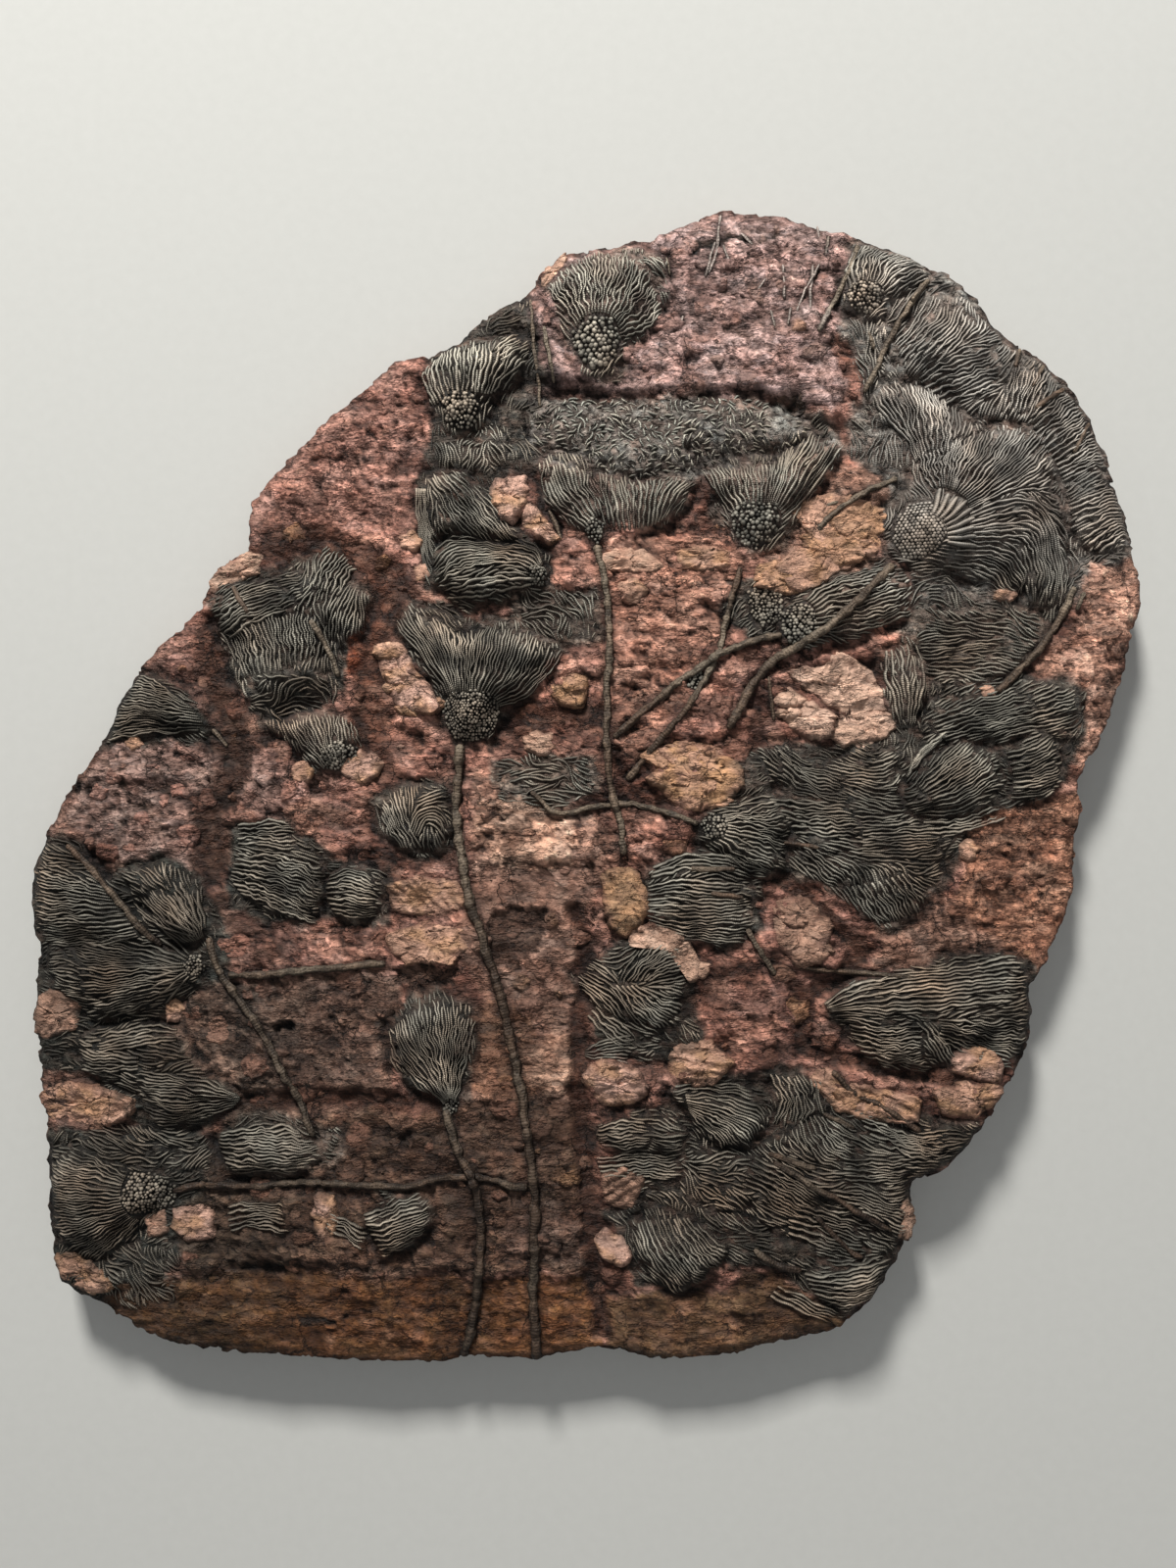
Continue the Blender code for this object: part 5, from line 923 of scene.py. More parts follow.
FLAKE_S = terrace(3.6 * fbm(WX / 26, WY / 15, 3, 64, 0.6) + 0.3 * FACET_S, 0.20) - 0.5
HACK = np.maximum(0, 0.62 - np.abs(perlin(WX / 22, WY / 7.5, 65)) * 3.2) * (perlin(GX / 46, GY / 40, 66) > -0.1)
SWELL = fbm(WARP_X2 / 60 + GX / 84, WARP_Y2 / 50 + GY / 60, 3, 68) + 0.35 * (ridged(WX / 62, WY / 44, 3, 69) - 0.3)

KINDS = ("smooth", "rough", "chalk", "ribbed", "bed", "rubble")


def ribs():
    """Short ridges whose lie changes from patch to patch, as on the bedding side of a broken shell bed."""
    _, _, ident = cells(WX / 55, WY / 55, 67)
    a = ident * math.pi
    v = -np.sin(a) * GX + np.cos(a) * GY
    return np.sin(v / 1.75 + 2.2 * CLOUD + 0.8 * CLOUD_S) * (0.55 + 0.45 * perlin(GX / 19, GY / 19, 71))


RIB = ribs()
FINISH = {  # millimetres
    "smooth": 1.9 * FLAKE + 0.7 * FLAKE_S + 0.5 * RIDGE_H + 0.9 * FACET_L + 0.45 * FACET_S + 0.25 * FACET_T
              - 2.0 * HACK + 5.0 * SWELL + 0.15 * CLOUD_S - 0.2,
    "rough": 1.2 * FLAKE + 0.7 * FLAKE_S + 0.5 * RIDGE + 0.5 * RIDGE_H + 0.3 * CLOUD_S + 0.8 * FACET_S + 0.6 * FACET_T
             - 1.2 * PIT - 1.1 * HACK + 3.4 * SWELL - 0.6,
    "chalk": 1.2 * FLAKE + 0.8 * FLAKE_S + 1.6 * FACET_L + 1.1 * FACET_S + 0.5 * RIDGE_H - 1.5 * HACK + 3.6 * SWELL,
    "ribbed": 1.2 * RIB + 1.2 * FACET_L + 0.6 * RIDGE_H + 0.6 * FLAKE + 3.0 * SWELL,
    "bed": 0.8 * BEDDING + 0.8 * CLOUD + 0.6 * RIDGE + 0.3 * CLOUD_S + 0.5 * FACET_L + 1.1 * FLAKE + 0.5 * FLAKE_S
           + 1.5 * SWELL,
    "rubble": 2.8 * LUMP * (0.3 + PIT_ID) + 1.4 * RIDGE_H + 0.9 * CLOUD_S + 1.0 * FLAKE + 3.0 * SWELL - 1.6,
}

# ------------------------------------------------------------------ colour and finish by patch
AMOUNT = {k: np.zeros(GX.shape) for k in KINDS}
AMOUNT["smooth"][:] = 1.0
FELTED = np.zeros(GX.shape)
rng = np.random.default_rng(5)
blend_noise = 0.5 * CLOUD + 0.5 * CLOUD_S
mix_red = ease(0.5 + 1.1 * CLOUD)[..., None]
COLOUR = srgb(*PALETTE["filler"]) * (1 - 0.5 * mix_red) + srgb(*PALETTE["red_mid"]) * 0.5 * mix_red
# darker filler where the face lies low (painted shade in the low parts) and in random patches (real colour)
mix_dark = ease(0.35 - 2.2 * SWELL + 0.6 * CLOUD)[..., None]
COLOUR = COLOUR * (1 - 0.8 * mix_dark) + srgb(*PALETTE["filler_dark"]) * 0.8 * mix_dark
HUE = fbm(GX / 34 + 7, GY / 28, 3, 72)
COLOUR = COLOUR * (1 + 0.25 * HUE[..., None] * np.array([0.7, -0.2, -0.5]))
FELTS, BLOCKS = [], []
for colour, kind, lift, soft, ring in ZONES:
    if soft <= 4 and lift > 0:  # a broken piece of its own
        BLOCKS.append((colour, kind, lift, ring))
        continue
    w = window(ring, 34)
    sd = depth_in(GX[w] + 1.2 * WARP_X2[w], GY[w] + 1.2 * WARP_Y2[w], ring) + 6.0 * blend_noise[w]
    a = ease(sd / soft + 0.5)
    tone = srgb(*PALETTE[colour]) * (0.94 + 0.12 * rng.random())
    tone = tone * (1 + 0.22 * HUE[w][..., None] * np.array([0.7, -0.2, -0.5]) + 0.16 * CLOUD[w][..., None])
    COLOUR[w] = COLOUR[w] * (1 - a[..., None]) + tone * a[..., None]
    for k in KINDS:
        AMOUNT[k][w] = AMOUNT[k][w] * (1 - a) + (a if k == kind else 0)
    GROUND[w] += 0.001 * lift * ease(sd / 5 + 0.4)
    if colour in ("dark", "dark_grey", "grey", "grey_brown") and kind in ("rough", "rubble"):
        FELTED[w] = np.maximum(FELTED[w], a)
    else:
        FELTED[w] *= 1 - a

for piece, top, ring in CROWNS:  # ragged margins of matted arms round the crowns
    w = window(ring, 44)
    sd = depth_in(GX[w] + 0.8 * WARP_X2[w], GY[w] + 0.8 * WARP_Y2[w], ring)
    reach = 5.0 + 26.0 * fbm(GX[w] / 44 + 9, GY[w] / 44, 3, 73)
    a = ease((sd + np.maximum(reach, 0)) / 7.0) * (sd > -40) * (1 - SEAM[w])
    low = ease((GY[w] - 700) / 400)[..., None]
    tone = (srgb(*PALETTE["grey_brown"]) * (1 - low) + srgb(*PALETTE["dark_grey"]) * low) * (1 + 0.3 * CLOUD[w][..., None])
    b = (0.8 * a * (1 - FELTED[w]))[..., None]
    COLOUR[w] = COLOUR[w] * (1 - b) + tone * b
    FELTED[w] = np.maximum(FELTED[w], a)
seam_tone = srgb(*PALETTE["seam"]) * (1 + 0.3 * CLOUD[..., None])
COLOUR = COLOUR * (1 - 0.93 * SEAM[..., None]) + seam_tone * 0.93 * SEAM[..., None]
FELTED *= 1 - SEAM
SURFACE = sum(AMOUNT[k] * FINISH[k] for k in KINDS)
CENTRE = ease((GX - 400) / 40) * ease((612 - GX) / 30) * ease((GY - 850) / 60) * ease((1300 - GY) / 60)
CALM = (1 - 0.65 * SEAM) * (1 - 0.35 * CENTRE)  # mud in the cracks is smoother, and so is the middle of the slab


# ------------------------------------------------------------------ mesh making
def make_mesh(name, verts, faces, attributes, sharp=None):
    """One object from arrays: faces is a list of index arrays, each with one face a row."""
    verts = np.asarray(verts, np.float32)
    faces = [np.asarray(f, np.int32) for f in faces if len(f)]
    loops = np.concatenate([f.ravel() for f in faces])
    sizes = np.concatenate([np.full(len(f), f.shape[1], np.int32) for f in faces])
    starts = np.concatenate([[0], np.cumsum(sizes)[:-1]]).astype(np.int32)
    mesh = bpy.data.meshes.new(name)
    mesh.vertices.add(len(verts))
    mesh.vertices.foreach_set("co", verts.ravel())
    mesh.loops.add(len(loops))
    mesh.loops.foreach_set("vertex_index", loops)
    mesh.polygons.add(len(sizes))
    mesh.polygons.foreach_set("loop_start", starts)
    mesh.polygons.foreach_set("loop_total", sizes)
    mesh.update(calc_edges=True)
    for key, values in attributes.items():
        values = np.asarray(values, np.float32)
        if values.ndim == 2:
            attr = mesh.attributes.new(key, "FLOAT_COLOR", "POINT")
            rgba = np.ones((len(verts), 4), np.float32)
            rgba[:, :3] = values
            attr.data.foreach_set("color", rgba.ravel())
        else:
            attr = mesh.attributes.new(key, "FLOAT", "POINT")
            attr.data.foreach_set("value", values)
    mesh.shade_smooth()
    if sharp:
        mesh.set_sharp_from_angle(angle=math.radians(sharp))
    mesh.validate()
    obj = bpy.data.objects.new(name, mesh)
    bpy.context.scene.collection.objects.link(obj)
    return obj


class Heap:
    """Collects many small shapes that become one mesh."""

    def __init__(self):
        self.verts, self.quads, self.tris, self.tone, self.crest, self.along = [], [], [], [], [], []
        self.count = 0

    def add(self, verts, quads, tris, tone, crest, along):
        self.verts.append(verts)
        if len(quads):
            self.quads.append(quads + self.count)
        if len(tris):
            self.tris.append(tris + self.count)
        self.tone.append(tone)
        self.crest.append(crest)
        self.along.append(along)
        self.count += len(verts)

    def triangles(self):
        return 2 * sum(map(len, self.quads)) + sum(map(len, self.tris))

    def mesh(self, name):
        return make_mesh(name, np.vstack(self.verts),
                         [np.vstack(self.quads) if self.quads else [], np.vstack(self.tris) if self.tris else []],
                         {"Col": np.vstack(self.tone), "crest": np.concatenate(self.crest),
                          "along": np.concatenate(self.along)})


# the crest values paint a highlight along the top of each strand and shade on its flanks
ARM_RING = np.array([(-1.0, -0.95), (-0.88, -0.05), (-0.42, 0.74), (0.0, 1.0), (0.42, 0.74), (0.88, -0.05), (1.0, -0.95)])
ARM_CREST = np.array([0.0, 0.22, 0.80, 1.0, 0.80, 0.22, 0.0])

FELT_RING = np.array([(-1.0, -0.9), (-0.70, 0.25), (0.0, 1.0), (0.70, 0.25), (1.0, -0.9)])
FELT_CREST = np.array([0.0, 0.3, 1.0, 0.3, 0.0])


def tube(heap, path, half, rise, ring, crest, tone):
    """A closed strand along path (metres), half wide and rise high, with its section's points and their crest value."""
    n, k = len(path), len(ring)
    t = np.gradient(path, axis=0)
    t /= np.linalg.norm(t, axis=1)[:, None] + 1e-12
    side = np.column_stack([t[:, 1], -t[:, 0], np.zeros(n)])
    side /= np.linalg.norm(side, axis=1)[:, None] + 1e-12
    up = np.cross(side, t)
    half, rise = np.broadcast_to(half, n), np.broadcast_to(rise, n)
    pts = (path[:, None] + side[:, None] * (ring[None, :, 0:1] * half[:, None, None])
           + up[:, None] * (ring[None, :, 1:2] * rise[:, None, None]))
    verts = np.vstack([pts.reshape(-1, 3), path[:1], path[-1:]])
    a = np.arange(n - 1)[:, None] * k
    j = np.arange(k)[None]
    j2 = (j + 1) % k
    quads = np.stack([a + j, a + j2, a + k + j2, a + k + j], -1).reshape(-1, 4)
    first, last = n * k, n * k + 1
    j = np.arange(k)
    caps = np.vstack([np.column_stack([np.full(k, first), (j + 1) % k, j]),
                      np.column_stack([np.full(k, last), (n - 1) * k + j, (n - 1) * k + (j + 1) % k])])
    step = np.concatenate([[0], np.cumsum(np.linalg.norm(np.diff(path, axis=0), axis=1))])
    tone = np.broadcast_to(tone, (n, 3))
    heap.add(verts, quads, caps, np.vstack([np.repeat(tone, k, 0), tone[:1], tone[-1:]]),
             np.concatenate([np.tile(crest, n), [0.2, 0.2]]), np.concatenate([np.repeat(step, k), [step[0], step[-1]]]))


HEX = np.array([(math.cos(math.radians(a)), math.sin(math.radians(a))) for a in range(0, 360, 60)])


def bead(heap, centre, normal, r, h, turn, tone, flat=0.55):
    """A low rounded plate or bead: two rings of six and a top."""
    z = normal / np.linalg.norm(normal)
    x = np.cross([math.sin(turn), math.cos(turn), 0.03], z)
    x /= np.linalg.norm(x)
    y = np.cross(z, x)
    rows = [(1.0, -0.5), (0.93, 0.25), (flat, 0.84)]
    verts = [centre + (x * c + y * s) * r * f + z * h * g for f, g in rows for c, s in HEX]
    verts.append(centre + z * h)
    verts.append(centre - z * h * 0.5)
    j = np.arange(6)
    j2 = (j + 1) % 6
    quads = np.vstack([np.column_stack([6 * q + j, 6 * q + j2, 6 * q + 6 + j2, 6 * q + 6 + j]) for q in (0, 1)])
    tris = np.vstack([np.column_stack([12 + j, 12 + j2, np.full(6, 18)]),
                      np.column_stack([j2, j, np.full(6, 19)])])
    # crest values: painted highlight on the top of each bead, painted shade at its foot
    crest = np.concatenate([np.zeros(6), np.full(6, 0.42), np.full(6, 0.9), [1.0, 0.0]])
    heap.add(np.array(verts), quads, tris, np.tile(tone, (20, 1)), crest, np.zeros(20))

# ------------------------------------------------------------------ the arms' lines in plan
SAMPLES = 64
FINER = 0.68
HIT = np.zeros(GX.shape)
COS2, SIN2 = np.zeros(GX.shape), np.zeros(GX.shape)
STRANDS = {}  # piece: list of (plan points, half width, lift, tone, how far sunk in the mud)
# mud left on the arms: they dip under it in ragged patches
MUD = fbm((GX + WARP_X) / 34, (GY + WARP_Y) / 34, 4, 401)


def stamp(path, value=1.0):
    p = resample(path, max(2, int(len(path) * 3)))
    ix = np.clip(np.round(p[:, 0]).astype(int), 0, W - 1)
    iy = np.clip(np.round(p[:, 1] - Y0).astype(int), 0, GX.shape[0] - 1)
    v = np.interp(np.linspace(0, 1, len(p)), np.linspace(0, 1, np.size(value)), np.atleast_1d(value)) \
        if np.size(value) > 1 else value
    HIT[iy, ix] = np.maximum(HIT[iy, ix], v)
    d = np.gradient(p, axis=0)
    a = 2 * np.arctan2(d[:, 1], d[:, 0])
    COS2[iy, ix] = np.cos(a)
    SIN2[iy, ix] = np.sin(a)


def across(lines, u):
    """A line between the guide lines, on a smooth curve across them."""
    k = int(min(max(math.floor(u), 0), len(lines) - 2))
    t = u - k
    a, b = lines[k], lines[k + 1]
    before = lines[k - 1] if k > 0 else 2 * a - b
    after = lines[k + 2] if k + 2 < len(lines) else 2 * b - a
    return 0.5 * (2 * a + (b - before) * t + (2 * before - 5 * a + 4 * b - after) * t ** 2
                  + (3 * a - before - 3 * b + after) * t ** 3)


def lateral(path):
    d = np.gradient(path, axis=0)
    d /= np.hypot(d[:, 0], d[:, 1])[:, None] + 1e-9
    return np.column_stack([-d[:, 1], d[:, 0]])


def length_of(path):
    return float(np.hypot(*np.diff(path, axis=0).T).sum())


def sunk(path, bias):
    """0 where the arm is clean, 1 where it has gone under the mud."""
    return ease((sample(MUD, path[:, 0], path[:, 1]) + bias) * 5.0)


def spread_fan(piece, pitch, fork, wave, lift, guides, seed):
    r = np.random.default_rng(seed)
    lines = [resample(smooth_path(g, 2.0), SAMPLES) for g in guides]
    k = int(0.74 * SAMPLES)
    pitch *= FINER
    gaps = [np.hypot(*(b[k] - a[k])) for a, b in zip(lines, lines[1:])]
    marks = np.concatenate([[0], np.cumsum(gaps)])
    n = max(3, int(round(marks[-1] / pitch)) + 1)
    us = np.interp(np.linspace(0, marks[-1], n), marks, np.arange(len(lines)))
    arms = np.array([across(lines, u) for u in us])
    t = np.linspace(0, 1, SAMPLES)
    start = np.zeros(n)
    first = int(r.integers(0, 2)) if n > 5 else 0
    if fork > 0:
        for i in range(first, n - 1, 2):
            at = fork * (0.65 + 0.9 * r.random())
            mean = 0.5 * (arms[i] + arms[i + 1])
            part = ease((t - at) / 0.16)[:, None]
            arms[i] = mean + (arms[i] - mean) * part
            arms[i + 1] = mean + (arms[i + 1] - mean) * part
            start[i + (1 if r.random() < 0.5 else 0)] = max(0.0, at + 0.015)
    shift = r.random() * 100
    total = length_of(arms[n // 2])
    s = t * total
    for i in range(n):
        a = ease(t / 0.18)
        sway = (2.1 * wave * perlin(s / 17 + shift, i * 0.17 + shift, 3)
                + 1.15 * wave * perlin(s / 6.8 + 2 * shift, i * 0.45 + shift, 5)
                + 0.55 * wave * perlin(s / 3.4 + 3 * shift, i * 1.1 + shift, 6))
        arms[i] = arms[i] + lateral(arms[i]) * (sway * a)[:, None]
    gap = np.full((n, SAMPLES), 99.0)
    for i in range(n):
        for j in (i - 2, i - 1, i + 1, i + 2):
            if 0 <= j < n:
                d = np.hypot(*(arms[i] - arms[j]).transpose(1, 0))
                alive = t >= start[j] + 0.02
                merged = (d < 0.8) | ~alive
                gap[i] = np.minimum(gap[i], np.where(merged, 99.0, d / (1 if abs(i - j) == 1 else 1.6)))
    gap = np.minimum(gap, pitch * 1.25)
    for i in range(n):
        lo = start[i]
        hi = 1.0 - 0.14 * r.random() ** 2 - (0.3 * r.random() if r.random() < 0.16 else 0)
        m = max(4, int((hi - lo) * total / 3.0) + 1)
        tt = np.linspace(lo, hi, m)
        path = np.column_stack([np.interp(tt, t, arms[i][:, 0]), np.interp(tt, t, arms[i][:, 1])])
        off = np.flatnonzero(sample(RIM, path[:, 0], path[:, 1]) < 3.0)
        if len(off) and off[0] < m:  # the edge of the slab cuts it
            m = off[0]
            if m < 4:
                continue
            tt, path = tt[:m], path[:m]
        half = np.clip(0.46 * np.interp(tt, t, gap[i]), 0.8, 2.2)
        half = half * (0.90 + 0.20 * r.random()) * (1 - 0.45 * ease((tt - 0.86) / 0.14))
        up = lift * (0.50 + 0.9 * perlin(tt * total / 15 + 3 * shift, np.full(m, i * 0.4), 9)
                     + 0.5 * perlin(tt * total / 6 + 5 * shift, np.full(m, i * 0.8), 19) + 0.35 * (r.random() - 0.5))
        down = sunk(path, -0.42)
        shade = (0.74 + 0.40 * r.random()) * (1 + 0.45 * perlin(tt * total / 9 + 7 * shift, np.full(m, i * 1.3), 29))
        STRANDS.setdefault(piece, []).append((path, half, up, shade, down))
        stamp(path, 1 - down)


for number, (piece, pitch, fork, wave, lift, guides) in enumerate(FANS):
    spread_fan(piece, pitch, fork, wave, lift, guides, 1000 + number)

# ------------------------------------------------------------------ arms matted together: lines that follow a lie
for k_ in range(9):  # the fused bases of the arms on the largest crown
    a_ = math.radians(-70 + 9.5 * k_)
    u_ = np.array([math.cos(a_), math.sin(a_)])
    base_ = np.array([938.0, 553.0])
    path_ = resample(np.array([base_ + 25 * u_, base_ + 36 * u_ + 0.8, base_ + 47 * u_, base_ + (55 + 3 * math.sin(5 * k_)) * u_]), 7)
    STRANDS.setdefault("crown_big_right", []).append(
        (path_, np.array([2.2, 2.7, 3.1, 3.4, 3.6, 3.3, 2.4]), np.full(7, 0.9) + 0.4 * math.sin(3.1 * k_),
         np.full(7, 0.82 + 0.14 * math.sin(7.7 * k_)), np.zeros(7)))
    stamp(path_, np.ones(7))
for piece, base_, first_, last_, count_, reach_ in (
        ("crown_left_twin_lower", (202.0, 986.0), 132, 226, 9, 52), ("crown_left_twin_upper", (212.0, 960.0), 198, 258, 7, 56)):
    for k_ in range(count_):  # thick bases of arms that fork further out
        a_ = math.radians(first_ + (last_ - first_) * k_ / (count_ - 1))
        u_ = np.array([math.cos(a_), math.sin(a_)])
        bow_ = np.array([-u_[1], u_[0]]) * 1.6 * math.sin(2.3 * k_)
        q_ = np.array(base_)
        path_ = resample(np.array([q_ + 14 * u_, q_ + 24 * u_ + bow_, q_ + 0.7 * reach_ * u_ - 0.5 * bow_,
                                   q_ + (reach_ + 4 * math.sin(5 * k_)) * u_]), 8)
        STRANDS.setdefault(piece, []).append(
            (path_, np.array([1.3, 1.5, 1.7, 1.9, 2.0, 2.0, 1.8, 1.3]), np.full(8, 0.9) + 0.3 * math.sin(3.1 * k_),
             np.full(8, 0.86 + 0.12 * math.sin(7.7 * k_)), np.zeros(8)))
        stamp(path_, np.ones(8))
CUP_MASK = np.zeros(GX.shape, bool)
for _, _, _, _, ring in CUPS:
    CUP_MASK |= inside(GX, GY, ring)
LABELS = ["", "felt_upper", "felt_middle", "felt_lower", "felt_bottom"]
LABEL = np.zeros(GX.shape, np.int32)
for number, (lo, hi) in enumerate(((196, 480), (480, 800), (800, 1080), (1080, 1408))):
    band = (GY >= lo) & (GY < hi)
    LABEL[band & (FELTED > 0.45)] = number + 1
LOOSE = np.ones(GX.shape)  # how much the lie wanders
LIE_C = box_blur(COS2, 8, 3) + 0.08 * box_blur(COS2, 40, 2)
LIE_S = box_blur(SIN2, 8, 3) + 0.08 * box_blur(SIN2, 40, 2)
SIZE = np.sqrt(LIE_C ** 2 + LIE_S ** 2) + 1e-5
LIE_C, LIE_S = LIE_C / SIZE, LIE_S / SIZE
for number, (piece, top, ring) in enumerate(CROWNS):
    w = window(ring, 8)
    m = depth_in(GX[w] + 0.9 * WARP_X[w], GY[w] + 0.9 * WARP_Y[w], ring) > -2.5
    if piece not in LABELS:
        LABELS.append(piece)
    LABEL[w][m] = LABELS.index(piece)
    LOOSE[w][m] = 0.45
for number, (piece, ring, lie, spread, pitch) in enumerate(MATS):
    w = window(ring, 12)
    sd = depth_in(GX[w] + 1.2 * WARP_X[w], GY[w] + 1.2 * WARP_Y[w], ring)
    m = sd > 0
    if piece not in LABELS:
        LABELS.append(piece)
    LABEL[w][m] = LABELS.index(piece)
    a = ease(sd / 14 + 0.4)
    for field, value in ((LIE_C, math.cos(2 * math.radians(lie))), (LIE_S, math.sin(2 * math.radians(lie)))):
        field[w] = field[w] * (1 - 0.8 * a) + value * 0.8 * a
    LOOSE[w] = LOOSE[w] * (1 - a) + (0.35 + spread / 60.0) * a
LABEL[(RIM < 3.5) | CUP_MASK] = 0
_, _, patch = cells((GX + 1.2 * WARP_X) / 30, (GY + 1.2 * WARP_Y) / 30, 405)
LIE = 0.5 * np.arctan2(LIE_S, LIE_C) + LOOSE * (1.5 * fbm(GX / 38, GY / 38, 2, 403) + 1.0 * (patch - 0.5)
                                                 + 0.5 * perlin(GX / 12, GY / 12, 404))
LIE = np.where(LABEL == LABELS.index("arm_mat_upper_middle"), LIE + 2.6 * perlin(GX / 9, GY / 9, 406), LIE)
NEAR_TO, NEAR_START = np.zeros(GX.shape, bool), np.zeros(GX.shape, bool)


def disc(radius):
    k = int(math.ceil(radius))
    oy, ox = np.mgrid[-k:k + 1, -k:k + 1]
    hit = ox * ox + oy * oy <= radius * radius
    return ox[hit], oy[hit]


def keep_off(path, discs):
    p = resample(path, max(2, int(length_of(path) / 1.2)))
    ix, iy = np.round(p[:, 0]).astype(int), np.round(p[:, 1] - Y0).astype(int)
    for field, (ox, oy) in zip((NEAR_TO, NEAR_START), discs):
        field[np.clip(iy[:, None] + oy, 0, GX.shape[0] - 1), np.clip(ix[:, None] + ox, 0, W - 1)] = True


def flow(pitch_at, seed):
    """Lines side by side along the lie, wherever a label asks for arms and none lie yet."""
    r = np.random.default_rng(seed)
    ca, sa = np.cos(LIE).tolist(), np.sin(LIE).tolist()
    label = LABEL.tolist()
    h = GX.shape[0]
    for strands in STRANDS.values():
        for item in strands:
            keep_off(item[0], (disc(1.5), disc(2.4)))
    NEAR_TO[CUP_MASK] = True
    NEAR_START[CUP_MASK] = True
    pad_to, pad_start = disc(1.8), disc(2.7)
    queue = [item[0] for strands in STRANDS.values() for item in strands]
    crumbled = LABELS.index("arm_mat_upper_middle")
    made = []

    def trace(x0, y0):
        own = label[int(y0 - Y0 + 0.5)][int(x0 + 0.5)]
        if not own:
            return None
        limit = (13 + 24 * r.random()) if own > 4 else (7 + 16 * r.random())
        if own == crumbled:
            limit = 2 + 4 * r.random()
        halves = []
        for sign in (1, -1):
            x, y = x0, y0
            gx_, gy_ = None, None
            points = []
            for _ in range(int(limit)):
                iy, ix = int(y - Y0 + 0.5), int(x + 0.5)
                if not (0 <= iy < h and 0 <= ix < W) or label[iy][ix] != own or NEAR_TO[iy, ix]:
                    break
                dx, dy = ca[iy][ix], sa[iy][ix]
                if gx_ is None:
                    dx, dy = dx * sign, dy * sign
                elif dx * gx_ + dy * gy_ < 0:
                    dx, dy = -dx, -dy
                if gx_ is not None:
                    dx, dy = 0.45 * dx + 0.55 * gx_, 0.45 * dy + 0.55 * gy_
                    q = math.hypot(dx, dy) + 1e-9
                    dx, dy = dx / q, dy / q
                gx_, gy_ = dx, dy
                points.append((x, y))
                x, y = x + 2.4 * dx, y + 2.4 * dy
            halves.append(points)
        line = halves[1][::-1] + halves[0][1:]
        if len(line) < 4:
            return None
        return np.array(line), own

    def offer(x0, y0):
        iy, ix = int(y0 - Y0 + 0.5), int(x0 + 0.5)
        if not (0 <= iy < h and 0 <= ix < W) or NEAR_START[iy, ix] or not label[iy][ix]:
            return
        got = trace(x0, y0)
        if got is None:
            return
        line, own = got
        keep_off(line, (pad_to, pad_start))
        made.append((line, own))
        queue.append(line)

    gy0, gx0 = np.mgrid[Y0 + 4:Y0 + GX.shape[0] - 4:4.0, 4:W - 4:4.0]
    spots = np.column_stack([gx0.ravel(), gy0.ravel()]) + r.random((gx0.size, 2)) * 3 - 1.5
    spots = spots[sample(LABEL.astype(float), spots[:, 0], spots[:, 1]) > 0.5]
    r.shuffle(spots)
    turn = 0
    for spot in [None] + spots.tolist():
        if spot is not None:
            offer(*spot)
        while turn < len(queue):
            line = queue[turn]
            turn += 1
            side = lateral(line)
            for k in range(0, len(line), 3):
                for sign in (-3.3, 3.3):
                    offer(line[k, 0] + sign * side[k, 0], line[k, 1] + sign * side[k, 1])
    return made


WITHIN = box_blur(((LABEL > 0) | CUP_MASK | (RIM < 4)).astype(float), 6, 2)
for number, (line, own) in enumerate(flow(None, 7)):
    piece = LABELS[own]
    felt = own <= 4
    mat = piece.startswith("arm_mat")
    r = np.random.default_rng(5000 + number)
    m = max(4, int(length_of(line) / (3.6 if felt else 3.2)) + 1)
    path = resample(line, m)
    tt = np.linspace(0, 1, m)
    s = tt * length_of(line)
    sway = 1.0 * perlin(s / 7 + number, np.full(m, 0.3), 31) + 0.5 * perlin(s / 3.4 + number, np.full(m, 0.7), 32)
    path = path + lateral(path) * sway[:, None]
    taper = np.minimum(1, 0.45 + 3 * np.minimum(tt, 1 - tt))
    half = (1.35 if felt else 1.50) * taper * (0.78 + 0.40 * r.random())
    up = (0.05 if felt else 0.25) + 0.55 * perlin(s / 13 + number, np.full(m, 0.1), 33) + 0.5 * (r.random() - 0.5)
    border = 1 - sample(WITHIN, path[:, 0], path[:, 1])
    down = sunk(path, (-0.03 if felt else -0.18 if mat else -0.34) + (0.75 if felt else 0.55) * border)
    shade = (0.70 + 0.46 * r.random()) * (1 + 0.4 * perlin(s / 8 + number, np.full(m, 0.9), 34))
    if down.min() > 0.85:
        continue
    STRANDS.setdefault(piece, []).append((path, half, up, shade, down))
    stamp(path, 1 - down)
HIT[CUP_MASK] = 1.0
COVER = np.clip(box_blur(np.where(CUP_MASK, 0.7, HIT), 2, 2) * 2.4, 0, 1)
FELT = np.clip(box_blur(HIT, 7, 2) * 2.2, 0, 1)

# ------------------------------------------------------------------ the stone's final face
FACE = GROUND + DOME - 0.0026 * MOAT * (1 - COVER) \
    + 0.001 * SURFACE * (1 - 0.70 * COVER) * (1 - 0.25 * FELT) * CALM * (1 - 0.6 * np.exp(-np.maximum(RIM, 0) / 6))
BED = box_blur(FACE, 2, 2)


def slope_normal(x, y, field=None):
    f = BED if field is None else field
    zx = (sample(f, x + 2, y) - sample(f, x - 2, y)) / (4 * UNIT)
    zy = (sample(f, x, y + 2) - sample(f, x, y - 2)) / (4 * UNIT)
    n = np.stack([-zx, zy, np.ones_like(zx)], -1)
    return n / np.linalg.norm(n, axis=-1)[..., None]


# ------------------------------------------------------------------ colour of the fossils
# painted shade in the hollows of the bed and painted highlight on its mounds, for the fossils' colour
HOLLOW_SHADE = np.clip(1 + (BED - box_blur(BED, 9, 2)) / 0.0022 * 0.42, 0.40, 1.30)


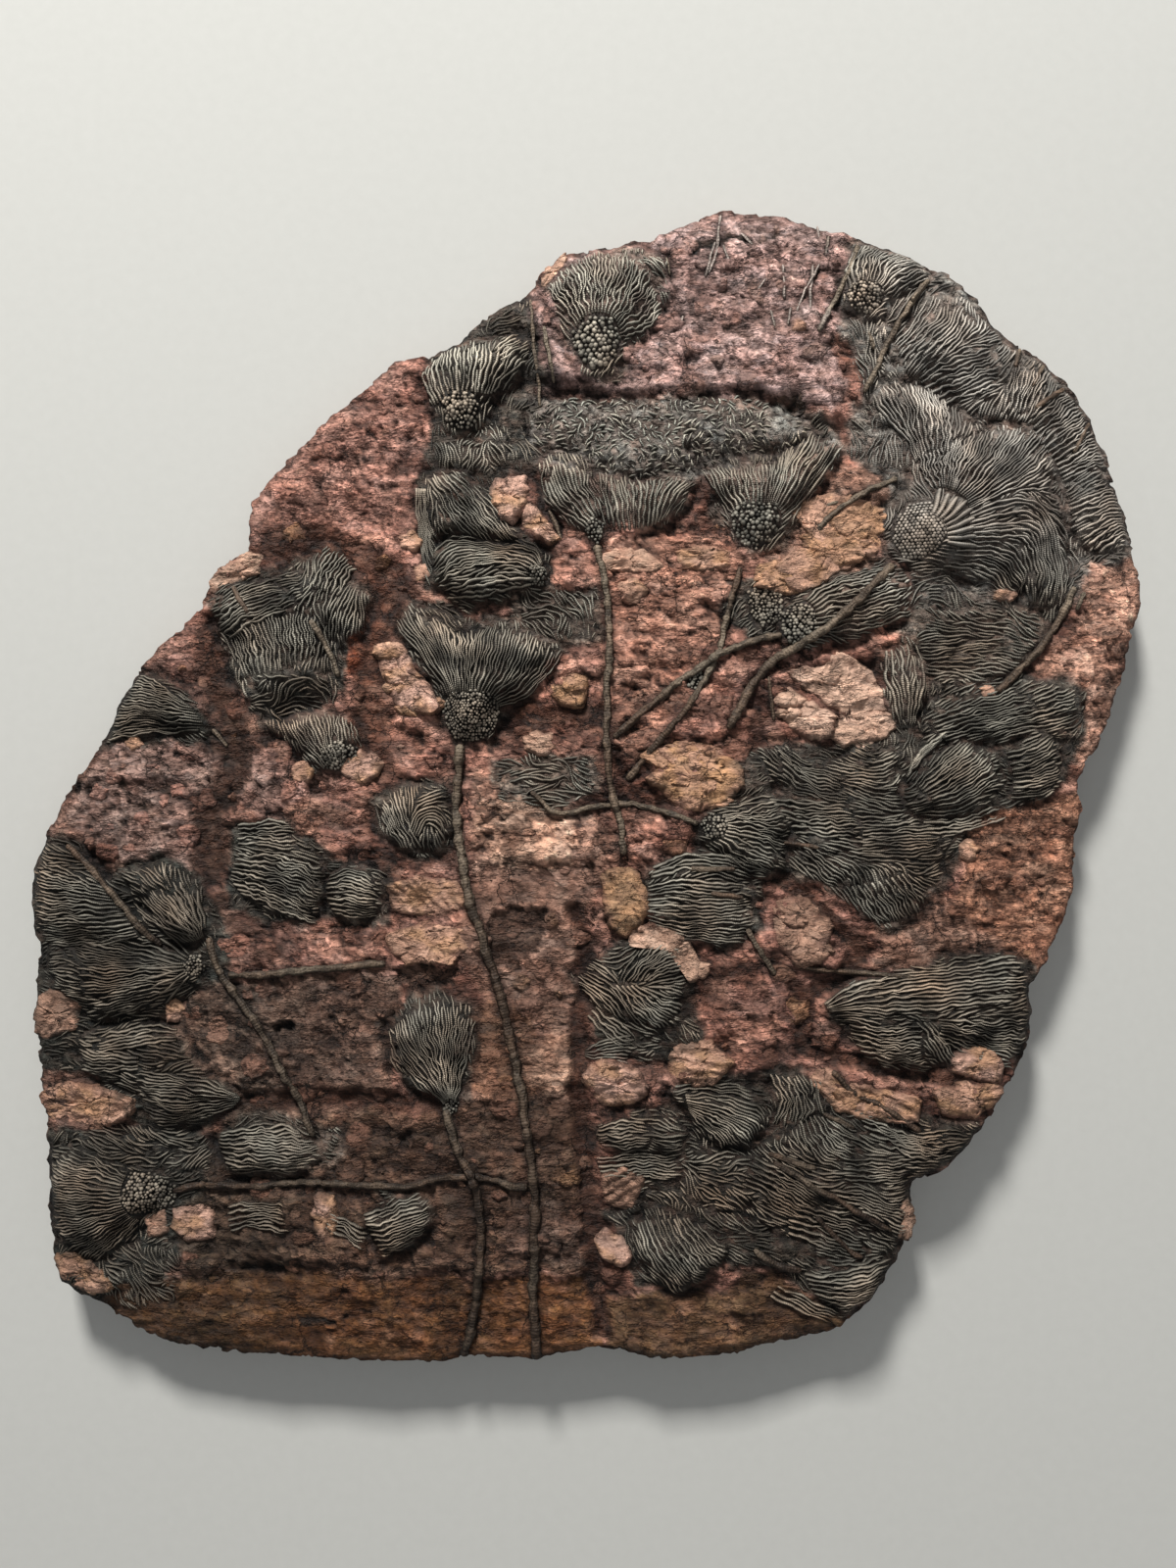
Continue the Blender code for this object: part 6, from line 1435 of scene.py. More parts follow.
def fossil_tone(x, y):
    """Grey calcite, browner to the lower side of the slab; painted light falloff makes it paler to the upper side and
    darker to the lower, and painted shade darkens its hollows.
    """
    down = np.clip((np.asarray(y, float) - 300) / 1000, 0, 1)
    c = fbm(np.asarray(x, float) / 70, np.asarray(y, float) / 70, 3, 91)
    d = fbm(np.asarray(x, float) / 17, np.asarray(y, float) / 17, 2, 92)
    right = ease((np.asarray(x, float) - 840) / 90) * ease((640 - np.asarray(y, float)) / 120)
    pale, mid, brown = srgb(186, 180, 170), srgb(162, 157, 143), srgb(168, 138, 112)
    base = mid + (pale - mid) * (0.10 + 0.90 * right)[..., None]
    warm = np.clip(0.10 + 0.75 * c + 0.22 * down, 0, 0.85)[..., None]
    base = base * (1 - warm) + brown * warm
    # painted light falloff: brighter near the top of the slab, darker towards the bottom (down)
    top = ease((520 - np.asarray(y, float)) / 120)
    return base * ((1.32 - 0.40 * down + 0.34 * d + 0.30 * c) * (1 + 0.22 * top) * sample(HOLLOW_SHADE, x, y))[..., None]


heaps = {}


def heap_of(piece):
    return heaps.setdefault(piece, Heap())


for piece, strands in STRANDS.items():
    heap = heap_of(piece)
    felt = piece.startswith("felt_")
    mat = piece.startswith("arm_mat")
    for path, half, up, shade, down in strands:
        x, y = path[:, 0], path[:, 1]
        m = len(path)
        tt = np.linspace(0, 1, m)
        ends = np.minimum(1, np.minimum(tt * m / 1.6 + 0.25, (1 - tt) * m / 2.4 + 0.0))
        r = half * UNIT
        z = sample(BED, x, y) + 0.0008 * up + 0.0003 - 0.0022 * (1 - ends) - 0.0019 * down
        tone = fossil_tone(x, y) * np.clip(shade, 0.3, 1.4)[:, None]
        stain = np.clip((0.22 if felt else 0.0) + 1.6 * fbm(x / 33 + 4, y / 33, 2, 93) + 0.6 * down, 0, 0.8)[:, None]
        tone = tone * (1 - stain) + sample(COLOUR, x, y) * 1.15 * stain
        stained = fbm(x / 52 + 8, y / 44, 3, 95)
        left = 1 - 0.24 * ease((330 - x) / 160)
        tone = tone * (np.clip(1 + (1.15 if felt else 0.75) * stained, 0.42, 1.7) * left)[:, None]
        if piece == "arm_mat_upper_middle":
            tone = tone * np.array([1.26, 1.33, 1.36])
        if felt:
            tube(heap, place(x, y, z), r, np.maximum(0.0012, 1.05 * r), FELT_RING, FELT_CREST, tone * 0.85)
        elif mat:
            tube(heap, place(x, y, z), r, np.maximum(0.0013, 1.15 * r), FELT_RING, FELT_CREST, tone)
        elif half.max() < 1.75:
            tube(heap, place(x, y, z), r, np.maximum(0.0014, 1.3 * r), FELT_RING, FELT_CREST, tone)
        else:
            tube(heap, place(x, y, z), r, np.maximum(0.0014, 1.25 * r), ARM_RING, ARM_CREST, tone)

rng = np.random.default_rng(77)
for piece, kind, pitch, height, ring in CUPS:
    heap = heap_of(piece)
    pitch *= 0.74 if kind == "bead" else 0.58
    p = np.array(ring, float)
    lo, hi = p.min(0), p.max(0)
    reach = 0.5 * min(hi - lo)
    row = 0
    y = lo[1] - pitch
    while y < hi[1] + pitch:
        x = lo[0] - pitch + (0.5 * pitch if row % 2 else 0)
        while x < hi[0] + pitch:
            loose = 0.24 if kind == "plate" else 0.62
            bx = x + loose * pitch * (rng.random() - 0.5)
            by = y + loose * pitch * (rng.random() - 0.5)
            sd = float(depth_in(np.array([bx]), np.array([by]), ring)[0])
            crest_light_and_wear = float(fbm(np.array([bx / 13]), np.array([by / 13]), 2, 94)[0])
            if sd > 0.15 * pitch + 3.0 * max(0.0, crest_light_and_wear) * pitch / 5:
                dome = 0.0005 * height * math.sqrt(max(0.0, min(1.0, sd / (0.62 * reach)))) + 0.0010 * (rng.random() - 0.5)
                ax, ay = np.array([bx]), np.array([by])
                z = float(sample(BED, ax, ay)[0]) + dome
                n = slope_normal(ax, ay)[0]
                out = np.array([bx - p[:, 0].mean(), -(by - p[:, 1].mean()), 0.0])
                out /= np.linalg.norm(out) + 1e-6
                n = n + out * 0.45 * (1 - min(1.0, sd / (0.62 * reach)))
                size = 0.60 * pitch * UNIT * (0.66 + 0.62 * rng.random() ** 1.3 if kind == "bead" else 0.86 + 0.2 * rng.random())
                flat = 0.66 if kind == "plate" else 0.5
                tone = fossil_tone(np.array([bx]), np.array([by]))[0] * (0.36 + 0.62 * rng.random() + 0.5 * crest_light_and_wear)
                rise = (0.0012 if kind == "plate" else 0.0018) * (pitch / 5)
                bead(heap, place([bx], [by], [z])[0], n, size, rise, rng.random() * 0.5, tone, flat)
            x += pitch
        y += 0.87 * pitch
        row += 1

CROWNED = np.zeros(GX.shape)
for _, _, ring in CROWNS:
    w = window(ring, 6)
    CROWNED[w] = np.maximum(CROWNED[w], ease(depth_in(GX[w], GY[w], ring) / 6 + 0.5))

# ------------------------------------------------------------------ broken pieces of lighter stone, each a closed lump, all in one mesh
SECOND = {"pink": "ochre", "ochre": "pink_tan", "pale": "pink_tan", "pink_tan": "ochre", "pink_light": "pale",
          "pink_brown": "pink_tan", "tan": "ochre"}
SPOT = np.zeros(GX.shape)
block_heap = Heap()


def block(ring, kind, lift, tone_a, tone_b, seed, heap, cell=2.5, wild=1.0, mud=0.5):
    """A broken lump: a jagged outline, steep flanks and a stepped, cracked top. Closed below."""
    r = np.random.default_rng(seed)
    p = np.array(ring, float)
    c = p.mean(0)
    edge = resample(np.vstack([p, p[:1]]), max(14, int(length_of(np.vstack([p, p[:1]])) / cell)) + 1)[:-1]
    out = edge - c
    dist = np.hypot(out[:, 0], out[:, 1])
    out = out / dist[:, None]
    ang = np.arctan2(out[:, 1], out[:, 0])
    size = dist.mean()
    jag = (0.12 * size * perlin(1.6 * np.cos(ang) + seed, 1.6 * np.sin(ang) + 3.3, 201)
           + 1.6 * terrace(1.3 * perlin(edge[:, 0] / 9, edge[:, 1] / 9, 202), 0.3)
           + 1.0 * perlin(edge[:, 0] / 3, edge[:, 1] / 3, 203)) * wild
    dist = np.maximum(2.0, dist + jag)
    for _ in range(int(r.integers(4, 8))):  # straight breaks
        phi = 2 * math.pi * r.random()
        lean_ = out @ np.array([math.cos(phi), math.sin(phi)])
        reach = float(np.max(lean_ * dist)) * (0.84 + 0.14 * r.random())
        dist = np.where(lean_ > 0.25, np.minimum(dist, reach / np.maximum(lean_, 0.25)), dist)
    dist = np.maximum(dist, 2.0) + 0.5 * perlin(edge[:, 0] / 2.6, edge[:, 1] / 2.6, 204)
    edge = c + out * dist[:, None]
    rings = max(4, int(round(size / cell)))
    f = (np.arange(rings, 0, -1) / rings)
    pts = c + (edge - c)[None] * f[:, None, None]
    x, y = pts[..., 0], pts[..., 1]
    sd_ = (1 - f)[:, None] * dist[None]
    a = math.pi * r.random()
    tilt = (r.random(2) - 0.5) * 0.05 * lift
    q = 2.2 * fbm((x + 31 * seed) / 26, (y - 17 * seed) / 18, 2, 205) + 0.9 * facets((x + 3 * seed) / 24, (y + 9 * seed) / 19, 206)
    stepped = (np.floor(q) + ease((q - np.floor(q)) / 0.22)) / 2.2
    rise = np.minimum(1, np.maximum(0, (sd_ + 0.25) / (2.3 + 0.5 * lift))) ** 0.55
    chisel = facets((x + 7 * seed) / 21, (y + 5 * seed) / 14, 207)
    relief = 0.34 * lift * stepped + 1.15 * chisel + 0.30 * facets(x / 8, y / 6.5, 217) + 0.12 * fbm(x / 5, y / 5, 2, 208)
    if kind == "ribbed":
        relief = relief * 0.6 + 0.75 * np.sin((-math.sin(a) * x + math.cos(a) * y) / 1.5 + 2 * perlin(x / 20, y / 20, 209))
    crack_d, crack_e, _ = cells((x + 3 * seed) / 34 + 0.16 * perlin(x / 7, y / 7, 211), (y - 9 * seed) / 26, 210)
    crack = np.exp(-((crack_e - crack_d) / 0.045) ** 2) * (0.4 + 0.6 * (perlin(x / 30, y / 30, 212) > -0.1))
    relief = relief - 1.5 * crack
    lower = sample(BED, x, y)
    level = 0.55 * lower + 0.45 * float(np.median(lower))
    z = level + 0.001 * (rise * (0.75 * lift + relief + (x - c[0]) * tilt[0] + (y - c[1]) * tilt[1]) - 0.9 * (1 - rise))
    k = len(edge)
    top = place(x.ravel(), y.ravel(), z.ravel())
    cz = float(z[-1].mean())
    centre = place([c[0]], [c[1]], [cz])
    foot = place(edge[:, 0], edge[:, 1], z[0] - 0.0035)
    under = place([c[0]], [c[1]], [float(z[0].min()) - 0.0035])
    verts = np.vstack([top, centre, foot, under])
    j = np.arange(k)
    j2 = (j + 1) % k
    quads_ = [np.column_stack([i * k + j, i * k + j2, (i + 1) * k + j2, (i + 1) * k + j]) for i in range(rings - 1)]
    mid_, base_ = rings * k, rings * k + 1
    quads_.append(np.column_stack([base_ + j, base_ + j2, j2, j]))
    tris_ = np.vstack([np.column_stack([(rings - 1) * k + j, (rings - 1) * k + j2, np.full(k, mid_)]),
                       np.column_stack([base_ + j2, base_ + j, np.full(k, base_ + k)])])
    ring_xy = edge
    turn = np.sum(ring_xy[:, 0] * np.roll(ring_xy[:, 1], -1) - np.roll(ring_xy[:, 0], -1) * ring_xy[:, 1])
    quads_ = np.vstack(quads_)
    if turn > 0:  # clockwise seen from above
        quads_, tris_ = quads_[:, ::-1], tris_[:, ::-1]
    m = 0.75 * ease(0.35 + 1.6 * fbm((x + 11 * seed) / 26, y / 20, 3, 213))[..., None]
    tone = tone_a * (1 - m) + tone_b * m
    tone = tone * (0.95 + 0.20 * perlin(x / 15, y / 10, 214) + 0.10 * perlin(x / 3.5, y / 3.5, 215))[..., None]
    # painted highlight on the raised bits of each piece's top and painted shade in its cracks
    painted_relief_light = relief - 0.5 * (np.roll(relief, 2, 1) + np.roll(relief, -2, 1))
    tone = tone * np.clip(0.98 + 0.30 * painted_relief_light + 0.16 * chisel - 0.45 * crack, 0.35, 1.4)[..., None]
    dirt = np.clip(mud * (1.25 * (1 - ease(sd_ / (0.42 * size))) + 1.3 * perlin(x / 14, y / 14, 216) - 0.25), 0, 0.85)[..., None]
    tone = tone * (1 - dirt) + sample(COLOUR, x, y) * 0.85 * dirt
    # painted shade on the steep flanks, painted light falloff towards the bottom of the slab, and painted shade on the
    # foot ring and underside
    tone = tone * (0.55 + 0.45 * rise)[..., None]
    tone = tone * (1.24 - 0.34 * np.clip((y - 300) / 1000, 0, 1))[..., None]
    all_tone_ = np.vstack([tone.reshape(-1, 3), tone[-1].mean(0)[None], 0.4 * tone[0], 0.3 * tone[0].mean(0)[None]])
    n_all = len(verts)
    heap.add(verts, quads_, tris_, np.clip(all_tone_, 0.003, 1), np.ones(n_all), np.zeros(n_all))
    w = window(edge, 4)
    SPOT[w] = np.maximum(SPOT[w], ease(depth_in(GX[w], GY[w], [tuple(q_) for q_ in edge[::2]]) / 3 + 0.8))


rng = np.random.default_rng(303)
for number, (colour, kind, lift, ring) in enumerate(BLOCKS):
    tone_a, tone_b = srgb(*PALETTE[colour]), srgb(*PALETTE[SECOND.get(colour, "brown")])
    whole = np.array(ring, float)
    mid_ = whole.mean(0)
    span_ = 0.5 * (whole.max(0) - whole.min(0))
    large = span_.min() > 29
    block(ring, kind, (1.05 if large else 1.35) * lift, tone_a, tone_b, number + 1, block_heap)
    for k_ in range(int(2 + span_.mean() / 13) if large else 0):  # a large one is broken into smaller pieces
        for _ in range(20):
            at = mid_ + span_ * 1.7 * (rng.random(2) - 0.5)
            if float(depth_in(at[:1], at[1:], ring)[0]) > 5:
                break
        rad = span_.min() * (0.26 + 0.34 * rng.random())
        corners = int(rng.integers(5, 8))
        turn = 6.28 * rng.random()
        flat_ = 0.5 + 0.35 * rng.random()
        shard = [(at[0] + 1.25 * rad * math.cos(turn + (i_ + 0.5 * rng.random()) * 6.283 / corners),
                  at[1] + rad * flat_ * math.sin(turn + (i_ + 0.5 * rng.random()) * 6.283 / corners)) for i_ in range(corners)]
        mixed = 0.25 + 0.75 * rng.random()
        if min(float(sample(RIM, np.array([u_]), np.array([v_]))[0]) for u_, v_ in shard) < 5:
            continue
        block(shard, kind, lift * (1.10 + 0.50 * rng.random()), tone_a * mixed + tone_b * (1 - mixed), tone_b * 0.9,
              2000 + 17 * number + k_, block_heap, 2.7, 1.0, 0.35)
light_blocks = len(BLOCKS)

# lumps of the red rock itself, scattered where the face is bare
lump_heap = Heap()
rng = np.random.default_rng(31)
bare = (1 - np.clip(FELT * 3, 0, 1)) * (1 - FELTED) * (RIM > 14) * (1 - np.clip(SPOT, 0, 1)) * (1 - ease(AMOUNT["bed"]))
placed = []
tries = 0
while len(placed) < 230 and tries < 9000:
    tries += 1
    x, y = 30 + 1140 * rng.random(), 215 + 1180 * rng.random()
    rad = 5 + 15 * rng.random() ** 1.6
    if float(sample(bare, x, y)) < 0.8 or any((x - a_) ** 2 + (y - b_) ** 2 < (0.8 * (rad + c_)) ** 2 for a_, b_, c_ in placed):
        continue
    placed.append((x, y, rad))
    k = int(rng.integers(5, 8))
    turn = rng.random() * 6.28
    stretch = 0.55 + 0.45 * rng.random()
    lie = rng.random() * math.pi if rng.random() < 0.4 else 0.2 * (rng.random() - 0.5)
    ring = []
    for i in range(k):
        t_ = turn + (i + 0.6 * (rng.random() - 0.5)) * 2 * math.pi / k
        u_, v_ = rad * math.cos(t_), rad * stretch * math.sin(t_)
        ring.append((x + u_ * math.cos(lie) - v_ * math.sin(lie), y + u_ * math.sin(lie) + v_ * math.cos(lie)))
    local = sample(COLOUR, np.array([x]), np.array([y]))[0]
    pick = rng.random()
    other = srgb(*PALETTE["pink_brown" if pick < 0.25 else "ochre" if pick < 0.32 else "brown" if pick < 0.6 else "red_mid"])
    tone = local * 0.62 + other * 0.38
    block(ring, "chalk", 0.9 + 0.12 * rad * rng.random(), tone * 1.08, local * 0.95, 500 + len(placed), lump_heap, 2.9, 1.0, 0.7)

# ------------------------------------------------------------------ stems
STEM_SIDES = 10
STEM_RING = np.array([(math.sin(a), math.cos(a)) for a in np.linspace(-math.pi, math.pi, STEM_SIDES, endpoint=False)])
# painted highlight on the top of each stem and painted shade on its underside, through the crest value
STEM_CREST = 0.5 + 0.5 * STEM_RING[:, 1]
STEMTOP = np.full(GX.shape, -1.0)
ARMS_OVER = box_blur(COVER, 3, 2)


def stem_tone(x, y):
    down = np.clip((np.asarray(y, float) - 300) / 1000, 0, 1)
    c = fbm(np.asarray(x, float) / 22, np.asarray(y, float) / 22, 2, 97)
    d = fbm(np.asarray(x, float) / 90, np.asarray(y, float) / 90, 2, 98)
    a, b = srgb(150, 136, 117), srgb(104, 83, 67)
    k = np.clip(0.40 + 0.9 * d + 0.55 * down, 0, 1)[..., None]
    thin = (0.8 * ease((350 - np.asarray(y, float)) / 30) * ease((np.asarray(x, float) - 685) / 12)
            * ease((850 - np.asarray(x, float)) / 12))[..., None]
    # painted light falloff: stems darker towards the bottom of the slab (down)
    return ((a * (1 - k) + b * k) * (1 - thin) + srgb(196, 180, 170) * thin) * (1.05 - 0.62 * down + 0.6 * c)[..., None]


def lay_stem(piece, width, points, seed, crawl=1.0):
    r = np.random.default_rng(seed)
    line = smooth_path(points, 1.9)
    total = length_of(line)
    m = max(5, int(total / 2.1))
    line = resample(line, m)
    s = np.linspace(0, total, m)
    sway = crawl * (1.7 * perlin(s / 38 + seed, np.full(m, 0.5), 13) + 1.1 * perlin(s / 12 + seed, np.full(m, 0.5), 14)
                    + 0.7 * perlin(s / 5 + seed, np.full(m, 0.5), 18))
    line = line + lateral(line) * (sway * np.minimum(1, np.minimum(s, total - s) / 12))[:, None]
    half = 0.38 * width * (1 + 0.26 * perlin(s / 21 + seed, np.full(m, 0.2), 15) + 0.20 * perlin(s / 6 + seed, np.full(m, .7), 16))
    swell = np.zeros(m)
    at = 8 + 14 * r.random()
    while at < total - 6:  # joints: a slight swelling every few plates
        swell += (0.4 + 1.2 * r.random()) * np.exp(-((s - at) / 1.9) ** 2)
        at += 13 + 12 * r.random()
    half = half * (1 + 0.09 * swell - 0.02 * np.cos(s * 2 * math.pi / 5.7))
    for _ in range(int(total / 120)):  # old breaks, with a slight step
        b = r.random() * total
        half = half * (1 - 0.35 * np.exp(-((s - b) / 1.1) ** 2))
        line = line + lateral(line) * ((r.random() - 0.5) * 1.1 * np.tanh((s - b) / 1.2))[:, None]
    taper = np.minimum(1, 0.55 + np.minimum(s, total - s) / 4)
    half = half * taper
    x, y = line[:, 0], line[:, 1]
    ground = sample(BED, x, y) + 0.0011 * sample(ARMS_OVER, x, y)
    pad = np.pad(ground, 6, mode="edge")
    ground = np.maximum(np.convolve(pad, np.ones(13) / 13, "valid"), ground - 0.0015)
    z = ground + 0.30 * half * UNIT
    ix, iy = np.round(x).astype(int), np.round(y - Y0).astype(int)
    iy, ix = np.clip(iy, 0, GX.shape[0] - 1), np.clip(ix, 0, W - 1)
    need = STEMTOP[iy, ix] + 0.55 * half * UNIT
    z2 = np.maximum(z, need)
    over = z2 - z
    pad = np.pad(over, 7, mode="edge")
    soft = np.convolve(pad, np.hanning(15) / np.hanning(15).sum(), "valid")
    z = z + np.maximum(soft, over)
    z = z - 0.3 * half * UNIT * (1 - np.minimum(1, np.minimum(s, total - s) / 6))
    for k in range(m):
        rr = int(math.ceil(half[k]))
        sl = (slice(max(0, iy[k] - rr), iy[k] + rr + 1), slice(max(0, ix[k] - rr), ix[k] + rr + 1))
        STEMTOP[sl] = np.maximum(STEMTOP[sl], z[k] + 0.55 * half[k] * UNIT)
    tone = stem_tone(x, y) * (1 + 0.16 * swell - 0.30 * np.clip(perlin(s / 9 + seed, np.full(m, 0.4), 17), -1, 1))[:, None]
    tube(heap_of(piece), place(x, y, z), half * UNIT, 0.88 * half * UNIT, STEM_RING, STEM_CREST, tone)


for number, (piece, width, points) in enumerate(STEMS):
    lay_stem(piece, width, points, 40 + number)
for number, (width, points) in enumerate(TWIGS):
    lay_stem("stem_fragments", width, points, 140 + number, 0.6)

# ------------------------------------------------------------------ the stone's colours
ARM_CONTACT_SHADOW = box_blur(COVER, 4, 2)
# painted shade and highlight from the relief: hollows darker, crests lighter
fine = FACE - box_blur(FACE, 3, 2)
broad = FACE - box_blur(FACE, 12, 2)
gritty = (1 - 0.15 * AMOUNT["rough"]) * (1 - 0.35 * CENTRE)
shade = np.clip(1 + fine / 0.0010 * 0.60 * gritty, 0.18, 1.52) * np.clip(1 + broad / 0.0030 * 0.85 * gritty, 0.20, 1.38)
STONE = COLOUR * shade[..., None]
lean = np.clip(shade - 1, -0.7, 0.4)[..., None]
STONE = STONE * (1 + lean * np.array([0.0, 0.10, 0.14]))  # painted shade is redder in the hollows, painted highlight paler on the crests
STONE *= (1 + 0.12 * FACET_S + 0.10 * CLOUD)[..., None]
dust = ease(0.5 + 1.3 * fbm(GX / 16, GY / 9, 3, 83) - 0.2)[..., None] * 0.14
STONE = STONE * (1 - dust) + dust * srgb(176, 140, 124)
# broken faces show a paler pink here and there, with crisp edges
flaked = ease((FLAKE_S - np.floor(FLAKE_S) - 0.5) * 0 + (facets(WX / 17, WY / 12, 84) - 0.55) * 4)[..., None]
flaked = flaked * (0.35 + 0.65 * ease(0.5 + 1.6 * CLOUD)[..., None]) * 0.42 * gritty[..., None]
STONE = STONE * (1 - flaked) + flaked * shade[..., None] * (0.45 * COLOUR + 0.55 * srgb(178, 138, 118))
# painted light falloff: the stone darker towards the bottom of the slab
down = np.clip((GY - 300) / 1000, 0, 1)
STONE *= (1.44 - 0.56 * down)[..., None]
STONE *= (np.clip(1 + 1.0 * SWELL, 0.50, 1.30) * (1 - 0.30 * np.clip(HACK, 0, 1)))[..., None]  # painted shade: the deeper parts and the hack marks darker
dusky = 1 - 0.24 * ease((340 - GX) / 120) * ease((GY - 640) / 100)
STONE *= dusky[..., None] * (1 - 0.10 * ease((340 - GX) / 120) * ease((GY - 640) / 100))[..., None] ** np.array([1.6, 0.4, 0.2])
# painted shadow on the stone round the loose pieces of limestone
STONE *= (1 - 0.45 * np.clip(box_blur(SPOT, 3, 2) * 1.2, 0, 1))[..., None]
high = (ease((660 - GY) / 200) * ease((GX - 520) / 160))[..., None]  # paler in the upper right
ARM_BED_TONE_AND_SHADE = (srgb(17, 15, 12) * (1 - high) + srgb(80, 73, 68) * high) * (1.0 + 0.4 * CLOUD[..., None])
# dark ground under the arms: partly the dark matrix, partly painted shade in the gaps between the arms, with a painted
# contact shadow round their edges
under = np.clip(0.97 * COVER + 0.20 * ARM_CONTACT_SHADOW * (1 - COVER), 0, 1)
under = (under * (1 - 0.35 * FELTED * (1 - CROWNED)))[..., None]
STONE = STONE * (1 - under) + ARM_BED_TONE_AND_SHADE * under
# painted contact shadow on the stone along the stems
stem_contact_shadow = box_blur((STEMTOP > 0).astype(float), 2, 2)[..., None]
STONE *= 1 - 0.62 * np.clip(stem_contact_shadow * 1.8, 0, 1)

# ------------------------------------------------------------------ the stone itself, one closed body
CELL = 3.12
x_nodes = np.arange(18.0, 1182.0, CELL)
y_nodes = np.arange(204.0, 1408.0, CELL)
if len(x_nodes) % 2 == 0:
    x_nodes = x_nodes[:-1]
if len(y_nodes) % 2 == 0:
    y_nodes = y_nodes[:-1]
NX, NY = len(x_nodes), len(y_nodes)
nx_, ny_ = np.meshgrid(x_nodes, y_nodes)
EDGE = RIM + 2.4 * perlin(GX / 13, GY / 13, 101) + 1.5 * perlin(GX / 6.2, GY / 6.2, 102) \
    + 2.2 * np.minimum(0, perlin(GX / 24, GY / 24, 103)) + 1.4 * np.clip(facets(GX / 17, GY / 17, 104), -1, 0.4)
sd = sample(EDGE, nx_, ny_)
soft_edge = box_blur(EDGE, 1, 1)
gy_, gx_ = np.gradient(soft_edge)
norm = np.hypot(gx_, gy_) + 1e-6
snap = np.abs(sd) < 0.5 * CELL
ux, uy = sample(gx_ / norm, nx_, ny_), sample(gy_ / norm, nx_, ny_)
for _ in range(2):
    step = sample(EDGE, nx_, ny_)
    nx_ = np.where(snap, nx_ - np.clip(step, -CELL, CELL) * 0.9 * ux, nx_)
    ny_ = np.where(snap, ny_ - np.clip(step, -CELL, CELL) * 0.9 * uy, ny_)
good = snap | (sd > 0)
interior = (sd > 0) & ~snap
jitter = 0.24 * CELL
jx = np.where(interior, (hash2(np.arange(NX)[None] + np.zeros((NY, 1), np.int64), np.arange(NY)[:, None], 5) / 4294967296.0 - 0.5) * jitter, 0)
jy = np.where(interior, (hash2(np.arange(NX)[None] + np.zeros((NY, 1), np.int64), np.arange(NY)[:, None], 6) / 4294967296.0 - 0.5) * jitter, 0)
nx_ += jx
ny_ += jy
index = np.arange(NX * NY).reshape(NY, NX)
hidden = sample(np.maximum(box_blur(COVER, 2, 1) - 0.12, box_blur(SPOT, 2, 1) - 0.5), nx_, ny_) > 0.33

a, b = index[:-1, :-1], index[:-1, 1:]
c, d = index[1:, 1:], index[1:, :-1]
gi = good.ravel()
all_in = interior[:-1, :-1] & interior[:-1, 1:] & interior[1:, 1:] & interior[1:, :-1]
hid = hidden[:-1, :-1] & hidden[:-1, 1:] & hidden[1:, 1:] & hidden[1:, :-1] & all_in
block = hid.reshape(NY // 2, 2, NX // 2, 2).all(axis=(1, 3))
in_block = np.repeat(np.repeat(block, 2, 0), 2, 1)
full = all_in & ~in_block
quads = np.stack([a[full], d[full], c[full], b[full]], -1)
border = ~all_in
tri_a = np.stack([a[border], d[border], c[border]], -1)
tri_b = np.stack([a[border], c[border], b[border]], -1)
tri_c = np.stack([a[border], d[border], b[border]], -1)
tri_d = np.stack([b[border], d[border], c[border]], -1)
keep = [gi[t].all(1) for t in (tri_a, tri_b, tri_c, tri_d)]
one = (keep[0].astype(int) + keep[1]) >= (keep[2].astype(int) + keep[3])
tris = [tri_a[keep[0] & one], tri_b[keep[1] & one], tri_c[keep[2] & ~one], tri_d[keep[3] & ~one]]
tris = np.vstack(tris)
# under the arms the surface is coarser; each block is fanned from its middle to meet its neighbours
padded = np.pad(block, 1)
fans = []
by, bx = np.nonzero(block)
i0, j0 = 2 * by, 2 * bx
mid = index[i0 + 1, j0 + 1]
corner = [index[i0, j0], index[i0 + 2, j0], index[i0 + 2, j0 + 2], index[i0, j0 + 2]]
halfway = [index[i0 + 1, j0], index[i0 + 2, j0 + 1], index[i0 + 1, j0 + 2], index[i0, j0 + 1]]
neighbour = [padded[by + 1, bx], padded[by + 2, bx + 1], padded[by + 1, bx + 2], padded[by, bx + 1]]
alone = neighbour[0] & neighbour[1] & neighbour[2] & neighbour[3]
quads = np.vstack([quads, np.stack([c_[alone] for c_ in corner], -1)])
for k in range(4):
    p, q, h, nb = corner[k], corner[(k + 1) % 4], halfway[k], neighbour[k]
    w = ~alone & nb
    fans.append(np.stack([mid[w], p[w], q[w]], -1))
    w = ~alone & ~nb
    fans.append(np.stack([mid[w], p[w], h[w]], -1))
    fans.append(np.stack([mid[w], h[w], q[w]], -1))
tris = np.vstack([tris] + fans)
flat_x, flat_y = nx_.ravel(), ny_.ravel()


def area2(t):
    return ((flat_x[t[:, 1]] - flat_x[t[:, 0]]) * (flat_y[t[:, 2]] - flat_y[t[:, 0]])
            - (flat_x[t[:, 2]] - flat_x[t[:, 0]]) * (flat_y[t[:, 1]] - flat_y[t[:, 0]]))


ar = area2(tris)
tris = tris[np.abs(ar) > 0.05]
ar = area2(tris)
tris[ar > 0] = tris[ar > 0][:, ::-1]  # the drawing's y runs down, so a face that looks up has a negative area here


